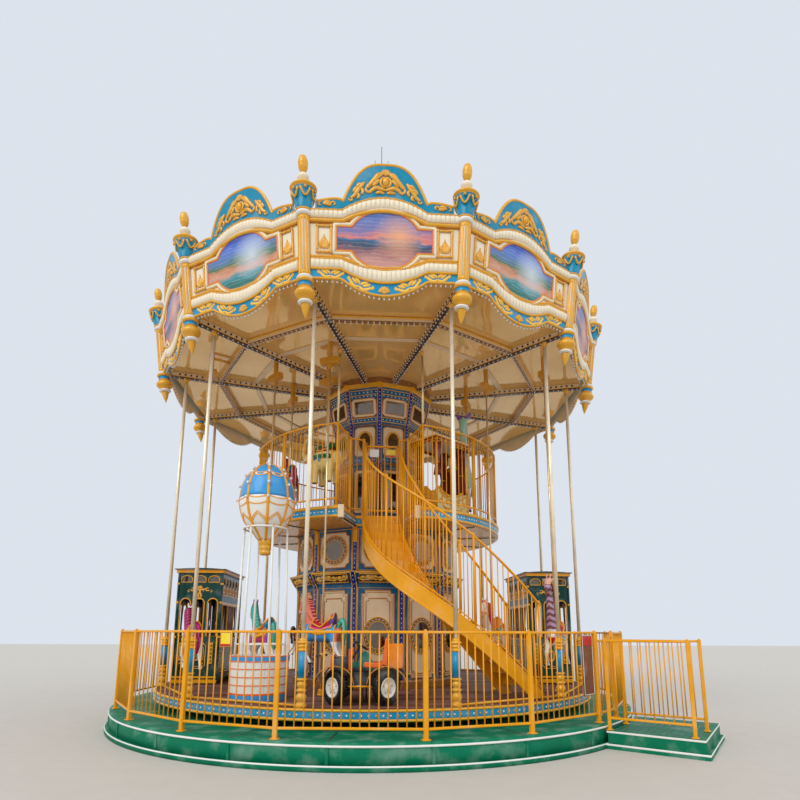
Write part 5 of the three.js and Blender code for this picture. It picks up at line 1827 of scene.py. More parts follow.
def upper_core_pieces():
    """The ten-sided upper core and its flared head, as two shapes. The faces are drawn narrow and widened."""
    core, head = Shape(), Shape()
    sides = {"sides": UPPER_SIDES, "start": -math.pi / 2, "smooth": False}
    turn = 180 / UPPER_SIDES
    widened = lambda p: p * np.array([UPPER_WIDE, 1.0, 1.0])
    foot = [
        (LANDING_TOP + 0.001, UPPER_CORE + 0.03, 0, "bronze"), (4.02, UPPER_CORE + 0.03),
        (4.03, UPPER_CORE + 0.005),
    ]
    turned(core, foot, **sides)
    turned(core, [(4.02, UPPER_CORE, 0, "core_teal"), (CORE_HEAD_LOW, UPPER_CORE)], **sides)
    face = upper_face().moved(widened).moved(facing(0, UPPER_CORE * math.cos(UPPER_HALF)))
    round_copies(core, face, turn, UPPER_SIDES)
    fall = math.tan(UPPER_HALF)
    strip_shape = corner_trim([(4.03, 0), (5.0, 0), (CORE_HEAD_LOW, 0)], 0.075, 1.0, fall)
    round_copies(core, strip_shape.moved(facing(0, UPPER_CORE)), 0.0, UPPER_SIDES)
    (z0, r0), (z1, r1), (z2, r2), (z3, r3), (z4, r4) = HEAD_FLARE
    flare = [(z0 + 0.001, r0, 0, "core_teal"), (z1, r1), (z2, r2)]
    flare += [(z2 + 0.001, r2 + 0.01, 0, "smooth_gold"), (z3, r3), (z4, r4)]
    turned(head, flare, **sides)
    lean = math.atan((r2 - r1) * math.cos(UPPER_HALF) / (z2 - z1))
    face = head_face().moved(widened).moved(facing(0, r1 * math.cos(UPPER_HALF), z1, lean))
    round_copies(head, face, turn, UPPER_SIDES)
    edge = corner_trim([(z, r - r0 + 0.002) for z, r in HEAD_FLARE[:3]], 0.075, 1.0, fall)
    levels = [
        (z2 - 0.02, r2 - r0 + 0.01), (z2 + 0.01, r2 - r0 + 0.02), (z3, r3 - r0 + 0.01),
        (z4 - 0.001, r4 - r0 + 0.01),
    ]
    corner_strip(edge, levels, 0.04, 0.014, "fence_yellow", fall)
    round_copies(head, edge.moved(facing(0, r0)), 0.0, UPPER_SIDES)
    return core, head


class CAROUSEL_OT_core(bpy.types.Operator):
    """Twelve-sided lower core and mirror drum, and the ten-sided upper core with its flared head"""

    bl_idname = "carousel.core"
    bl_label = "Core"

    def execute(self, context):
        core, drum = lower_core_pieces(context.scene.carousel_sizes)
        core.object("core_lower_faces", "carousel", "lower_core", slot="core_panels")
        drum.object("core_mirror_drum", "carousel", "mirror_drum", slot="core_panels")
        core, head = upper_core_pieces()
        core.object("core_upper_faces", "carousel", "upper_core", slot="core_panels")
        head.object("core_flared_head", "carousel", "core_head", slot="core_panels")
        return {"FINISHED"}


# Upper deck, its railings and gate
LANDING_RADIUS = 2.69
LANDING_FRONT = 1.695


def landing_plan(radius, grow=0.0):
    """Outline of the upper deck in plan: an arc with a wedge left open at the front, its edges moved out by
    grow."""
    start = BAY / 2 - math.degrees(grow / radius)
    arc = polar(radius, np.linspace(start, 360 - start, 121))[:, :2]
    y = LANDING_FRONT + grow
    x = y * math.tan(HALF_BAY) - grow * 1.04
    return np.vstack([arc, [(-x, -y), (x, -y)]])


def landing_layer(shape, rows, finish_name):
    """Layer of the upper deck through rows of (height, radius, grow)."""
    shape.loft([layer(landing_plan(r, g), z) for z, r, g in rows], finish_name)


def upper_deck(sizes):
    """Upper deck in layers, with a jewelled rim, a block at each end of the arc and bulbs under it."""
    shape = Shape()
    low, top, r = LANDING_LOW, LANDING_TOP, LANDING_RADIUS
    landing_layer(shape, [(low + 0.02, r - 0.06, -0.03), (top - 0.012, r - 0.06, -0.03)], "umber")
    low_lip = [
        (low, r - 0.05, -0.02), (low + 0.012, r - 0.005, 0.008), (low + 0.04, r, 0.012),
        (low + 0.056, r - 0.02, 0.0),
    ]
    landing_layer(shape, low_lip, "smooth_gold")
    landing_layer(shape, [(low + 0.05, r - 0.022, -0.004), (top - 0.06, r - 0.022, -0.004)], "band_blue")
    high_lip = [
        (top - 0.066, r - 0.02, 0.0), (top - 0.05, r + 0.008, 0.012), (top - 0.014, r + 0.012, 0.014),
        (top - 0.003, r - 0.01, 0.0),
    ]
    landing_layer(shape, high_lip, "smooth_gold")
    landing_layer(shape, [(top - 0.02, r - 0.03, -0.02), (top, r - 0.03, -0.02)], "deck_floor")
    rim = layer(landing_plan(r - 0.018, 0.002), (low + top) / 2 - 0.004)
    jewels(shape, closed(rim), 0.075, 0.0165, ("pearl", "pearl", "pearl", "pearl", "smooth_gold"))
    for side in (-1, 1):
        x, y, _ = polar(r - 0.03, side * BAY / 2)
        block(
            shape, (x - 0.055, y - 0.055, low - 0.01), (x + 0.055, y + 0.055, top + 0.004), "core_cream",
            0.12,
        )
    rib = Shape()
    bar(rib, (0, -1.74, low + 0.012), (0, -2.62, low + 0.012), 0.05, "umber", 8)
    beads = along([(0, -1.8, low - 0.018), (0, -2.6, low - 0.018)], 0.1)
    balls(rib, beads, sizes.bulb * 0.85, "bulb", 6, 5)
    shape.copies(rib, [at(azimuth=BAY * (k + 0.5)) for k in range(BAYS)])
    inner = polar(r - 0.1, np.linspace(16, 344, 160), low + 0.004)
    balls(shape, along(inner, 0.11), sizes.bulb * 0.85, "bulb", 6, 5)
    return shape


RAIL_RADIUS = LANDING_RADIUS - 0.04
RAIL_START = BAY / 2 + 2.2
RAIL_LOW = LANDING_TOP + 0.13
RAIL_HIGH = 5.46
LANDING_HINGE = np.array([-0.262, -(LANDING_FRONT - 0.045), 0.0])
LANDING_TIP = np.array([0.354, -(LANDING_FRONT - 0.045), 0.0])
LANDING_GATE_GAP = 0.053
LANDING_GATE_FOOT = LANDING_TOP + 0.06
LANDING_GATE_HIGH = 5.33
GATE_PLATES = (  # share of the way along the gate, field and band
    (0.26, "pearl", "pearl"), (0.8, "lemon", "red_paint"),
)


def upper_railing(side):
    """Railing of one half: an arc round the rim on seven stands, in beside the stair opening, and to the
    gate's post."""
    shape = Shape()
    style = {"low": RAIL_LOW, "high": RAIL_HIGH, "ground": LANDING_TOP, "post": 0.045, "rail": 0.03}
    end = 180 - math.degrees(0.04 / RAIL_RADIUS)
    stands = [polar(RAIL_RADIUS, side * (RAIL_START + (end - RAIL_START) * k / 6)) for k in range(7)]
    for z in (RAIL_LOW, RAIL_HIGH):
        arc = polar(RAIL_RADIUS, side * np.linspace(RAIL_START, end, 73), z)
        shape.loft(carry(arc, square(0.03, 0.03, 0.22), (0, 0, 1)), "fence_yellow")
    upright = Shape()
    bar(upright, (0, 0, RAIL_LOW), (0, 0, RAIL_HIGH), 0.016, "fence_yellow", 8)
    places = along(polar(RAIL_RADIUS, side * np.linspace(RAIL_START, end, 181)), 0.1, 1.0)[:-1]
    shape.copies(upright, spots(places))
    stand = Shape()
    bar(stand, (0, 0, LANDING_TOP + 0.002), (0, 0, RAIL_HIGH + 0.02), 0.042, "fence_yellow", 10)
    foot = [(LANDING_TOP, 0.042, 0, "fence_yellow"), (LANDING_TOP + 0.01, 0.042), (LANDING_TOP + 0.014, 0.03)]
    turned(stand, foot, 14)
    shape.copies(stand, spots(stands))
    inner = stands[0] - polar(1.0, side * BAY / 2) * (RAIL_RADIUS - LANDING_FRONT - 0.13)
    panel(shape, stands[0], inner, posts=(False, True), **style)
    post = (LANDING_HINGE if side < 0 else LANDING_TIP) + (side * LANDING_GATE_GAP, 0, 0)
    panel(shape, inner, post, posts=(False, True), **style)
    if side < 0:
        gate_arms(shape, LANDING_HINGE, post, LANDING_GATE_FOOT, LANDING_GATE_HIGH)
    x, y, _ = stands[0]
    place = shifted(x, y, 0)
    turned(shape, [(RAIL_HIGH + 0.03, 0.02, 0, "brass"), (SWEEP_LOW - 0.03, 0.02)], 12, place)
    head = [
        (SWEEP_LOW - 0.08, 0.021, 0, "smooth_gold"), (SWEEP_LOW - 0.05, 0.022, 0.01),
        (SWEEP_LOW - 0.001, 0.034),
    ]
    turned(shape, head, 12, place)
    return shape


class CAROUSEL_OT_upper_deck(bpy.types.Operator):
    """Upper deck with its jewelled edge, the railings round it and the gate at the head of the stair"""

    bl_idname = "carousel.upper_deck"
    bl_label = "Upper deck and railings"

    def execute(self, context):
        upper_deck(context.scene.carousel_sizes).object(
            "upper_floor", "carousel", "upper_deck", slot="blue_paint",
        )
        for side, name in ((1, "right"), (-1, "left")):
            upper_railing(side).object(
                "landing_railing_" + name, "carousel", "upper_railing_" + name, slot="yellow_paint",
            )
        shape = Shape()
        panel(
            shape, LANDING_HINGE, LANDING_TIP, LANDING_TOP + 0.11, LANDING_GATE_HIGH, LANDING_GATE_FOOT,
            post=0.034, rail=0.034,
        )
        for share, face, band in GATE_PLATES:
            x, y, _ = LANDING_HINGE + (LANDING_TIP - LANDING_HINGE) * share
            block(shape, (x - 0.09, y - 0.036, 5.1), (x + 0.09, y - 0.026, 5.26), face)
            block(shape, (x - 0.086, y - 0.039, 5.105), (x + 0.086, y - 0.034, 5.145), band)
        shape.object("stair_gate_leaf", "landing_gate", "landing_gate", slot="yellow_paint")
        return {"FINISHED"}


# Stair
STAIR_CONTROL = np.array([  # points in plan
    (0.046, -1.6953), (0.046, -3.4), (1.4, -3.43), (2.52, -2.65),
])
RISERS = 16
TREADS = RISERS - 1
STAIR_HALF = 0.35
BALUSTRADE = 1.39
STRING_LOW = -0.26
STAIR_KERB = 0.1
STAIR_BARS = 39
STRONG_BAR = 13
STAIR_STEPS = 40


def stair_line(share):
    """Middle line of the stair at shares of its length, and the way it runs: a cubic curve through four
    control points, (1-t)^3 a + 3 (1-t)^2 t b + 3 (1-t) t^2 c + t^3 d, with t found from the length
    travelled."""
    t = np.linspace(0, 1, 401)[:, None]
    a, b, c, d = STAIR_CONTROL
    points = (1 - t) ** 3 * a + 3 * (1 - t) ** 2 * t * b + 3 * (1 - t) * t**2 * c + t**3 * d
    travel = np.concatenate([[0], np.cumsum(np.linalg.norm(np.diff(points, axis=0), axis=1))])
    run = unit(np.gradient(points, axis=0))
    pick = lambda values: np.interp(np.atleast_1d(share) * travel[-1], travel, values)
    place, way = [np.column_stack([pick(values[:, 0]), pick(values[:, 1])]) for values in (points, run)]
    return place, way


def stair_points(share, offset, above):
    """Points beside the middle line, at a height above the flight's slope."""
    share = np.atleast_1d(np.asarray(share, float))
    point, run = stair_line(share)
    side = np.column_stack([-run[:, 1], run[:, 0]])
    z = LANDING_TOP + (DECK_TOP - LANDING_TOP) * share + above
    return np.column_stack([point + side * offset, np.maximum(z, DECK_TOP + 0.001)])


def stair_strip(shape, offset, width, low, high, finish_name):
    """Strip of rectangular section that follows the stair."""
    share = np.linspace(0, 1, STAIR_STEPS)
    corners = [
        stair_points(share, offset + side * width / 2, above)
        for side, above in ((-1, low), (1, low), (1, high), (-1, high))
    ]
    shape.loft(np.stack(corners, 1), finish_name, smooth=False)


def stair_rail(shape, offset, above, size, finish_name):
    """Oval rail that follows the stair."""
    share = np.linspace(0, 1, STAIR_STEPS)
    path = stair_points(share, offset, above)
    shape.loft(carry(path, oval(size, size * 0.8, 10), (0, 0, 1)), finish_name, smooth=True)


def stair_flight():
    """Treads with rounded nosings and grip ribs, and closed risers under them."""
    shape = Shape()
    rise = (LANDING_TOP - DECK_TOP) / RISERS
    half = STAIR_HALF - 0.021
    for k in range(1, RISERS):
        top = LANDING_TOP - rise * k
        share = np.array([k - 1, k]) / TREADS
        left, right = stair_points(share, -half, 0), stair_points(share, half, 0)

        def slab(start, end, low, high, finish_name):
            a, b = left[0] + (left[1] - left[0]) * start, right[0] + (right[1] - right[0]) * start
            c, d = right[0] + (right[1] - right[0]) * end, left[0] + (left[1] - left[0]) * end
            plan = np.array([a, b, c, d])
            shape.loft([layer(plan[:, :2], z) for z in (low, high)], finish_name)

        slab(0.0, 1.06 if k < TREADS else 1.0, top - 0.035, top - 0.003, "fence_yellow")
        slab(0.0, 0.06, top - 0.01, top + rise - (0.002 if k == 1 else 0.034), "fence_yellow")
        for start in (0.86, 0.93):
            slab(start, start + 0.03, top - 0.004, top + 0.001, "steel")
    return shape


def stair_side(side):
    """String and balustrade of one side, with a strong upright at both ends and at every thirteenth place."""
    shape = Shape()
    offset = side * STAIR_HALF
    stair_strip(shape, offset, 0.036, STRING_LOW, 0.036, "fence_yellow")
    for above in (-0.24, 0.034):
        stair_rail(shape, offset, above, 0.024, "fence_yellow")
    stair_rail(shape, offset, STAIR_KERB, 0.015, "fence_yellow")
    stair_rail(shape, offset, STAIR_KERB + BALUSTRADE, 0.024, "fence_yellow")
    for k in range(STAIR_BARS + 1):
        share = min(max(k / STAIR_BARS, 0.008), 0.992)
        strong = k % STRONG_BAR == 0
        foot = stair_points(share, offset, 0.0 if strong else STAIR_KERB)[0]
        head = stair_points(share, offset, STAIR_KERB + BALUSTRADE)[0]
        bar(shape, foot, head, 0.04 if strong else 0.019, "fence_yellow", 8)
        if strong:
            balls(shape, head + (0, 0, 0.03), 0.028, "fence_yellow", 10, 7)
    return shape


class CAROUSEL_OT_stair(bpy.types.Operator):
    """Curved stair between the two decks"""

    bl_idname = "carousel.stair"
    bl_label = "Stair"

    def execute(self, context):
        stair_flight().object("stair_treads", "carousel", "stair_flight", slot="yellow_paint")
        stair_side(1).object("stair_railing_inner", "carousel", "stair_side_inner", slot="yellow_paint")
        stair_side(-1).object("stair_railing_outer", "carousel", "stair_side_outer", slot="yellow_paint")
        return {"FINISHED"}


# Ceiling and roof
SWEEP_HIGH = 7.05
SWEEP_REACH = 4.66
RING_BEAM = 3.45
CEILING_RADIUS = 4.56
SLEEVE_LOW = 6.46
SLEEVE_HIGH = 7.03


def sweep(sizes):
    """Radial beam at azimuth 0: cream sides with dark round studs, a dark underside and bulbs along both
    edges."""
    shape = Shape()
    inner, outer = 1.2, SWEEP_REACH - 0.13
    w = 0.04
    block(shape, (-w, -outer, SWEEP_LOW + 0.02), (w, -inner, SWEEP_HIGH - 0.002), "core_cream", 0.02)
    block(shape, (-w - 0.005, -outer, SWEEP_LOW), (w + 0.005, -inner, SWEEP_LOW + 0.022), "umber", 0.1)
    studs = along([(0, -outer + 0.1, SWEEP_LOW + 0.075), (0, -inner - 0.1, SWEEP_LOW + 0.075)], 0.11)
    for side in (-1, 1):
        balls(shape, studs + (side * (w - 0.008), 0, 0), 0.025, "black", 8, 5)
        path = [
            (side * (w + 0.003), -outer, SWEEP_LOW + 0.03), (side * (w + 0.003), -inner, SWEEP_LOW + 0.03),
        ]
        shape.loft(carry(path, oval(0.007, 0.007, 6), (0, 0, 1)), "smooth_gold")
        path = [(side * w * 0.9, -outer, SWEEP_LOW - 0.012), (side * w * 0.9, -inner, SWEEP_LOW - 0.012)]
        balls(shape, along(path, 0.1), sizes.bulb * 0.85, "bulb", 6, 5)
    return shape


def ring_beam(distance, sizes):
    """Beam between two sweeps, on the side at azimuth 0."""
    shape = Shape()
    half = distance * math.tan(HALF_BAY) - 0.03
    block(
        shape, (-half, -distance - 0.026, SWEEP_LOW + 0.03), (half, -distance + 0.026, SWEEP_HIGH - 0.004),
        "core_cream", 0.02,
    )
    block(
        shape, (-half, -distance - 0.03, SWEEP_LOW + 0.012), (half, -distance + 0.03, SWEEP_LOW + 0.034),
        "bronze", 0.1,
    )
    path = [(-half, -distance - 0.028, SWEEP_LOW + 0.1), (half, -distance - 0.028, SWEEP_LOW + 0.1)]
    shape.loft(carry(path, oval(0.012, 0.02, 6), (0, 0, 1)), "smooth_gold")
    for side in (-1, 1):
        path = [(-half, -distance + side * 0.027, SWEEP_LOW), (half, -distance + side * 0.027, SWEEP_LOW)]
        balls(shape, along(path, 0.1), sizes.bulb * 0.85, "bulb", 6, 5)
    return shape


def pole_sleeve(shape, spot):
    """Gold head under the ceiling that a pole runs up into: a closed loop of sections, the middle ones a
    box whose outline is r = min(0.19 / |cos a|, 0.07 / |sin a|)."""
    angle = ring(48)
    turn = angle + math.atan2(spot[0], -spot[1])
    across, forth = np.maximum(np.abs(np.cos(angle)), 0.01), np.maximum(np.abs(np.sin(angle)), 0.01)
    box = np.minimum(0.19 / across, 0.07 / forth)
    outer = [
        (SLEEVE_LOW, 0.03), (6.53, 0.032), (6.54, 0.05), (6.56, 0.05), (6.57, box * 0.92), (6.59, box),
        (6.69, box), (6.7, 0.045), (SLEEVE_HIGH, 0.045),
    ]
    bore = [(SLEEVE_HIGH, POLE_BORE), (SLEEVE_LOW, POLE_BORE)]
    shape.loft(circles([*outer, *bore], turn, spot), "ochre", loop=True)


def ceiling_frame(sizes):
    """Sweeps, ring beams and battens, with the heads of the jumping horses' poles."""
    shape = Shape()
    round_copies(shape, sweep(sizes), BAY / 2)
    round_copies(shape, ring_beam(RING_BEAM, sizes))
    half = INNER_RING * math.tan(HALF_BAY) - 0.04
    batten = Shape()
    block(
        batten, (-half, -INNER_RING - 0.05, SWEEP_HIGH - 0.02),
        (half, -INNER_RING + 0.05, SWEEP_HIGH - 0.002), "core_cream", 0.2,
    )
    round_copies(shape, batten)
    turned(shape, [(SWEEP_LOW, 1.25, 0, "bronze"), (SWEEP_HIGH - 0.002, 1.25)], 12, smooth=False)
    for k, (azimuth, _) in enumerate(JUMPERS):
        spot = pole_spot(azimuth, k)
        pole_sleeve(shape, spot)
        if k >= INNER_HORSES:  # an arm holds it on the ring beam
            level = (SWEEP_LOW + SWEEP_HIGH) / 2
            away = np.linalg.norm(spot)
            near, far = polar(RING_BEAM + 0.05, azimuth, level), polar(away - 0.03, azimuth, level)
            bar(shape, near, far, 0.05, "gold", 8)
    return shape


def ceiling_sheet():
    """Glossy ceiling: a gore in each bay, a disc in the middle and the roof's underlay."""
    sheet = Shape()
    edge = CEILING_RADIUS * math.cos(HALF_BAY)
    for k in range(BAYS):
        half = (edge - 0.01) * math.tan(HALF_BAY) - 0.006
        gore = np.array([(-half, edge), (half, edge), (0.32, 1.24), (-0.32, 1.24)])
        rows = [
            np.column_stack([gore[:, 0], -gore[:, 1], np.full(4, z)])
            for z in (SWEEP_HIGH + 0.002, SWEEP_HIGH + 0.022)
        ]
        sheet.loft(about_z(np.array(rows), k * BAY), "ceiling_gloss")
    faceted(sheet, [(SWEEP_HIGH + 0.001, 1.3, 0, "ceiling_gloss"), (SWEEP_HIGH + 0.024, 1.3)])
    faceted(sheet, [(SWEEP_HIGH + 0.02, 4.555, 0, "roof_cover"), (SWEEP_HIGH + 0.028, 4.555)])
    return sheet


class CAROUSEL_OT_ceiling(bpy.types.Operator):
    """Sweeps, ring beams, the sleeves of the poles and the glossy ceiling"""

    bl_idname = "carousel.ceiling"
    bl_label = "Ceiling"

    def execute(self, context):
        ceiling_frame(context.scene.carousel_sizes).object(
            "canopy_beams", "carousel", "ceiling_frame", slot="gold_paint",
        )
        ceiling_sheet().object("ceiling_panels", "carousel", "ceiling", slot="ceiling_gloss")
        return {"FINISHED"}


ROOF_LEVELS = (  # heights and radii of the cover
    (7.09, 4.47), (7.8, 4.47), (8.3, 3.7), (8.8, 2.9), (9.25, 2.1), (9.6, 1.5), (10.0, 0.86), (10.4, 0.42),
)
EAVES = 7.7


def roof_cover(shape):
    """Cover in a closed loop of level rings: a little flatter in the middle of each side, and thin."""
    angle = np.linspace(0, 2 * math.pi, BAYS * 10, endpoint=False) + HALF_BAY
    within = (np.arange(BAYS * 10) % 10) / 10
    flat = math.cos(HALF_BAY) / np.cos((within - 0.5) * 2 * HALF_BAY)
    sag = 1 - 0.012 * np.sin(np.pi * within)
    outer = []
    for z, r in ROOF_LEVELS:
        reach = r * flat * (sag if z > EAVES else 1)
        outer.append(joined(reach * np.cos(angle), reach * np.sin(angle), z))
    inner = [
        row * np.array([0.985, 0.985, 1]) - np.array([0, 0, 0.03 if row[0, 2] > EAVES else 0])
        for row in outer[::-1]
    ]
    shape.loft(np.array(outer + inner), "roof_cover", loop=True)


def roof_ribs(shape):
    """Gilded ribs over the corners of the cover and two gilded rings."""
    rib = Shape()
    path = [(0, -r, z + 0.004) for z, r in ROOF_LEVELS[1:]]
    wire(rib, path, (0.022, 0.018), "smooth_gold", (1, 0, 0))
    round_copies(shape, rib, BAY / 2)
    for z, r in ((7.8, 4.475), (9.25, 2.1)):
        band = [
            (z - 0.03, r - 0.03, 0, "smooth_gold"), (z - 0.025, r, 0.008), (z + 0.025, r),
            (z + 0.03, r - 0.06),
        ]
        faceted(shape, band)


def roof_crown(shape):
    """Crown of the roof, its rod and four prongs."""
    crown = [
        (10.33, 0.45, 0, "smooth_gold"), (10.35, 0.46, 0.02), (10.43, 0.43, 0, "crest_blue"),
        (10.44, 0.42, 0.05), (10.62, 0.17, 0, "smooth_gold"), (10.64, 0.17, 0.02), (10.7, 0.15, 0, "pearl"),
    ]
    crown += [
        (10.71, 0.13, 0.09), (10.86, 0.12, 0, "smooth_gold"), (10.87, 0.08, 0.05), (11.0, 0.05),
        (11.1, 0.016, 0, "steel"), (ROD_TOP - 0.02, 0.009), (ROD_TOP, 0.0),
    ]
    turned(shape, crown, 24)
    prong = Shape()
    path = curved([
        (0, 0, ROD_TOP - 0.9), (0, -0.08, ROD_TOP - 0.8), (0, -0.15, ROD_TOP - 0.62),
        (0, -0.17, ROD_TOP - 0.44),
    ])
    wire(prong, path, 0.008, "steel", (1, 0, 0))
    round_copies(shape, prong, 0, 4)


class CAROUSEL_OT_roof(bpy.types.Operator):
    """Tented cover over the ceiling with gilded ribs, a crown and a pronged rod"""

    bl_idname = "carousel.roof"
    bl_label = "Roof"

    def execute(self, context):
        shape = Shape()
        roof_cover(shape)
        roof_ribs(shape)
        roof_crown(shape)
        shape.object("tented_roof", "carousel", "roof", slot="roof_cover")
        return {"FINISHED"}


# Rides: each is built along +X about its own origin and turned to face the way the platform travels
def ride_place(azimuth, radius, z):
    """Function that carries a ride's own points to its place."""
    spot = polar(radius, azimuth, z)
    return lambda points: about_z(points, 180 + azimuth) + spot


def end_place(way, distance):
    """Function that carries [u, v, w] to a wall that faces along X: x = way (distance + w), y = u, z = v."""
    return lambda points: np.stack([way * (distance + points[..., 2]), points[..., 0], points[..., 1]], -1)


def side_place(way, distance):
    """Function that carries [u, v, w] to a wall that faces along Y: x = u, y = way (distance + w), z = v."""
    return lambda points: np.stack([points[..., 0], way * (distance + points[..., 2]), points[..., 1]], -1)


def hoop(shape, centre, run, a, b, size, finish_name, flat=1.0, count=28):
    """Closed ring square to the way it runs, a wide in the plane of +X and +Z and b wide along Y."""
    run = unit(np.asarray(run, float))
    across = np.array([0.0, 1.0, 0.0])
    angle = ring(count)[:, None]
    path = np.asarray(centre, float) + np.cross(across, run) * a * np.cos(angle) + across * b * np.sin(angle)
    shape.loft(carry(path, oval(size * flat, size, 8), run, loop=True), finish_name, loop=True, smooth=True)


def spun_y(count):
    """Matrices that turn a shape about the Y axis, in even steps."""
    places = np.tile(np.eye(4), (count, 1, 1))
    angle = ring(count)
    places[:, 0, 0] = places[:, 2, 2] = np.cos(angle)
    places[:, 0, 2], places[:, 2, 0] = np.sin(angle), -np.sin(angle)
    return places


def extruded(shape, line, low, high, finish_name, edge=0.008, axis=0):
    """Flat-ended body whose outline lies square to an axis, from low to high along it, with rounded-off
    ends."""
    middle = (line.max(axis=0) + line.min(axis=0)) / 2
    half = (line.max(axis=0) - line.min(axis=0)) / 2
    rows = []
    for spot, shrink in ((low, edge), (low + edge, 0), (high - edge, 0), (high, edge)):
        points = (line - middle) * (1 - shrink / half) + middle
        rows.append(np.insert(points, axis, spot, axis=1))
    shape.loft(rows, finish_name)


# Old-time car
WHEEL_X = 0.375
WHEEL_Y = 0.44
WHEEL_Z = 0.25
WHEEL_TURN = 46
BOARD_Z = 0.27
FENDER_Y = 0.425
CAR_PLACE = (-4, 3.5, DECK_TOP)


def car_wheel():
    """Tyre with a tread, and a dished white disc with bolts and a cap, about its own middle and facing +Y."""
    shape = Shape()
    tyre = [
        (-0.05, 0.19), (-0.047, 0.222), (-0.03, 0.243), (0.03, 0.243), (0.047, 0.222), (0.05, 0.19),
        (0.05, 0.158), (0.04, 0.145), (0.0, 0.138),
    ]
    turned(shape, [(h, r, 0, "black") for h, r in tyre], 44, exchanged)
    for reach in (0.185, 0.208):
        circle = on_face(ellipse(reach, reach, 44), 0.0, 0.05)
        ring_line = carry(circle, oval(0.003, 0.003, 6), (0, 0, 1), loop=True)
        shape.loft(exchanged(ring_line), "black", loop=True, smooth=True)
    disc = [
        (0.0, 0.137), (0.042, 0.145), (0.053, 0.141), (0.05, 0.128), (0.03, 0.116), (0.026, 0.056),
        (0.036, 0.048), (0.044, 0.04), (0.047, 0.024), (0.048, 0.0),
    ]
    turned(shape, [(h, r, 0, "pearl") for h, r in disc], 36, exchanged)
    lug = Shape()
    for y in (-0.024, 0.024):
        block(lug, (-0.011, y - 0.017, 0.238), (0.011, y + 0.017, 0.2485), "black")
    shape.copies(lug, spun_y(32))
    bolt = ball(0.01, "steel", 6, 4).moved(shifted(0, 0.03, 0.085))
    shape.copies(bolt, spun_y(5))
    return shape


def fender_line(x):
    """Line of a fender in the plane of +X and +Z: an arc round the wheel, run out to the running board."""
    angle = np.radians(np.linspace(12, 146, 16))
    arc = np.column_stack([0.3 * np.cos(angle), WHEEL_Z + 0.3 * np.sin(angle)])
    way = 1 if x > 0 else -1
    tail = np.array([(-0.26, 0.38), (-0.275, 0.32), (-0.29, 0.275)])
    line = np.vstack([arc, tail]) * (way, 1)
    return np.column_stack([line[:, 0] + x, np.zeros(len(line)), line[:, 1]])


def car_hood(shape):
    """Chassis, axles and the hood with its grille, cap and slits, and the doors and posts beside it."""
    block(shape, (-0.53, -0.17, 0.25), (0.53, 0.17, 0.33), "black")
    for x in (-WHEEL_X, WHEEL_X):
        bar(shape, (x, -WHEEL_Y, WHEEL_Z), (x, WHEEL_Y, WHEEL_Z), 0.05, "black", 10)
    hood = outline(0.205, 0.17, rounded(0.075)) + (0, 0.5)
    extruded(shape, hood, 0.19, 0.44, "black")
    for low, high, grow in ((0.165, 0.2, 0.032), (0.43, 0.475, 0.022)):
        extruded(shape, outline(0.205 + grow, 0.17 + grow, rounded(0.08)) + (0, 0.5), low, high, "orange")
    extruded(shape, outline(0.175, 0.14, rounded(0.06)) + (0, 0.49), 0.465, 0.481, "black", 0.004)
    for k in range(9):
        bar(shape, (0.484, -0.14 + 0.035 * k, 0.37), (0.484, -0.14 + 0.035 * k, 0.61), 0.007, "brass")
    cap = [(0.685, 0.03, 0, "brass"), (0.7, 0.03, 0.004), (0.725, 0.02), (0.74, 0.0)]
    turned(shape, cap, 16, shifted(0.45, 0, 0))
    for side in (-1, 1):
        for k in range(7):
            block(
                shape, (0.225 + 0.029 * k, side * 0.206 - 0.006, 0.42),
                (0.236 + 0.029 * k, side * 0.206 + 0.006, 0.58), "black",
            )
        door = "black" if side > 0 else "carriage_green"
        door_line = np.array([
            (-0.13, 0.33), (0.17, 0.33), (0.17, 0.5), (0.1, 0.53), (-0.06, 0.53), (-0.13, 0.49),
        ])
        extruded(shape, door_line, side * 0.27 - 0.014, side * 0.27 + 0.014, door, 0.005, 1)
        post = [(0.182, side * 0.225, 0.66), (0.182, side * 0.225, 0.79)]
        shape.loft(carry(post, square(0.035, 0.035, 0.2), (1, 0, 0)), "orange")


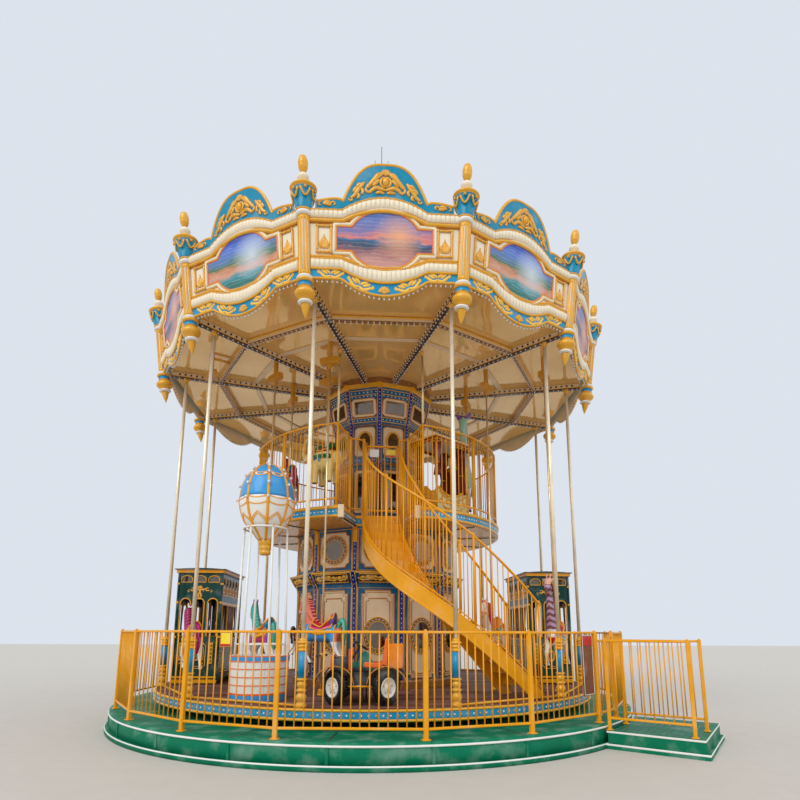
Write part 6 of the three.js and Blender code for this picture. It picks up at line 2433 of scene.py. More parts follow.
def car_cabin(shape):
    """Guards at the left side, floor, seat in five rolls, rear box and the block under it."""
    extruded(
        shape,
        np.array([
            (-0.21, 0.36), (0.03, 0.36), (0.06, 0.5), (0.0, 0.69), (-0.06, 0.73), (-0.12, 0.7), (-0.2, 0.54)
        ]) + (0.02, 0.03),
        0.2, 0.235, "leaf_green", 0.008, 1,
    )
    extruded(
        shape, np.array([(0.05, 0.4), (0.17, 0.4), (0.175, 0.56), (0.1, 0.62), (0.06, 0.55)]), 0.2, 0.235,
        "leaf_green", 0.008, 1,
    )
    block(shape, (-0.42, -0.28, 0.33), (0.19, 0.28, 0.385), "black")
    block(shape, (-0.36, -0.235, 0.38), (-0.02, 0.235, 0.48), "black")
    seat = np.array([
        (-0.33, 0.51), (-0.04, 0.515), (-0.025, 0.53), (-0.03, 0.58), (-0.06, 0.6), (-0.2, 0.585),
        (-0.33, 0.59),
    ])
    back = np.array([(-0.3, 0.56), (-0.345, 0.93), (-0.365, 0.955), (-0.39, 0.935), (-0.375, 0.54)])
    for line, half in ((seat, 0.25), (back, 0.27)):
        for k in range(5):
            low = -half + 2 * half * k / 5
            extruded(shape, line, low + 0.0015, low + 2 * half / 5 - 0.0015, "orange", 0.012, 1)
    extruded(shape, outline(0.105, 0.18, rounded(0.014)) + (-0.505, 0.685), -0.23, 0.23, "amber", 0.01, 1)
    for y in (-0.12, 0.12):
        block(shape, (-0.616, y - 0.02, 0.52), (-0.608, y + 0.02, 0.86), "brass")
    block(shape, (-0.6, -0.17, 0.33), (-0.41, 0.17, 0.51), "black")


def car_steering(shape):
    """Column and steering wheel with four spokes, and a round stool beside it."""
    column, tip = np.array([0.19, 0, 0.6]), np.array([0.045, 0, 0.84])
    bar(shape, column, tip, 0.03, "black", 10)
    lean = unit(tip - column)
    hoop(shape, tip, lean, 0.135, 0.135, 0.0125, "black")
    balls(shape, tip, 0.026, "brass", 10, 6)
    across = np.cross((0, 1, 0), lean)
    for turn in ring(4, math.pi / 4):
        spoke_end = tip + across * 0.13 * math.cos(turn) + np.array([0, 0.13 * math.sin(turn), 0])
        bar(shape, tip, spoke_end, 0.012, "black")
    stool = [
        (0.385, 0.042, 0, "pearl"), (0.39, 0.045), (0.47, 0.05), (0.475, 0.054, 0, "smooth_gold"),
        (0.49, 0.054),
    ]
    turned(shape, stool, 20, shifted(0.03, 0.19, 0))


def car_body():
    """The car without its wheels and fenders."""
    shape = Shape()
    car_hood(shape)
    car_cabin(shape)
    car_steering(shape)
    return shape


def car_side(shape, wheel, side):
    """Wheels, fenders, running board and step of one side."""
    for x in (-WHEEL_X, WHEEL_X):
        turn = -WHEEL_TURN * np.sign(x) if side > 0 else 180 + WHEEL_TURN * np.sign(x)
        shape.copies(wheel, [at(x, side * WHEEL_Y, WHEEL_Z, turn)])
        path = fender_line(x) + (0, side * FENDER_Y, 0)
        section = np.array([(-0.006, -0.07), (0.006, -0.07), (0.006, 0.07), (-0.006, 0.07)])
        name = "carriage_green" if side < 0 and x < 0 else "black"
        shape.loft(carry(path, section, (0, 1, 0)), name, smooth=False)
        edge = fender_line(x) + (0, side * 0.495, 0)
        wire(shape, edge, 0.009, "deep_gold", (0, 1, 0))
    y = side * FENDER_Y
    block(shape, (-0.18, y - 0.07, BOARD_Z - 0.008), (0.18, y + 0.07, BOARD_Z + 0.008), "black")
    bar(shape, (-0.17, side * 0.498, BOARD_Z), (0.17, side * 0.498, BOARD_Z), 0.024, "fence_yellow", 8)
    for k in range(3):
        line_y = y - 0.035 + 0.035 * k
        bar(shape, (-0.16, line_y, BOARD_Z + 0.01), (0.16, line_y, BOARD_Z + 0.01), 0.008, "steel")
    block(shape, (-0.19, side * 0.35 - 0.01, BOARD_Z), (0.2, side * 0.35 + 0.01, 0.46), "black")
    block(shape, (-0.04, side * 0.39 - 0.012, 0.0), (-0.015, side * 0.39 + 0.012, BOARD_Z), "black")


class CAROUSEL_OT_car(bpy.types.Operator):
    """Old-time car with its wheels, fenders, hood, seat and rear box"""

    bl_idname = "carousel.car"
    bl_label = "Old-time car"

    def execute(self, context):
        shape, wheel = car_body(), car_wheel()
        for side in (-1, 1):
            car_side(shape, wheel, side)
        shape.moved(ride_place(*CAR_PLACE)).object(
            "vintage_car", "carousel", "old_time_car", slot="orange_paint",
        )
        return {"FINISHED"}


# Balloon gondola
BALLOON_PLACE = (-31.2, 3.64, DECK_TOP)
BAG_LINE = curved(
    [
        (2.27, 0.03), (2.285, 0.085), (2.51, 0.107), (2.81, 0.345), (3.06, 0.432), (3.2, 0.44),
        (3.47, 0.395), (3.68, 0.27), (3.79, 0.12), (3.82, 0.0),
    ],
    8,
)
BAG_TURN = -1.8
BAG_RAIL = 2.7
BAG_ROWS = (  # lower and upper height and finish
    (2.51, 3.19, "pearl"), (3.19, 3.815, "balloon_blue"),
)


def bag_radius(z):
    """Radius of the bag at a height."""
    return np.interp(z, BAG_LINE[:, 0], BAG_LINE[:, 1])


def bag_ring(z, proud, angle):
    """Points on the bag at a height, a little out from its skin."""
    r = bag_radius(z) + proud
    return np.stack(np.broadcast_arrays(r * np.cos(angle), r * np.sin(angle), z), -1)


def bag_band(shape, angle, z, width, proud, finish_name):
    """Band that lies on the bag, its middle at height z for each angle."""
    low, high = z - width / 2, z + width / 2
    rows = [
        bag_ring(low, -0.01, angle), bag_ring(low, proud, angle), bag_ring(high, proud, angle),
        bag_ring(high, -0.01, angle),
    ]
    shape.loft(np.stack(rows, 1), finish_name)


def edged_band(shape, angle, z, width):
    """Cream band on the bag between two yellow edges."""
    bag_band(shape, angle, z, width, 0.006, "cream")
    for side in (-1, 1):
        bag_band(shape, angle, z + side * width / 2, 0.018, 0.012, "fence_yellow")


def bag():
    """Striped bag: smooth gores between ribs that carry bulbs, a cream band, swags above it and chevrons
    below."""
    shape = Shape()
    angle = ring(80) + math.radians(BAG_TURN)
    for low, high, name in BAG_ROWS:
        levels = np.concatenate([np.linspace(low, high, 14), [3.819] if high > 3.5 else []])
        puff = 0.007 * np.abs(np.sin(4 * (angle - math.radians(BAG_TURN))))
        rows = [bag_ring(np.full(80, z), puff * min(1, bag_radius(z) / 0.3), angle) for z in levels]
        shape.loft(np.array(rows), name, smooth=True)
    lamp = ball(0.025, "bulb", 10, 8)
    socket = ball(0.016, "smooth_gold", 8, 5)
    for k in range(8):
        turn = math.radians(BAG_TURN + 45 * k)
        z = BAG_LINE[(BAG_LINE[:, 0] > 2.5) & (BAG_LINE[:, 0] < 3.81), 0]
        path = bag_ring(z, 0.004, turn)
        across = (-math.sin(turn), math.cos(turn), 0)
        shape.loft(carry(path, oval(0.014, 0.024, 8), across), "fence_yellow", smooth=True)
        lamps = bag_ring(np.array([3.16, 3.4, 3.6, 3.74]), 0.014, turn)
        shape.copies(socket, spots(lamps))
        out = unit(lamps * (1, 1, 0)) * 0.028
        shape.copies(lamp, spots(lamps + out + (0, 0, 0.004)))
        gore = turn + np.radians(np.linspace(3.2, 41.8, 17))
        t = np.linspace(-1, 1, 17)
        edged_band(shape, gore, 3.13 - 0.035 * (1 - t**2), 0.105)
        edged_band(shape, gore[1:-1], 3.6 - 0.04 * (1 - t[1:-1] ** 2), 0.05)
        edged_band(shape, gore, 2.8 + 0.115 * (1 - np.abs(t)), 0.034)
    hoop(shape, (0, 0, BAG_RAIL), (0, 0, 1), 0.356, 0.356, 0.016, "pearl", count=48)
    spout = [
        (2.27, 0.06, 0, "smooth_gold"), (2.275, 0.075, 0.012), (2.34, 0.084), (2.345, 0.084, 0.012),
        (2.42, 0.094), (2.425, 0.094, 0.012), (2.52, 0.106), (2.53, 0.1),
    ]
    turned(shape, spout, 28)
    knob = [
        (3.8, 0.04, 0, "smooth_gold"), (3.835, 0.03, 0, "pearl"), (3.84, 0.02, 0.012), (3.9, 0.014),
        (3.97, 0.0),
    ]
    turned(shape, knob, 14)
    return shape


def around_band(shape, low, high, r_low, r_high, thick, finish_name):
    """Closed band round the vertical axis."""
    corners = ((low, r_low), (low, r_low + thick), (high, r_high + thick), (high, r_high))
    rows = circles(corners, ring(60))
    shape.loft(np.stack(rows, 1), finish_name, loop=True)


def basket():
    """Round basket of white staves under orange hoops, with a blue band at its foot and its rim."""
    shape = Shape()
    angle = ring(160)
    groove = 0.005 * np.clip(np.cos(20 * angle) - 0.86, 0, 1) / 0.14
    rim = lambda z: 0.43 + 0.035 * z / 0.67
    rows = [np.zeros((160, 3))]
    for z, r, deep in (
        (0.0, 0.425, 0), (0.012, rim(0), 1), (0.62, rim(0.62), 1), (0.67, rim(0.67), 0),
        (0.675, rim(0.67) - 0.01, 0), (0.67, 0.427, 0), (0.095, 0.4, 0),
    ):
        radius = r - groove * deep
        rows.append(joined(radius * np.cos(angle), radius * np.sin(angle), z))
    rows.append(np.zeros((160, 3)) + (0, 0, 0.092))
    shape.loft(rows, "pearl")
    for low, high in ((0.004, 0.1), (0.6, 0.66)):
        around_band(shape, low, high, rim(low) - 0.006, rim(high) - 0.006, 0.01, "balloon_blue")
    for z in (0.102, 0.115, 0.24, 0.36, 0.48, 0.59, 0.668):
        around_band(shape, z - 0.007, z + 0.007, rim(z) - 0.006, rim(z) - 0.006, 0.012, "orange")
    hoop(shape, (0, 0, 0.845), (0, 0, 1), 0.372, 0.372, 0.012, "pearl", count=48)
    for k in range(6):
        foot, head = polar(0.41, 60 * k, 0.09), polar(0.35, 60 * k, BAG_RAIL + 0.005)
        bar(shape, foot, head, 0.036, "pearl", 12)
        balls(shape, head, 0.026, "smooth_gold", 10, 6)
    bench = [
        (0.09, 0.2, 0, "core_cream"), (0.36, 0.2), (0.362, 0.26, 0.012, "orange"), (0.4, 0.26), (0.401, 0.0)
    ]
    turned(shape, bench, 32)
    bar(shape, (0, 0, 0.4), (0, 0, 0.62), 0.03, "steel", 10)
    hoop(shape, (0, 0, 0.62), (0, 0, 1), 0.12, 0.12, 0.012, "steel")
    turned(shape, [(0.612, 0.12, 0, "orange"), (0.62, 0.12)], 24)
    return shape


class CAROUSEL_OT_balloon(bpy.types.Operator):
    """Balloon gondola: a staved basket whose posts carry a ribbed bag"""

    bl_idname = "carousel.balloon"
    bl_label = "Balloon gondola"

    def execute(self, context):
        shape = basket()
        shape.also(bag())
        shape.moved(ride_place(*BALLOON_PLACE)).object(
            "balloon_ride", "carousel", "balloon_gondola", slot="white_gloss",
        )
        return {"FINISHED"}


# Tram carriages
TRAM_AZIMUTH = 91
TRAM_RADIUS = 3.62
TRAM_LONG = 0.75
TRAM_WIDE = 0.44
TRAM_TOP = 2.22
SIDE_LIGHTS = np.arange(-2.5, 3) * 0.235
PLAIN_HANGINGS = ((-TRAM_LONG, -0.62), (-0.24, 0.24), (0.62, TRAM_LONG))
DOOR_HANGINGS = ((-TRAM_LONG, -0.62), (-0.24, -0.18), (0.18, 0.24), (0.62, TRAM_LONG))
DOOR_WALLS = ((-TRAM_LONG, -0.18), (0.18, TRAM_LONG))
WALL = 0.03


def arched_wall(low, springing, top, half, windows, wide, rise=1.0):
    """Wall from low to top, between u = -half and half, over arched windows: its underside is the arch
    springing + rise * sqrt(r^2 - (u - middle)^2) in each window and low between them."""
    shape = Shape()
    u, under = [-half], [low]
    r = wide / 2
    for middle in windows:
        x = np.linspace(-r, r, 13)
        u += [middle - r, *(middle + x), middle + r]
        under += [low, *(springing + rise * np.sqrt(np.maximum(r * r - x * x, 0))), low]
    u, under = np.array([*u, half]), np.array([*under, low])
    flat = np.full_like(u, top)
    rows = [joined(u, v, w) for v, w in ((under, 0), (under, WALL), (flat, WALL), (flat, 0))]
    shape.loft(np.stack(rows, 1), "carriage_green")
    return shape


def arch_line(middle, sill, springing, wide, rise=1.0, grow=0.0):
    """Outline of an arched window, from its sill round over the arch."""
    r = wide / 2 + grow
    turn = np.linspace(0, math.pi, 15)
    arch = np.column_stack([
        middle + r * np.cos(turn), springing + rise * (wide / 2) * np.sin(turn) + grow * np.sin(turn),
    ])
    return np.vstack([[(middle + r, sill - grow)], arch, [(middle - r, sill - grow)]])


def window_trim(shape, line, w, size):
    """Gold line round a window or a panel."""
    wire(shape, layer(line, w), size, "smooth_gold", loop=True)


def end_scrolls():
    """Gilded crest between the windows and the lights above them."""
    strokes = [
        ([(0.0, -0.16), (0.03, -0.08), (0.0, 0.0), (0.02, 0.05)], 0.05),
        (curl((0.05, 0.02), 0.045, 180, -250, 0.3), 0.024),
        ([(0.02, 0.03), (0.09, 0.05), (0.15, 0.02), (0.2, 0.035)], 0.036),
        ([(0.09, 0.04), (0.13, 0.075), (0.18, 0.07)], 0.026),
        (curl((0.22, 0.01), 0.03, 90, -260, 0.3), 0.018),
    ]
    shape = ornament(strokes)
    shape.copies(shell_fan(0.06, 5, 0.03), [at(0, 0.07, 0)])
    return shape


def jewel_plate(shape, u, low, high, w):
    """Narrow yellow plate with a column of green jewels between gold rims."""
    line = outline(0.035, (high - low) / 2, rounded(0.01)) + (u, 0)
    plate(shape, line, (low + high) / 2, w + 0.012, "fence_yellow", back=w)
    gem = ball(1.0, "base_green", 10, 6).moved(lambda p: p * (0.017, 0.024, 0.012))
    rim = ball(1.0, "smooth_gold", 10, 6).moved(lambda p: p * (0.023, 0.03, 0.007))
    for v in along([(u, low + 0.02, w + 0.014), (u, high - 0.02, w + 0.014)], 0.075):
        shape.copies(gem, spots(v))
        shape.copies(rim, spots(v))


END_WINDOWS = (-0.275, 0.0, 0.275)


def tram_end():
    """End wall in wall coordinates: three arched windows, a gilded crest, three low lights and a panelled
    foot."""
    shape = Shape()
    half = TRAM_WIDE
    foot = Shape()
    block(foot, (-half, 0.0, 0.0), (half, 0.03, 0.95), "carriage_green")
    shape.also(foot.moved(exchanged))
    shape.also(arched_wall(0.95, 1.6, 2.03, half, END_WINDOWS, 0.2))
    shape.also(arched_wall(2.03, 2.09, TRAM_TOP, half, END_WINDOWS, 0.22, 0.7))
    for middle in END_WINDOWS:
        window_trim(shape, arch_line(middle, 0.95, 1.6, 0.2, grow=0.004), 0.032, 0.0135)
        window_trim(shape, arch_line(middle, 2.035, 2.09, 0.22, 0.7, grow=0.002), 0.032, 0.0105)
        shape.also(pane(arch_line(middle, 2.035, 2.09, 0.22, 0.7, grow=0.004), 0.008))
        for side in (-1, 1):
            shape.also(tie_back(middle + side * 0.065, 0.95, 1.68, side))
    shape.copies(end_scrolls(), [at(0, 1.84, 0.032)])
    for u in (-0.3, 0.3):
        jewel_plate(shape, u, 0.4, 0.82, 0.03)
    window_trim(shape, outline(0.19, 0.25, notched(0.05)) + (0, 0.56), 0.032, 0.009)
    window_trim(shape, outline(0.15, 0.21, notched(0.05)) + (0, 0.56), 0.031, 0.006)
    framed_mirror(shape, 0.075, 0.11, 0.56, 0.03, 0.018)
    for v, a, b in ((0.04, half, 0.035), (0.12, half, 0.018)):
        plate(shape, outline(a, b), v + 0.02, 0.05, "fence_yellow", back=0.01)
    return shape


def pane(line, w):
    """Dark glass in a window."""
    shape = Shape()
    points = [layer(line, w + t) for t in (0.0, 0.004)]
    shape.loft(points, "mirror")
    return shape


def tie_back(u, low, high, side):
    """Moulded curtain at one side of a window, drawn in to a tie: folds are w = a sin(6 pi s)."""
    shape = Shape()
    share = np.linspace(0, 1, 19)
    rows = []
    for t in np.linspace(0, 1, 13):
        v = low + (high - low) * t
        wide = 0.062 * (0.35 + 0.65 * abs(t - 0.36) ** 0.7)
        middle = u + side * (0.031 - wide / 2)
        fold = 0.007 * np.sin(6 * np.pi * share)
        front = np.column_stack([middle + wide * (share - 0.5), np.full(19, v), -0.02 + fold])
        rear = np.column_stack([middle + wide * (share[::-1] - 0.5), np.full(19, v), np.full(19, -0.035)])
        rows.append(np.vstack([front, rear]))
    shape.loft(rows, "drape", smooth=True)
    return shape


def folded(u0, u1, low, high, folds, w, finish_name, depth=0.012):
    """Moulded hanging of even folds: w = depth * |sin(pi folds s)| ^ 0.7."""
    shape = Shape()
    share = np.linspace(0, 1, folds * 6 + 1)
    u = u0 + (u1 - u0) * share
    out = w + depth * np.abs(np.sin(np.pi * folds * share)) ** 0.7
    rows = [
        joined(u, v, d)
        for v, d in (
            (low, out * 0 + w - 0.006), (low, out + 0.004), (high, out), (high, out * 0 + w - 0.006),
        )
    ]
    shape.loft(np.stack(rows, 1), finish_name, smooth=False)
    return shape


def side_lights(shape):
    """Row of small arched lights under the cornice."""
    half = TRAM_LONG
    shape.also(arched_wall(1.99, 2.08, TRAM_TOP, half, SIDE_LIGHTS, 0.1))
    for middle in SIDE_LIGHTS:
        window_trim(shape, arch_line(middle, 2.0, 2.08, 0.1, grow=0.002), 0.032, 0.007)
        shape.also(pane(arch_line(middle, 2.0, 2.08, 0.1, grow=0.004), 0.006))


def side_band(shape):
    """Teal band with six carved fields over a scalloped gold edge."""
    half = TRAM_LONG
    band = Shape()
    block(band, (-half, 0.0, 1.62), (half, 0.03, 1.99), "core_teal")
    shape.also(band.moved(exchanged))
    for u in SIDE_LIGHTS:
        plate(shape, outline(0.1, 0.085, notched(0.025)) + (u, 0), 1.885, 0.036, "core_cream", back=0.02)
        window_trim(shape, outline(0.1, 0.085, notched(0.025)) + (u, 1.885), 0.036, 0.007)
        shape.copies(shell_fan(0.055, 5, 0.026), [at(u, 1.865, 0.036)])
    plate(shape, outline(half, 0.012), 1.78, 0.042, "smooth_gold", back=0.02)
    scallops = Shape()
    u = np.linspace(-half, half, 169)
    edge = 1.6 - 0.03 * np.abs(np.sin(np.pi * (u + half) / 0.107))
    rows = [joined(u, v, w) for v, w in ((edge, 0.02), (edge, 0.04), (1.635, 0.04), (1.635, 0.02))]
    scallops.loft(np.stack(rows, 1), "smooth_gold")
    shape.also(scallops)


def side_walls(shape, open_doorway):
    """Walls and folded hangings below the band, with a gap in the middle for an open doorway."""
    runs = DOOR_HANGINGS if open_doorway else PLAIN_HANGINGS
    for u0, u1 in runs:
        shape.also(folded(u0, u1, 0.9, 1.62, max(2, round((u1 - u0) / 0.06)), 0.016, "drape"))
    walls = DOOR_WALLS if open_doorway else ((-TRAM_LONG, TRAM_LONG),)
    for u0, u1 in walls:
        wall = Shape()
        block(wall, (u0, 0.0, 0.1), (u1, 0.03, 0.9), "carriage_green")
        shape.also(wall.moved(exchanged))
        middle, a = (u0 + u1) / 2, (u1 - u0) / 2 - 0.1
        window_trim(shape, outline(a, 0.27, notched(0.06)) + (middle, 0.5), 0.032, 0.009)
        for u in (u0 + 0.045, u1 - 0.045):
            jewel_plate(shape, u, 0.25, 0.75, 0.03)
        plate(shape, outline(a + 0.1, 0.014) + (middle, 0), 0.9, 0.045, "smooth_gold", back=0.0)
    for u in (-0.43, 0.43):
        window_trim(shape, outline(0.19, 0.35, rounded(0.03)) + (u, 1.25), 0.026, 0.014)
        for side in (-1, 1):
            shape.also(tie_back(u + side * 0.15, 0.92, 1.6, side))


def tram_side(open_doorway):
    """Side wall in wall coordinates."""
    shape = Shape()
    side_lights(shape)
    side_band(shape)
    side_walls(shape, open_doorway)
    return shape


def tram_walls(shape):
    """Two ends, two sides, the corner posts with their gold bands, and the floor."""
    for way in (-1, 1):
        shape.also(tram_end().moved(end_place(way, 0.72)))
        shape.also(tram_side(way > 0).moved(side_place(way, 0.41)))
    for x in (-TRAM_LONG, TRAM_LONG):
        for y in (-TRAM_WIDE, TRAM_WIDE):
            path = [(x, y, 0.09), (x, y, TRAM_TOP)]
            shape.loft(carry(path, square(0.042, 0.042, 0.3), (1, 0, 0)), "carriage_green")
            for z in (0.93, 1.62, 2.0):
                block(
                    shape, (x - 0.026, y - 0.026, z - 0.02), (x + 0.026, y + 0.026, z + 0.02), "smooth_gold"
                )
    block(shape, (-0.74, -0.43, 0.1), (0.74, 0.43, 0.15), "deck_floor")
    block(shape, (-0.65, -0.31, 0.0), (0.65, 0.31, 0.1), "black")


def tram_roof(shape):
    """Benches, a yellow cornice in layers and a low roof: z = z0 + h (1 - y^2) (1 - x^4 / 2)."""
    for way in (-1, 1):
        seat = np.array([
            (0.38, 0.15), (0.4, 0.44), (0.38, 0.46), (0.39, 0.5), (0.62, 0.49), (0.67, 0.92), (0.705, 0.92),
            (0.7, 0.15),
        ])
        extruded(shape, seat[:: way] * (way, 1), -0.4, 0.4, "brown", 0.01, 1)
    layers = (
        (2.215, 0.03, "carriage_green"), (2.225, 0.05, "fence_yellow"), (2.285, 0.055, "fence_yellow"),
        (2.287, 0.085, "carriage_green"), (2.305, 0.085, "carriage_green"),
    )
    for (low, wide_low, name), (high, wide_high, _) in zip(layers, layers[1:]):
        levels = ((low, wide_low), (high, wide_high))
        rows = [layer(outline(TRAM_LONG + g, TRAM_WIDE + g, rounded(0.03)), z) for z, g in levels]
        shape.loft(rows, name)
    rows = []
    for x in np.linspace(-1, 1, 9):
        half = 0.5 * (1 - 0.06 * x * x)
        y = np.linspace(-1, 1, 15)
        arch = np.column_stack([
            np.full(15, x * 0.81), y * half, 2.303 + 0.045 * (1 - y * y) * (1 - 0.5 * x**4),
        ])
        flat = np.column_stack([np.full(15, x * 0.81), y[::-1] * half, np.full(15, 2.296)])
        rows.append(np.vstack([arch, flat]))
    shape.loft(rows, "carriage_green", smooth=True)


def tram():
    """Carriage about its own origin."""
    shape = Shape()
    tram_walls(shape)
    tram_roof(shape)
    return shape


class CAROUSEL_OT_trams(bpy.types.Operator):
    """Two tram carriages at the sides, with arched windows and moulded hangings"""

    bl_idname = "carousel.trams"
    bl_label = "Tram carriages"

    def execute(self, context):
        shape = tram()
        for side, azimuth in (("right", TRAM_AZIMUTH), ("left", -TRAM_AZIMUTH)):
            name = "tram_carriage_" + side
            shape.moved(ride_place(azimuth, TRAM_RADIUS, DECK_TOP)).object(
                "tram_" + side, "carousel", name, slot="dark_green_paint",
            )
        return {"FINISHED"}


# Animals: rows of (x, y, z, half depth, half width) along each part of the body
FIGURE_Y = np.array([0.0, 1.0, 0.0])
HORSE_TRUNK = [
    (-0.46, 0, 0.06, 0.075, 0.07), (-0.38, 0, 0.05, 0.15, 0.13), (-0.24, 0, 0.03, 0.172, 0.16),
    (0.0, 0, 0.0, 0.158, 0.165), (0.2, 0, 0.02, 0.165, 0.155), (0.33, 0, 0.05, 0.165, 0.135),
    (0.43, 0, 0.09, 0.09, 0.08),
]
HORSE_NECK = [
    (0.24, 0, 0.08, 0.15, 0.11), (0.36, 0, 0.24, 0.14, 0.088), (0.43, 0, 0.42, 0.115, 0.07),
    (0.46, 0, 0.57, 0.085, 0.058), (0.46, 0, 0.67, 0.052, 0.046),
]
HORSE_HEAD = [
    (0.44, 0, 0.67, 0.05, 0.045), (0.52, 0, 0.64, 0.078, 0.062), (0.58, 0, 0.56, 0.066, 0.052),
    (0.62, 0, 0.47, 0.047, 0.042), (0.64, 0, 0.42, 0.042, 0.042),
]
LONG_NECK = [
    (0.26, 0, 0.06, 0.15, 0.11), (0.38, 0, 0.3, 0.11, 0.085), (0.44, 0, 0.6, 0.078, 0.062),
    (0.47, 0, 0.95, 0.06, 0.05), (0.49, 0, 1.2, 0.06, 0.05), (0.52, 0, 1.25, 0.035, 0.035),
]
LONG_HEAD = [
    (0.47, 0, 1.24, 0.045, 0.05), (0.55, 0, 1.22, 0.062, 0.06), (0.63, 0, 1.14, 0.045, 0.046),
    (0.7, 0, 1.05, 0.038, 0.042),
]
ELEPHANT_TRUNK = [
    (-0.42, 0, 0.0, 0.13, 0.12), (-0.34, 0, 0.02, 0.23, 0.21), (-0.15, 0, 0.03, 0.285, 0.262),
    (0.08, 0, 0.03, 0.29, 0.265), (0.28, 0, 0.06, 0.25, 0.22), (0.38, 0, 0.08, 0.17, 0.16),
]


def limb(shape, points, steps=5, sides=16, ends=(1.0, 1.0), finish_name="pearl"):
    """Oval sections along a curve of rows (x, y, z, half depth, half width), rounded off at both ends."""
    rows = curved(points, steps)
    path, size = rows[:, :3], rows[:, 3:]
    first, last = unit(path[0] - path[1]), unit(path[-1] - path[-2])
    caps = np.array([(0.35, 0.94), (0.7, 0.72), (0.92, 0.4), (1.0, 0.08)])
    reach, shrink = caps[:, :1], caps[:, 1:]
    head = path[0] + first * reach * size[0, 0] * ends[0]
    foot = path[-1] + last * reach * size[-1, 0] * ends[1]
    path = np.vstack([head[::-1], path, foot])
    size = np.vstack([(size[0] * shrink)[::-1], size, size[-1] * shrink])
    shape.loft(carry(path, oval(1, 1, sides), FIGURE_Y, size=size), finish_name, smooth=True)


def sculpted(clay, voxel=0.0135):
    """Points and quads of one skin over overlapping ones, remeshed at the voxel size and then softened."""
    mesh = clay.mesh("clay")
    made = bpy.data.objects.new("clay", mesh)
    bpy.context.scene.collection.objects.link(made)
    fused = made.modifiers.new("fused", "REMESH")
    fused.mode = "VOXEL"
    fused.voxel_size = voxel
    smoothed = made.modifiers.new("softened", "SMOOTH")
    smoothed.factor = 0.5
    smoothed.iterations = 3
    result = made.evaluated_get(bpy.context.evaluated_depsgraph_get()).to_mesh()
    points = np.empty(len(result.vertices) * 3, np.float32)
    result.vertices.foreach_get("co", points)
    quads = np.empty(len(result.loops), np.int32)
    result.loops.foreach_get("vertex_index", quads)
    bpy.data.objects.remove(made)
    bpy.data.meshes.remove(mesh)
    return points.reshape(-1, 3).astype(float), quads.reshape(-1, 4)


def painted_skin(skin, zones):
    """Shape of a sculpted skin. zones is a list of (finish, test of the faces' middles), later ones painted
    over."""
    points, quads = skin
    shape = Shape()
    shape.put(points, [quads], zones[0][0], True)
    x, y, z = points[quads].mean(axis=1).T
    names = shape.finish[-1]
    for name, test in zones[1:]:
        names[test(x, y, z)] = name
    return shape


def scaled(points, size):
    """Limb rows with their places and sizes changed by a scale along each axis."""
    p = np.array(points, float)
    return p * (size[0], size[1], size[2], (size[0] + size[2]) / 2, size[1])


def leaping_legs(clay, size):
    """Bent fore legs and stretched hind legs, a little apart in the leap."""
    for side in (-1, 1):
        y = side * 0.1
        fore = [
            (0.31, y * 0.9, 0.0, 0.085, 0.06), (0.41, y, -0.13, 0.06, 0.05),
            (0.5 - side * 0.04, y, -0.25, 0.045, 0.042), (0.44 - side * 0.06, y, -0.36, 0.031, 0.03),
            (0.35 - side * 0.07, y, -0.47, 0.032, 0.032), (0.32 - side * 0.07, y, -0.525, 0.043, 0.04),
        ]
        hind = [
            (-0.33, y * 0.85, 0.02, 0.12, 0.075), (-0.38, y * 0.95, -0.13, 0.08, 0.06),
            (-0.43, y, -0.26, 0.05, 0.046), (-0.52 - side * 0.02, y, -0.38, 0.034, 0.032),
            (-0.6 - side * 0.04, y, -0.47, 0.033, 0.032), (-0.64 - side * 0.04, y, -0.52, 0.043, 0.04),
        ]
        for leg in (fore, hind):
            limb(clay, scaled(leg, size), ends=(1.0, 0.5))


def ears(clay, size, root, tip, wide=0.022):
    """Pair of ears from a root to a tip."""
    for side in (-1, 1):
        a, b = np.array(root) * (1, side, 1), np.array(tip) * (1, side, 1)
        points = [
            (*a, wide * 0.7, wide), (*(a * 0.45 + b * 0.55), wide * 0.8, wide * 1.15), (*b, 0.008, 0.009),
        ]
        limb(clay, scaled(points, size), 4, 10)


def horse_skin(size):
    """Skin of a horse from overlapping limbs."""
    clay = Shape()
    for part in (HORSE_TRUNK, HORSE_NECK, HORSE_HEAD):
        limb(clay, scaled(part, size))
    points = [(0.47, 0, 0.57, 0.055, 0.05), (0.54, 0, 0.5, 0.045, 0.045), (0.6, 0, 0.43, 0.026, 0.03)]
    limb(clay, scaled(points, size))
    leaping_legs(clay, size)
    ears(clay, size, (0.47, 0.035, 0.7), (0.48, 0.05, 0.8))
    return sculpted(clay)


def long_necked_skin(size, horned, stout):
    """Skin of a long-necked figure; stout widens the neck and the head."""
    clay = Shape()
    limb(clay, scaled(HORSE_TRUNK, size))
    for part in (LONG_NECK, LONG_HEAD):
        limb(clay, scaled(part, size) * (1, 1, 1, stout, stout))
    leaping_legs(clay, size)
    ears(
        clay, size, (0.48, 0.05, 1.25), (0.44, 0.15, 1.29) if horned else (0.44, 0.19, 1.44),
        0.026 if horned else 0.05,
    )
    if horned:
        for side in (-1, 1):
            points = [
                (0.5, side * 0.03, 1.26, 0.016, 0.02), (0.48, side * 0.04, 1.33, 0.014, 0.017),
                (0.46, side * 0.045, 1.37, 0.024, 0.028),
            ]
            limb(clay, scaled(points, size), 4, 10)
    return sculpted(clay)


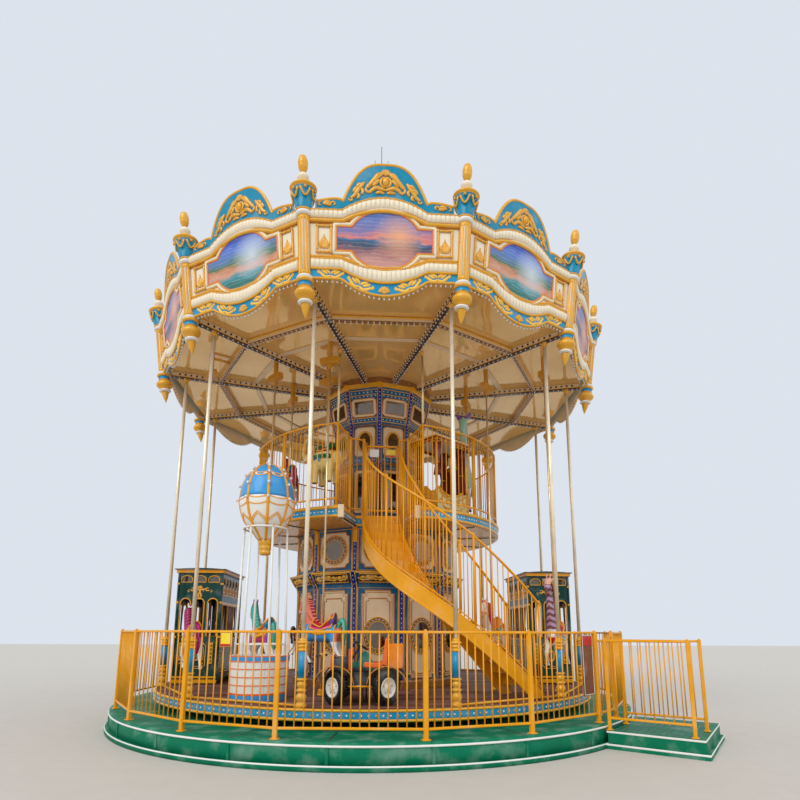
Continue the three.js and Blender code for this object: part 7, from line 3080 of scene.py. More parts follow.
def elephant_skin(size):
    """Skin of an elephant from overlapping limbs."""
    clay = Shape()
    limb(clay, scaled(ELEPHANT_TRUNK, size))
    points = [
        (0.3, 0, 0.19, 0.15, 0.14), (0.43, 0, 0.22, 0.19, 0.17), (0.55, 0, 0.17, 0.15, 0.135),
        (0.61, 0, 0.14, 0.11, 0.1),
    ]
    limb(clay, scaled(points, size))
    points = [
        (0.56, 0, 0.12, 0.1, 0.09), (0.68, 0, 0.16, 0.08, 0.072), (0.76, 0, 0.3, 0.064, 0.06),
        (0.76, 0, 0.48, 0.052, 0.05), (0.72, 0, 0.62, 0.042, 0.042), (0.67, 0, 0.68, 0.042, 0.042),
    ]
    limb(clay, scaled(points, size))
    for side in (-1, 1):
        for x in (-0.25, 0.24):
            points = [
                (x, side * 0.13, -0.02, 0.12, 0.1), (x, side * 0.145, -0.25, 0.098, 0.09),
                (x, side * 0.15, -0.44, 0.088, 0.085), (x, side * 0.15, -0.53, 0.1, 0.098),
            ]
            limb(clay, scaled(points, size), ends=(1.0, 0.25))
        points = [
            (0.56, side * 0.1, 0.1, 0.03, 0.03), (0.68, side * 0.13, 0.06, 0.025, 0.025),
            (0.77, side * 0.13, 0.1, 0.012, 0.012),
        ]
        limb(clay, scaled(points, size), 4, 10)
    return sculpted(clay, 0.015)


def trunk_at(trunk, x):
    """Middle height, half depth and half width of a trunk along x."""
    rows = curved(trunk, 8)
    return [np.interp(x, rows[:, 0], rows[:, k]) for k in (2, 3, 4)]


def draped(trunk, start, end, reach, gap, lift=(0, 0, 0), steps=17):
    """Grid of points over a trunk from start to end along x and reach degrees to each side, a gap above its
    skin. lift raises the middle line at the start, the middle and the end."""
    x = np.linspace(start, end, steps)
    z, depth, width = (part[:, None] for part in trunk_at(trunk, x))
    share = np.linspace(0, 1, steps)
    rise = np.interp(
        share, (0, 0.12, 0.5, 0.88, 1), (lift[0], lift[0] * 0.8, lift[1], lift[2] * 0.8, lift[2]),
    )[:, None]
    angle = np.radians(np.linspace(-reach, reach, 31))
    up = (depth + gap) * np.cos(angle) + rise * np.clip(np.cos(angle * 1.15), 0, 1)
    return np.stack(np.broadcast_arrays(x[:, None], (width + gap) * np.sin(angle), z + up), -1)


SADDLE_SPAN = (-0.16, 0.15)


def cover(shape, grid, under, finish_name, edge=None, size=0.011):
    """Moulded cover between two grids, with a cord round its edge."""
    shape.loft(np.concatenate([grid, under[:, ::-1]], axis=1), finish_name, smooth=True)
    if edge:
        rim = np.vstack([grid[0], grid[1:-1, -1], grid[-1, ::-1], grid[-2:0:-1, 0]])
        wire(shape, rim, size, edge, (0.31, 0.9, 0.3), loop=True)


def fringe(shape, grid, names):
    """Row of drops along the two lower edges of a cover."""
    drop = ball(0.012, names[0], 8, 6, 1.25)
    other = ball(0.008, names[-1], 6, 5)
    for edge in (grid[:, 0], grid[:, -1]):
        points = along(edge, 0.034)
        shape.copies(drop, spots(points - (0, 0, 0.015)))
        shape.copies(other, spots(points))


def saddle(shape, trunk, scheme):
    """Blanket with a fringe, a pad and a seat that rises to a high cantle and a pommel."""
    start, end = SADDLE_SPAN
    blanket = draped(trunk, start - 0.1, end + 0.07, 82, 0.012)
    cover(shape, blanket, draped(trunk, start - 0.1, end + 0.07, 82, 0.0), scheme["blanket"], scheme["edge"])
    fringe(shape, blanket, (scheme["edge"], "pearl"))
    dots = blanket[2:-1:3, 2:-2:4].reshape(-1, 3)
    balls(shape, dots, 0.011, scheme["dots"], 8, 5)
    band = draped(trunk, start - 0.05, end + 0.03, 58, 0.022, (0.02, 0, 0.01))
    cover(shape, band, draped(trunk, start - 0.05, end + 0.03, 58, 0.008), scheme["pad"], "smooth_gold")
    seat = draped(trunk, start, end, 40, 0.034, (0.13, 0.012, 0.07))
    cover(shape, seat, draped(trunk, start, end, 40, 0.016), scheme["seat"], scheme["edge"], 0.013)
    rear = draped(trunk, start - 0.07, start + 0.02, 36, 0.03, (0.17, 0.15, 0.11), 9)
    edge = draped(trunk, start - 0.07, start + 0.02, 36, 0.01, steps=9)
    cover(shape, rear, edge, scheme["cantle"][0], "smooth_gold")
    for k, name in enumerate(scheme["cantle"][1:]):
        path = rear[2 + 2 * k] + (0, 0, 0.003)
        wire(shape, path, (0.011, 0.008), name, (1, 0, 0))
    balls(shape, seat[-1, 15] + (0.005, 0, 0.012), 0.03, "smooth_gold", 12, 8)


def crest_points(neck, share):
    """Points on the crest of a neck at shares of its length, with the way out of the skin there."""
    rows = curved(neck, 8)
    index = np.asarray(share) * (len(rows) - 1)
    pick = lambda values: np.stack(
        [np.interp(index, np.arange(len(rows)), values[:, k]) for k in range(values.shape[1])], -1,
    )
    run = unit(pick(np.gradient(rows[:, :3], axis=0)))
    out = np.stack([-run[:, 2], 0 * run[:, 1], run[:, 0]], -1)
    picked = pick(rows)
    return picked[:, :3] + out * (picked[:, 3:4] * 0.8), out, run


def mane(shape, neck, names, flowing=False, count=18, last=1.0):
    """Locks along the crest of the neck: short upright ones, or long ones that fall to one side."""
    root, out, run = crest_points(neck, np.linspace(0.1, last, count))
    for k in range(count):
        a, o, r = root[k], out[k], run[k]
        if flowing:
            side = np.array([0, 1.0, 0])
            path = [
                a, a + o * 0.04 + side * 0.025, a + o * 0.01 + side * 0.085 - r * 0.03,
                a - o * 0.02 + side * 0.09 - r * 0.1 + (0, 0, -0.05),
                a + side * 0.075 - r * 0.15 + (0, 0, -0.13),
            ]
            rows = [(0.012, 0.016), (0.024, 0.028), (0.026, 0.024), (0.02, 0.016), (0.006, 0.006)]
        else:
            path = [a, a + o * 0.03 - r * 0.004, a + o * 0.055 - r * 0.01, a + o * 0.07 - r * 0.016]
            rows = [(0.018, 0.03), (0.019, 0.028), (0.017, 0.024), (0.01, 0.014)]
        limb(shape, np.column_stack([path, rows]), 3, 8, (0.3, 0.6), names[k % len(names)])


def tail(shape, size, names, count=7):
    """Tail of several locks that rise, bend and fall."""
    for k in range(count):
        turn = 2 * math.pi * k / count
        y, z = 0.028 * math.cos(turn), 0.026 * math.sin(turn)
        path = [
            (-0.43, y * 0.4, 0.1 + z * 0.3, 0.02, 0.02), (-0.5, y, 0.24 + z, 0.032, 0.032),
            (-0.58, y * 1.3, 0.25 + z, 0.036, 0.036), (-0.62, y * 1.4, 0.1 + z, 0.034, 0.034),
            (-0.6, y * 1.3, -0.05 + z, 0.03, 0.03),
            (-0.58 + 0.03 * math.sin(turn * 2), y * 1.1, -0.2 + z, 0.01, 0.01),
        ]
        limb(shape, scaled(path, size), 4, 8, (0.5, 0.6), names[k % len(names)])


def bridle(shape, size, head, strap, gems):
    """Straps round the head, a bit with rings, and eyes."""
    rows = curved(scaled(head, size), 8)
    for share in (0.2, 0.72):
        k = int(share * (len(rows) - 1))
        run = unit(rows[min(k + 1, len(rows) - 1), :3] - rows[k - 1, :3])
        hoop(shape, rows[k, :3], run, rows[k, 3] + 0.004, rows[k, 4] + 0.004, 0.009, strap, 0.5)
    k = int(0.72 * (len(rows) - 1))
    eye = rows[int(0.3 * (len(rows) - 1))]
    for side in (-1, 1):
        spot = rows[k, :3] + np.array([0, side * (rows[k, 4] + 0.006), 0])
        balls(shape, spot, 0.014, gems, 8, 6)
        balls(shape, eye[:3] + np.array([0.0, side * (eye[4] * 0.86), eye[3] * 0.42]), 0.0125, "black", 10, 8)
        balls(
            shape, eye[:3] + np.array([-0.002, side * (eye[4] * 0.8), eye[3] * 0.42]), 0.016, "cream", 10, 8
        )
        rein = np.array([
            spot, spot + (-0.1, side * 0.02, -0.03), (0.2 * size[0], side * 0.11 * size[1], 0.22 * size[2]),
        ])
        wire(shape, curved(rein, 6), (0.005, 0.009), strap, (0, 1, 0.2))


def breast_strap(shape, size, strap, gems):
    """Jewelled strap round the chest."""
    centre = np.array([0.36, 0, 0.03]) * size
    run = unit(np.array([0.72, 0, 0.5]))
    a, b = 0.178 * (size[0] + size[2]) / 2, 0.142 * size[1]
    hoop(shape, centre, run, a, b, 0.014, strap, 0.4, 36)
    across = FIGURE_Y
    for angle in np.radians(np.arange(100, 262, 20)):
        point = centre + np.cross(
            across, run,
        ) * (a + 0.006) * math.cos(angle) + across * (b + 0.006) * math.sin(angle)
        balls(shape, point, 0.015, gems, 8, 6)


def hooves(z):
    """Test of faces below a height."""
    return lambda x, y, level: level < z


HORSE_SIZE = np.array([0.66, 0.85, 0.9])
GIRAFFE_SIZE = np.array([0.66, 0.85, 0.85])
DEER_SIZE = np.array([0.6, 0.85, 1.1])
ELEPHANT_SIZE = np.array([0.7, 0.8, 0.8])
GIRAFFE_STOUT = 1.25
DEER_STOUT = 1.7
SCHEMES = {  # finishes of a horse and of its saddle
    "striped": {
        "coat": "coral", "breast": "balloon_blue", "legs": "pearl", "mane": ("coral", "wine"),
        "tail": ("mint", "turquoise"), "blanket": "band_blue", "dots": "rose", "pad": "rose",
        "seat": "red_paint", "edge": "fence_yellow", "cantle": ("violet", "rose", "fence_yellow"),
    },
    "plum": {
        "coat": "violet", "breast": "rose", "legs": "pearl", "mane": ("mint", "turquoise"),
        "tail": ("mint", "turquoise"), "blanket": "fence_yellow", "dots": "rose", "pad": "band_blue",
        "seat": "orange", "edge": "smooth_gold", "cantle": ("band_blue", "rose", "cream"),
    },
    "white_gold": {
        "coat": "pearl", "breast": "pearl", "legs": "pearl", "mane": ("rose", "red_paint"),
        "tail": ("rose", "red_paint"), "blanket": "band_blue", "dots": "smooth_gold", "pad": "turquoise",
        "seat": "orange", "edge": "fence_yellow", "cantle": ("base_green", "cream", "orange"),
    },
    "white_rose": {
        "coat": "pearl", "breast": "pearl", "legs": "pearl", "mane": ("rose", "wine"),
        "tail": ("rose", "wine"), "blanket": "fence_yellow", "dots": "pearl", "pad": "violet",
        "seat": "wine", "edge": "smooth_gold", "cantle": ("rose", "cream", "orange"),
    },
    "white_blue": {
        "coat": "pearl", "breast": "blush", "legs": "pearl", "mane": ("band_blue", "strip_blue"),
        "tail": ("band_blue", "strip_blue"), "blanket": "mint", "dots": "smooth_gold", "pad": "orange",
        "seat": "strip_blue", "edge": "smooth_gold", "cantle": ("orange", "cream", "band_blue"),
    },
    "bay": {
        "coat": "brown", "breast": "brown", "legs": "cream", "mane": ("black", "brown"),
        "tail": ("black", "brown"), "blanket": "band_blue", "dots": "pearl", "pad": "red_paint",
        "seat": "cream", "edge": "smooth_gold", "cantle": ("red_paint", "smooth_gold", "cream"),
    },
}
FLOWING_MANES = (1, 2, 3, 5)
HORSE_SCHEMES = ("striped", "plum", "white_gold", "white_rose", "white_blue", "bay")


def horse(skin, scheme, flowing):
    """Painted horse with its saddle, mane, tail, bridle and breast strap."""
    s = HORSE_SIZE
    zones = [
        (scheme["coat"], None),
        (
            scheme["breast"],
            lambda x, y, z: (np.abs(x) < 0.33 * s[0] + 0.06) & (z > -0.16 * s[2]) & (z < 0.2 * s[2]),
        ),
        (scheme["legs"], lambda x, y, z: z < -0.13 * s[2]),
        ("blush", lambda x, y, z: (x > 0.56 * s[0]) & (z < 0.47 * s[2]) & (z > 0.3 * s[2])),
        ("black", hooves(-0.5 * s[2])),
    ]
    shape = painted_skin(skin, zones)
    trunk, neck = scaled(HORSE_TRUNK, s), scaled(HORSE_NECK, s)
    saddle(shape, trunk, scheme)
    mane(shape, neck, scheme["mane"], flowing)
    for side in (-1, 1):
        top = np.array([0.475, 0, 0.73]) * s
        lock = np.array([
            (*top, 0.014, 0.016), (top[0] + 0.04, side * 0.012, top[2] - 0.005, 0.014, 0.014),
            (top[0] + 0.07, side * 0.016, top[2] - 0.05, 0.005, 0.006),
        ])
        limb(shape, lock, 3, 8, (0.4, 0.6), scheme["mane"][0])
    tail(shape, s, scheme["tail"])
    bridle(shape, s, HORSE_HEAD, scheme["seat"], "smooth_gold")
    breast_strap(shape, s, scheme["pad"], scheme["dots"])
    return shape


def rider_rest(shape):
    """Foot bar through the pole under the trunk, with its clamp."""
    bar(shape, (0, -0.2, -0.34), (0, 0.2, -0.34), 0.022, "steel", 10)
    collar = [(-0.375, 0.024, 0, "smooth_gold"), (-0.37, 0.03, 0.004), (-0.31, 0.03), (-0.305, 0.022)]
    turned(shape, collar, 14)
    for side in (-1, 1):
        balls(shape, (0, side * 0.2, -0.34), 0.018, "black", 8, 6, 1.2)


def ride_pole(shape, spot, low, high, radius):
    """Brass pole at a spot, between two heights."""
    place = shifted(spot[0], spot[1], 0)
    turned(shape, [(low, radius, 0, "brass"), (high, radius)], 14, place)


class CAROUSEL_OT_horses(bpy.types.Operator):
    """Six jumping horses on their poles, each in colours of its own"""

    bl_idname = "carousel.horses"
    bl_label = "Jumping horses"

    def execute(self, context):
        radius = context.scene.carousel_sizes.pole
        skin = horse_skin(HORSE_SIZE)
        for k, ((azimuth, z), name) in enumerate(zip(JUMPERS, HORSE_SCHEMES)):
            shape = horse(skin, SCHEMES[name], k in FLOWING_MANES)
            rider_rest(shape)
            spot = pole_spot(azimuth, k)
            turn = 180 + azimuth
            shape = shape.moved(lambda p: about_z(p, turn) + spot + (0, 0, z))
            ride_pole(shape, spot, POLE_FOOT, POLE_HEAD, radius)
            body = f"horse_{k + 1:02d}"
            shape.object(f"jumper_{k + 1:02d}", body, body, slot="white_gloss")
        return {"FINISHED"}


def standing(shape, azimuth, radius, floor, height):
    """Places a figure and gives it its pole from the floor to the ceiling."""
    spot = polar(radius, azimuth)
    shape = shape.moved(ride_place(azimuth, radius, floor + height))
    place = shifted(*spot)
    pole = bpy.context.scene.carousel_sizes.pole
    ride_pole(shape, spot, floor + 0.001, SWEEP_HIGH - 0.004, pole)
    foot = [
        (floor + 0.001, 0.07, 0, "smooth_gold"), (floor + 0.02, 0.068, 0.01), (floor + 0.07, 0.035, 0.006),
        (floor + 0.12, 0.024),
    ]
    turned(shape, foot, 18, place)
    pole_sleeve(shape, spot)
    return shape


def giraffe():
    """White body and legs, a brown head, and a neck of pale scales between dark and gold chains."""
    s = GIRAFFE_SIZE
    skin = long_necked_skin(s, True, GIRAFFE_STOUT)
    neck = scaled(LONG_NECK, s) * (1, 1, 1, GIRAFFE_STOUT, GIRAFFE_STOUT)
    wave = lambda x, y, z: np.sin((z + 0.5 * np.abs(y)) * 2 * np.pi / 0.11)
    on_neck = lambda x, y, z: (z > 0.2) & (x > 0.12)
    zones = [
        ("pearl", None),
        ("lilac", on_neck),
        ("rosewood", lambda x, y, z: on_neck(x, y, z) & (wave(x, y, z) > 0.1)),
        ("blush", lambda x, y, z: z > 0.98),
        ("lilac", lambda x, y, z: (z > 1.09) & (np.abs(y) > 0.045)),
        ("black", hooves(-0.5 * s[2])),
    ]
    shape = painted_skin(skin, zones)
    scheme = {
        "blanket": "band_blue", "dots": "smooth_gold", "pad": "rose", "seat": "red_paint",
        "edge": "smooth_gold", "cantle": ("rose", "cream", "orange"),
    }
    saddle(shape, scaled(HORSE_TRUNK, s), scheme)
    rows = curved(neck, 8)
    for share in (0.35, 0.5, 0.65, 0.8):
        k = int(share * (len(rows) - 1))
        for drop, name in ((0.0, "black"), (0.022, "smooth_gold")):
            run = unit(rows[k + 1, :3] - rows[k - 1, :3] + (0.12, 0, 0))
            hoop(shape, rows[k, :3] - run * drop, run, rows[k, 3] + 0.004, rows[k, 4] + 0.004, 0.008, name)
        balls(shape, rows[k, :3] + (rows[k, 3] + 0.008, 0, -0.03), 0.016, "smooth_gold", 8, 6)
    front = np.array([0.345, 0, 0.05]) * s + (0.05, 0, 0)
    balls(shape, front, 0.07, "red_paint", 14, 10, 1.3)
    hoop(shape, front + (0.035, 0, 0), (1, 0, 0), 0.062, 0.048, 0.009, "smooth_gold")
    mane(shape, neck, ("brown",), False, 22, 0.95)
    tail(shape, s, ("brown", "black"))
    bridle(shape, s, LONG_HEAD, "wine", "smooth_gold")
    return shape


def deer():
    """Mint figure with a slender neck and tall ears lined with violet."""
    s = DEER_SIZE
    skin = long_necked_skin(s, False, DEER_STOUT)
    zones = [
        ("sage", None),
        ("pearl", lambda x, y, z: (z < -0.1 * s[2]) & (z > -0.5 * s[2])),
        ("violet", lambda x, y, z: (z > 1.3 * s[2]) & (x > 0.455 * s[0])),
        ("mint", lambda x, y, z: (z > 1.3 * s[2]) & (x <= 0.455 * s[0])),
        ("brown", hooves(-0.5 * s[2])),
    ]
    shape = painted_skin(skin, zones)
    scheme = {
        "blanket": "violet", "dots": "smooth_gold", "pad": "rose", "seat": "wine", "edge": "smooth_gold",
        "cantle": ("rose", "cream", "smooth_gold"),
    }
    saddle(shape, scaled(HORSE_TRUNK, s), scheme)
    neck = curved(scaled(LONG_NECK, s) * (1, 1, 1, DEER_STOUT, DEER_STOUT), 8)
    for k in (14, 20):
        hoop(shape, neck[k, :3], (0.1, 0, 1), neck[k, 3] + 0.004, neck[k, 4] + 0.004, 0.01, "smooth_gold")
    tail(shape, s * (1, 1, 0.6), ("mint", "pearl"))
    bridle(shape, s, LONG_HEAD, "violet", "smooth_gold")
    return shape


def jewelled_ear(side):
    """Broad ear: a rippled fan from the side of the head, with a gold rim."""
    shape = Shape()
    angle = np.radians(np.linspace(-118, 62, 25))
    reach = np.array([0.05, 0.4, 0.75, 1.0])
    size = 0.19 * (1 - 0.16 * np.sin(angle) + 0.03 * np.cos(angle * 7))
    grid = np.stack([
        -0.02 - reach[:, None] * size * 0.75 * np.abs(np.cos((angle - 0.2) * 0.8)),
        side * (0.02 + 0.05 * reach[:, None] ** 1.5 + 0.008 * np.cos(angle * 9) * reach[:, None]),
        reach[:, None] * size * np.sin(angle),
    ], -1)
    back = grid - np.array([0, side * 0.014, 0])
    shape.loft(np.concatenate([grid, back[:, ::-1]], axis=1), "butter", smooth=True)
    wire(shape, grid[-1], 0.01, "smooth_gold", (0, 1, 0))
    flat_ball = ball(0.032, "violet", 12, 8, 1.3).moved(lambda p: p * (1, 0.4, 1))
    shape.copies(flat_ball, spots((-0.1, side * 0.07, -0.01)))
    return shape


def elephant():
    """Cream elephant with a raised trunk, a saddle edged with green points and oval jewels."""
    s = ELEPHANT_SIZE
    zones = [
        ("butter", None), ("pearl", lambda x, y, z: (x > 0.43) & (np.abs(y) > 0.06) & (z < 0.12)),
        ("deep_gold", hooves(-0.54 * s[2])),
    ]
    shape = painted_skin(elephant_skin(s), zones)
    trunk = scaled(ELEPHANT_TRUNK, s)
    blanket = draped(trunk, -0.24, 0.17, 80, 0.012)
    cover(shape, blanket, draped(trunk, -0.24, 0.17, 80, 0.0), "butter", "smooth_gold", 0.012)
    top = draped(trunk, -0.17, 0.12, 50, 0.026, (0.09, 0.01, 0.05))
    cover(shape, top, draped(trunk, -0.17, 0.12, 50, 0.01), "wine", "smooth_gold", 0.013)
    for side in (-1, 1):
        shape.also(jewelled_ear(side).moved(shifted(0.3, side * 0.125, 0.2)))
        for x, z, name in ((-0.2, 0.06, "violet"), (0.0, 0.02, "balloon_blue"), (0.13, 0.06, "violet")):
            level, depth, width = trunk_at(trunk, x)
            y = side * (width + 0.012) * math.sqrt(max(0.0, 1 - ((z - level) / depth) ** 2))
            shape.copies(ball(0.042, name, 14, 8, 1.35).moved(lambda p: p * (0.8, 0.35, 1)), spots((x, y, z)))
        balls(shape, (0.37, side * 0.105, 0.2), 0.017, "black", 10, 8)
    for edge in (blanket[:, 0], blanket[:, -1], top[0], top[-1]):
        tooth = ball(0.032, "base_green", 8, 6, 1.5)
        shape.copies(tooth, spots(along(edge, 0.05)))
    for k, z in enumerate((0.18, 0.3, 0.42)):
        hoop(
            shape, (0.53 - 0.004 * k, 0, z), (0, 0, 1), 0.056 - 0.006 * k, 0.053 - 0.006 * k, 0.006,
            "smooth_gold",
        )
    hoop(shape, (0.3, 0, 0.2), (1, 0, -0.2), 0.152, 0.14, 0.012, "smooth_gold", 0.5, 36)
    tail(shape, s * (0.75, 0.5, 0.9), ("cream",), 3)
    return shape


class CAROUSEL_OT_figures(bpy.types.Operator):
    """Figures that don't rise: a giraffe below, and an elephant, a horse and a deer on the upper deck"""

    bl_idname = "carousel.figures"
    bl_label = "Standing figures"

    def execute(self, context):
        mauve = dict(SCHEMES["plum"], mane=("rose", "wine"), tail=("rose", "wine"), legs="lilac")
        figures = (
            ("tall_giraffe", "giraffe", giraffe(), 55, 3.93, DECK_TOP, 0.9, "cream_paint"),
            ("cream_elephant", "elephant", elephant(), -31, 2.05, LANDING_TOP, 1.04, "cream_paint"),
            (
                "mauve_horse", "upper_horse", horse(horse_skin(HORSE_SIZE), mauve, True), -68, 2.05,
                LANDING_TOP, 0.86, "white_gloss",
            ),
            ("mint_deer", "deer", deer(), 66, 2.1, LANDING_TOP, 0.85, "dark_green_paint"),
        )
        for name, replaced, shape, azimuth, radius, floor, height, slot in figures:
            standing(shape, azimuth, radius, floor, height).object(name, "carousel", replaced, slot=slot)
        return {"FINISHED"}


# Throne carriage
THRONE_PLACE = (40, 1.95, LANDING_TOP)
CANOPY_LOW = 1.55


def gathered(x, y, low, tie, high, wide, narrow, finish_name, folds=9):
    """Moulded hanging drawn in at a tie: r = r0 (1 + 0.18 cos(folds a)), with r0 smallest at the tie."""
    shape = Shape()
    angle = ring(folds * 6)
    rows = []
    for z in np.linspace(low, high, 15):
        pull = min(1.0, abs(z - tie) / (0.45 * (high - low)))
        r0 = narrow + (wide - narrow) * pull**0.8
        r = r0 * (1 + 0.18 * np.cos(folds * angle))
        rows.append(joined(x + 0.7 * r * np.cos(angle), y + r * np.sin(angle), z))
    shape.loft(rows, finish_name, smooth=True)
    hoop(shape, (x, y, tie), (0, 0, 1), narrow * 0.8, narrow * 1.15, 0.012, "smooth_gold")
    return shape


def throne_side(side):
    """Carved side: a panel whose top sweeps up to the back in scrolls, with leaves and a boss."""
    line = np.vstack([
        curved(
            [(0.46, 0.5), (0.4, 0.53), (0.3, 0.46), (0.12, 0.4), (-0.1, 0.42), (-0.3, 0.52), (-0.46, 0.57)],
            5,
        ),
        [(-0.46, 0.08), (0.46, 0.08)],
    ])
    shape = Shape()
    extruded(shape, line, side * 0.285 - 0.02, side * 0.285 + 0.02, "butter", 0.008, 1)
    field = Shape()
    rim = layer(line, 0.0)
    wire(field, rim, (0.026, 0.024), "fence_yellow", loop=True)
    strokes = [
        (curl((0.1, 0.27), 0.085, -40, 300, 0.3), 0.045),
        ([(0.02, 0.2), (0.1, 0.14), (0.22, 0.15), (0.3, 0.22)], 0.05),
        (curl((0.33, 0.28), 0.06, -80, 280, 0.3), 0.035),
        ([(0.14, 0.36), (0.24, 0.37), (0.33, 0.42), (0.4, 0.46)], 0.04),
        ([(0.02, 0.3), (0.04, 0.36), (0.0, 0.39)], 0.035),
    ]
    field.also(ornament(strokes))
    field.copies(shell_fan(0.09, 7, 0.04), [at(0, 0.22, 0.004)])
    balls(field, (0, 0.205, 0.02), 0.028, "red_paint", 12, 8)
    shape.also(field.moved(side_place(side, 0.306)))
    return shape


def throne_bench(shape):
    """Carved gilded sides, a panelled back, a moulded red seat and the carved front."""
    for side in (-1, 1):
        shape.also(throne_side(side))
    extruded(shape, outline(0.5, 0.04) + (0, 0.045), -0.31, 0.31, "smooth_gold", 0.01, 1)
    for x in (-0.3, 0.0, 0.3):
        block(shape, (x - 0.06, -0.28, 0.0), (x + 0.06, 0.28, 0.01), "bronze")
    back = np.vstack([
        np.array([(-0.31, 0.05), (0.31, 0.05), (0.31, 1.1)]),
        curved([(0.29, 1.16), (0.16, 1.2), (0.0, 1.29), (-0.16, 1.2), (-0.29, 1.16)], 5), [(-0.31, 1.1)],
    ])
    extruded(shape, back, -0.48, -0.42, "smooth_gold", 0.01)
    lining = folded(-0.25, 0.25, 0.5, 1.1, 9, 0.0, "velvet", 0.014)
    shape.also(lining.moved(end_place(1, -0.42)))
    seat = np.array([
        (-0.44, 0.09), (-0.075, 0.09), (-0.075, 0.4), (-0.06, 0.42), (-0.075, 0.46), (-0.25, 0.445),
        (-0.44, 0.46),
    ])
    for k in range(3):
        low = -0.26 + 0.52 * k / 3
        extruded(shape, seat, low + 0.002, low + 0.52 / 3 - 0.002, "velvet", 0.016, 1)
    front = np.vstack([
        [(-0.3, 0.09), (0.3, 0.09), (0.3, 0.42)],
        curved([(0.28, 0.47), (0.15, 0.48), (0.0, 0.6), (-0.15, 0.48), (-0.28, 0.47)], 5), [(-0.3, 0.42)],
    ])
    extruded(shape, front, 0.43, 0.475, "smooth_gold", 0.008)
    crest = Shape()
    crest.copies(crest_carving(), [at(0, 0.3, 0.0, 0, 0.5)])
    shape.also(crest.moved(lambda p: np.stack([0.477 + p[..., 2], -p[..., 0], p[..., 1]], -1)))


def throne_posts(shape):
    """Four turned posts, with red hangings gathered beside them."""
    post = Shape()
    profile = [
        (0.4, 0.024, 0, "smooth_gold"), (0.42, 0.026, 0.006), (0.52, 0.02), (0.54, 0.016, 0.008),
        (1.0, 0.016), (1.02, 0.022, 0.006), (1.06, 0.016), (1.4, 0.016, 0.004), (1.42, 0.026, 0.004),
        (1.5, 0.028),
    ]
    turned(post, profile, 16)
    for x in (-0.44, 0.44):
        for y in (-0.285, 0.285):
            shape.copies(post, [at(x, y)])
    for y in (-0.25, 0.25):
        shape.also(gathered(-0.34, y, 0.5, 0.9, 1.48, 0.11, 0.045, "velvet"))
        shape.also(gathered(0.37, y, 0.8, 1.05, 1.48, 0.085, 0.035, "velvet", 7))


def throne_canopy(shape):
    """Low domed canopy with a valance of red scallops and a knob."""
    extruded(shape, outline(0.51, 0.03) + (0, 1.52), -0.35, 0.35, "cream", 0.008, 1)
    rim = outline(0.51, 0.35, rounded(0.02))
    for z, size in ((1.49, 0.014), (CANOPY_LOW, 0.018)):
        wire(shape, layer(rim, z), size, "fence_yellow", loop=True)
    for side in (-1, 1):
        for reach, carried in ((0.51, side_place(side, 0.345)), (0.35, end_place(side, 0.505))):
            count = round(reach / 0.06)
            u = np.linspace(-reach, reach, count * 8 + 1)
            edge = 1.485 - 0.055 * np.abs(np.sin(np.pi * count * (u + reach) / (2 * reach))) ** 0.6
            valance = Shape()
            rows = [
                joined(u, v, w)
                for v, w in ((edge, 0), (edge, 0.012), (CANOPY_LOW, 0.012), (CANOPY_LOW, 0))
            ]
            valance.loft(np.stack(rows, 1), "velvet")
            wire(valance, joined(u, edge, 0.012), 0.009, "smooth_gold")
            shape.also(valance.moved(carried))
    rows = []
    for share in np.linspace(0, 1, 8):
        grow = math.cos(share * math.pi / 2)
        rows.append(layer(rim * max(grow, 0.05), CANOPY_LOW + 0.017 + 0.1 * math.sin(share * math.pi / 2)))
    shape.loft(rows, "cream", smooth=True)
    balls(shape, (0, 0, 1.69), 0.035, "smooth_gold", 12, 8, 1.3)


def throne():
    """Throne carriage about its own origin."""
    shape = Shape()
    throne_bench(shape)
    throne_posts(shape)
    throne_canopy(shape)
    return shape


class CAROUSEL_OT_throne(bpy.types.Operator):
    """Throne carriage on the upper deck"""

    bl_idname = "carousel.throne"
    bl_label = "Throne carriage"

    def execute(self, context):
        shape = throne().moved(ride_place(*THRONE_PLACE))
        shape.object("canopied_throne", "carousel", "throne_carriage", slot="red_fabric")
        return {"FINISHED"}


# Stage
CAMERA_SPOT = (-0.165, -11.97, 1.67)
CAMERA_HEADING = 0.0564
CAMERA_PITCH = 0.1804
CAMERA_ROLL = 0.0037
CAMERA_LENS = 24.2
CAMERA_SHIFT = 0.1675
CAMERA_SENSOR = 36
VIEW_END = 300
STAGE_REACH = 60.0
STAGE_PAINT = (0.6, 0.56, 0.5)
SKY = (0.72, 0.77, 0.84, 1)
SUN_COLOUR = (1.0, 0.97, 0.92)
SUNS = (("key", 1.3, 50, -35, 40), ("fill", 0.35, 60, 60, 60))  # name, strength, tilt, heading and width


def stage_floor(scene):
    """Pale level floor."""
    mesh = bpy.data.meshes.new("stage_floor")
    r = STAGE_REACH
    mesh.from_pydata([(-r, -r, 0), (r, -r, 0), (r, r, 0), (-r, r, 0)], [], [(0, 1, 2, 3)])
    mesh.materials.append(painted("stage_paint", STAGE_PAINT, rough=0.75, coat=0.0, mottle=0.03))
    floor = bpy.data.objects.new("stage_floor", mesh)
    scene.collection.objects.link(floor)


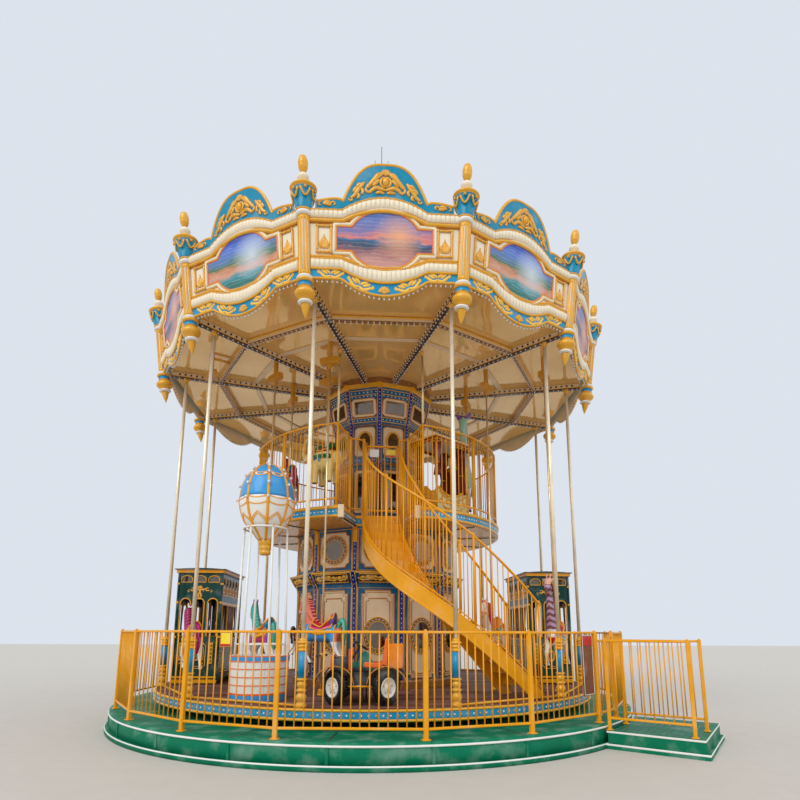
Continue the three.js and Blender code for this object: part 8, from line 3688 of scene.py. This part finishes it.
def stage_lights(scene):
    """Even sky and two soft suns."""
    world = bpy.data.worlds.new("soft_sky")
    scene.world = world
    world.use_nodes = True
    background = world.node_tree.nodes["Background"]
    background.inputs["Color"].default_value = SKY
    background.inputs["Strength"].default_value = 1.0
    for name, energy, tilt, heading, spread in SUNS:
        lamp = bpy.data.lights.new("sun_" + name, "SUN")
        lamp.energy = energy
        lamp.angle = math.radians(spread)
        lamp.color = SUN_COLOUR
        made = bpy.data.objects.new("sun_" + name, lamp)
        made.rotation_euler = (math.radians(tilt), 0, math.radians(heading))
        scene.collection.objects.link(made)


def stage_camera(scene):
    """Camera at the photographer's place."""
    lens = bpy.data.cameras.new("photo_camera")
    lens.lens = CAMERA_LENS
    lens.sensor_width = CAMERA_SENSOR
    lens.shift_y = CAMERA_SHIFT
    lens.clip_end = VIEW_END
    camera = bpy.data.objects.new("photo_camera", lens)
    camera.matrix_world = (
        Matrix.Translation(CAMERA_SPOT)
        @ Matrix.Rotation(-CAMERA_HEADING, 4, "Z")
        @ Matrix.Rotation(math.pi / 2 + CAMERA_PITCH, 4, "X")
        @ Matrix.Rotation(CAMERA_ROLL, 4, "Z")
    )
    scene.collection.objects.link(camera)
    scene.camera = camera


class CAROUSEL_OT_stage(bpy.types.Operator):
    """Pale floor, soft lights and the camera"""

    bl_idname = "carousel.stage"
    bl_label = "Stage, lights and camera"

    def execute(self, context):
        scene = context.scene
        scene.view_settings.view_transform = "Standard"
        stage_floor(scene)
        stage_lights(scene)
        stage_camera(scene)
        return {"FINISHED"}


class CAROUSEL_PT_panel(bpy.types.Panel):
    """Lists the pieces in the sidebar of the 3D view"""

    bl_label = "Carousel"
    bl_idname = "CAROUSEL_PT_panel"
    bl_space_type = "VIEW_3D"
    bl_region_type = "UI"
    bl_category = "Carousel"

    def draw(self, context):
        for operator in OPERATORS:
            self.layout.operator(operator.bl_idname)
        for group in (context.scene.carousel_sizes, context.scene.carousel_colours):
            for name in group.__annotations__:
                self.layout.prop(group, name)


OPERATORS = (
    CAROUSEL_OT_stage,
    CAROUSEL_OT_base,
    CAROUSEL_OT_fence,
    CAROUSEL_OT_platform,
    CAROUSEL_OT_posts,
    CAROUSEL_OT_core,
    CAROUSEL_OT_upper_deck,
    CAROUSEL_OT_stair,
    CAROUSEL_OT_ceiling,
    CAROUSEL_OT_canopy,
    CAROUSEL_OT_roof,
    CAROUSEL_OT_car,
    CAROUSEL_OT_balloon,
    CAROUSEL_OT_trams,
    CAROUSEL_OT_horses,
    CAROUSEL_OT_figures,
    CAROUSEL_OT_throne,
)
CLASSES = (CarouselColours, CarouselSizes, *OPERATORS, CAROUSEL_PT_panel)


def register():
    for each in CLASSES:
        bpy.utils.register_class(each)
    bpy.types.Scene.carousel_colours = bpy.props.PointerProperty(type=CarouselColours)
    bpy.types.Scene.carousel_sizes = bpy.props.PointerProperty(type=CarouselSizes)


def unregister():
    del bpy.types.Scene.carousel_sizes
    del bpy.types.Scene.carousel_colours
    for each in reversed(CLASSES):
        bpy.utils.unregister_class(each)


def main():
    """Registers the classes and makes all pieces."""
    register()
    for operator in OPERATORS:
        group, name = operator.bl_idname.split(".")
        getattr(getattr(bpy.ops, group), name)()


if __name__ == "__main__":
    main()
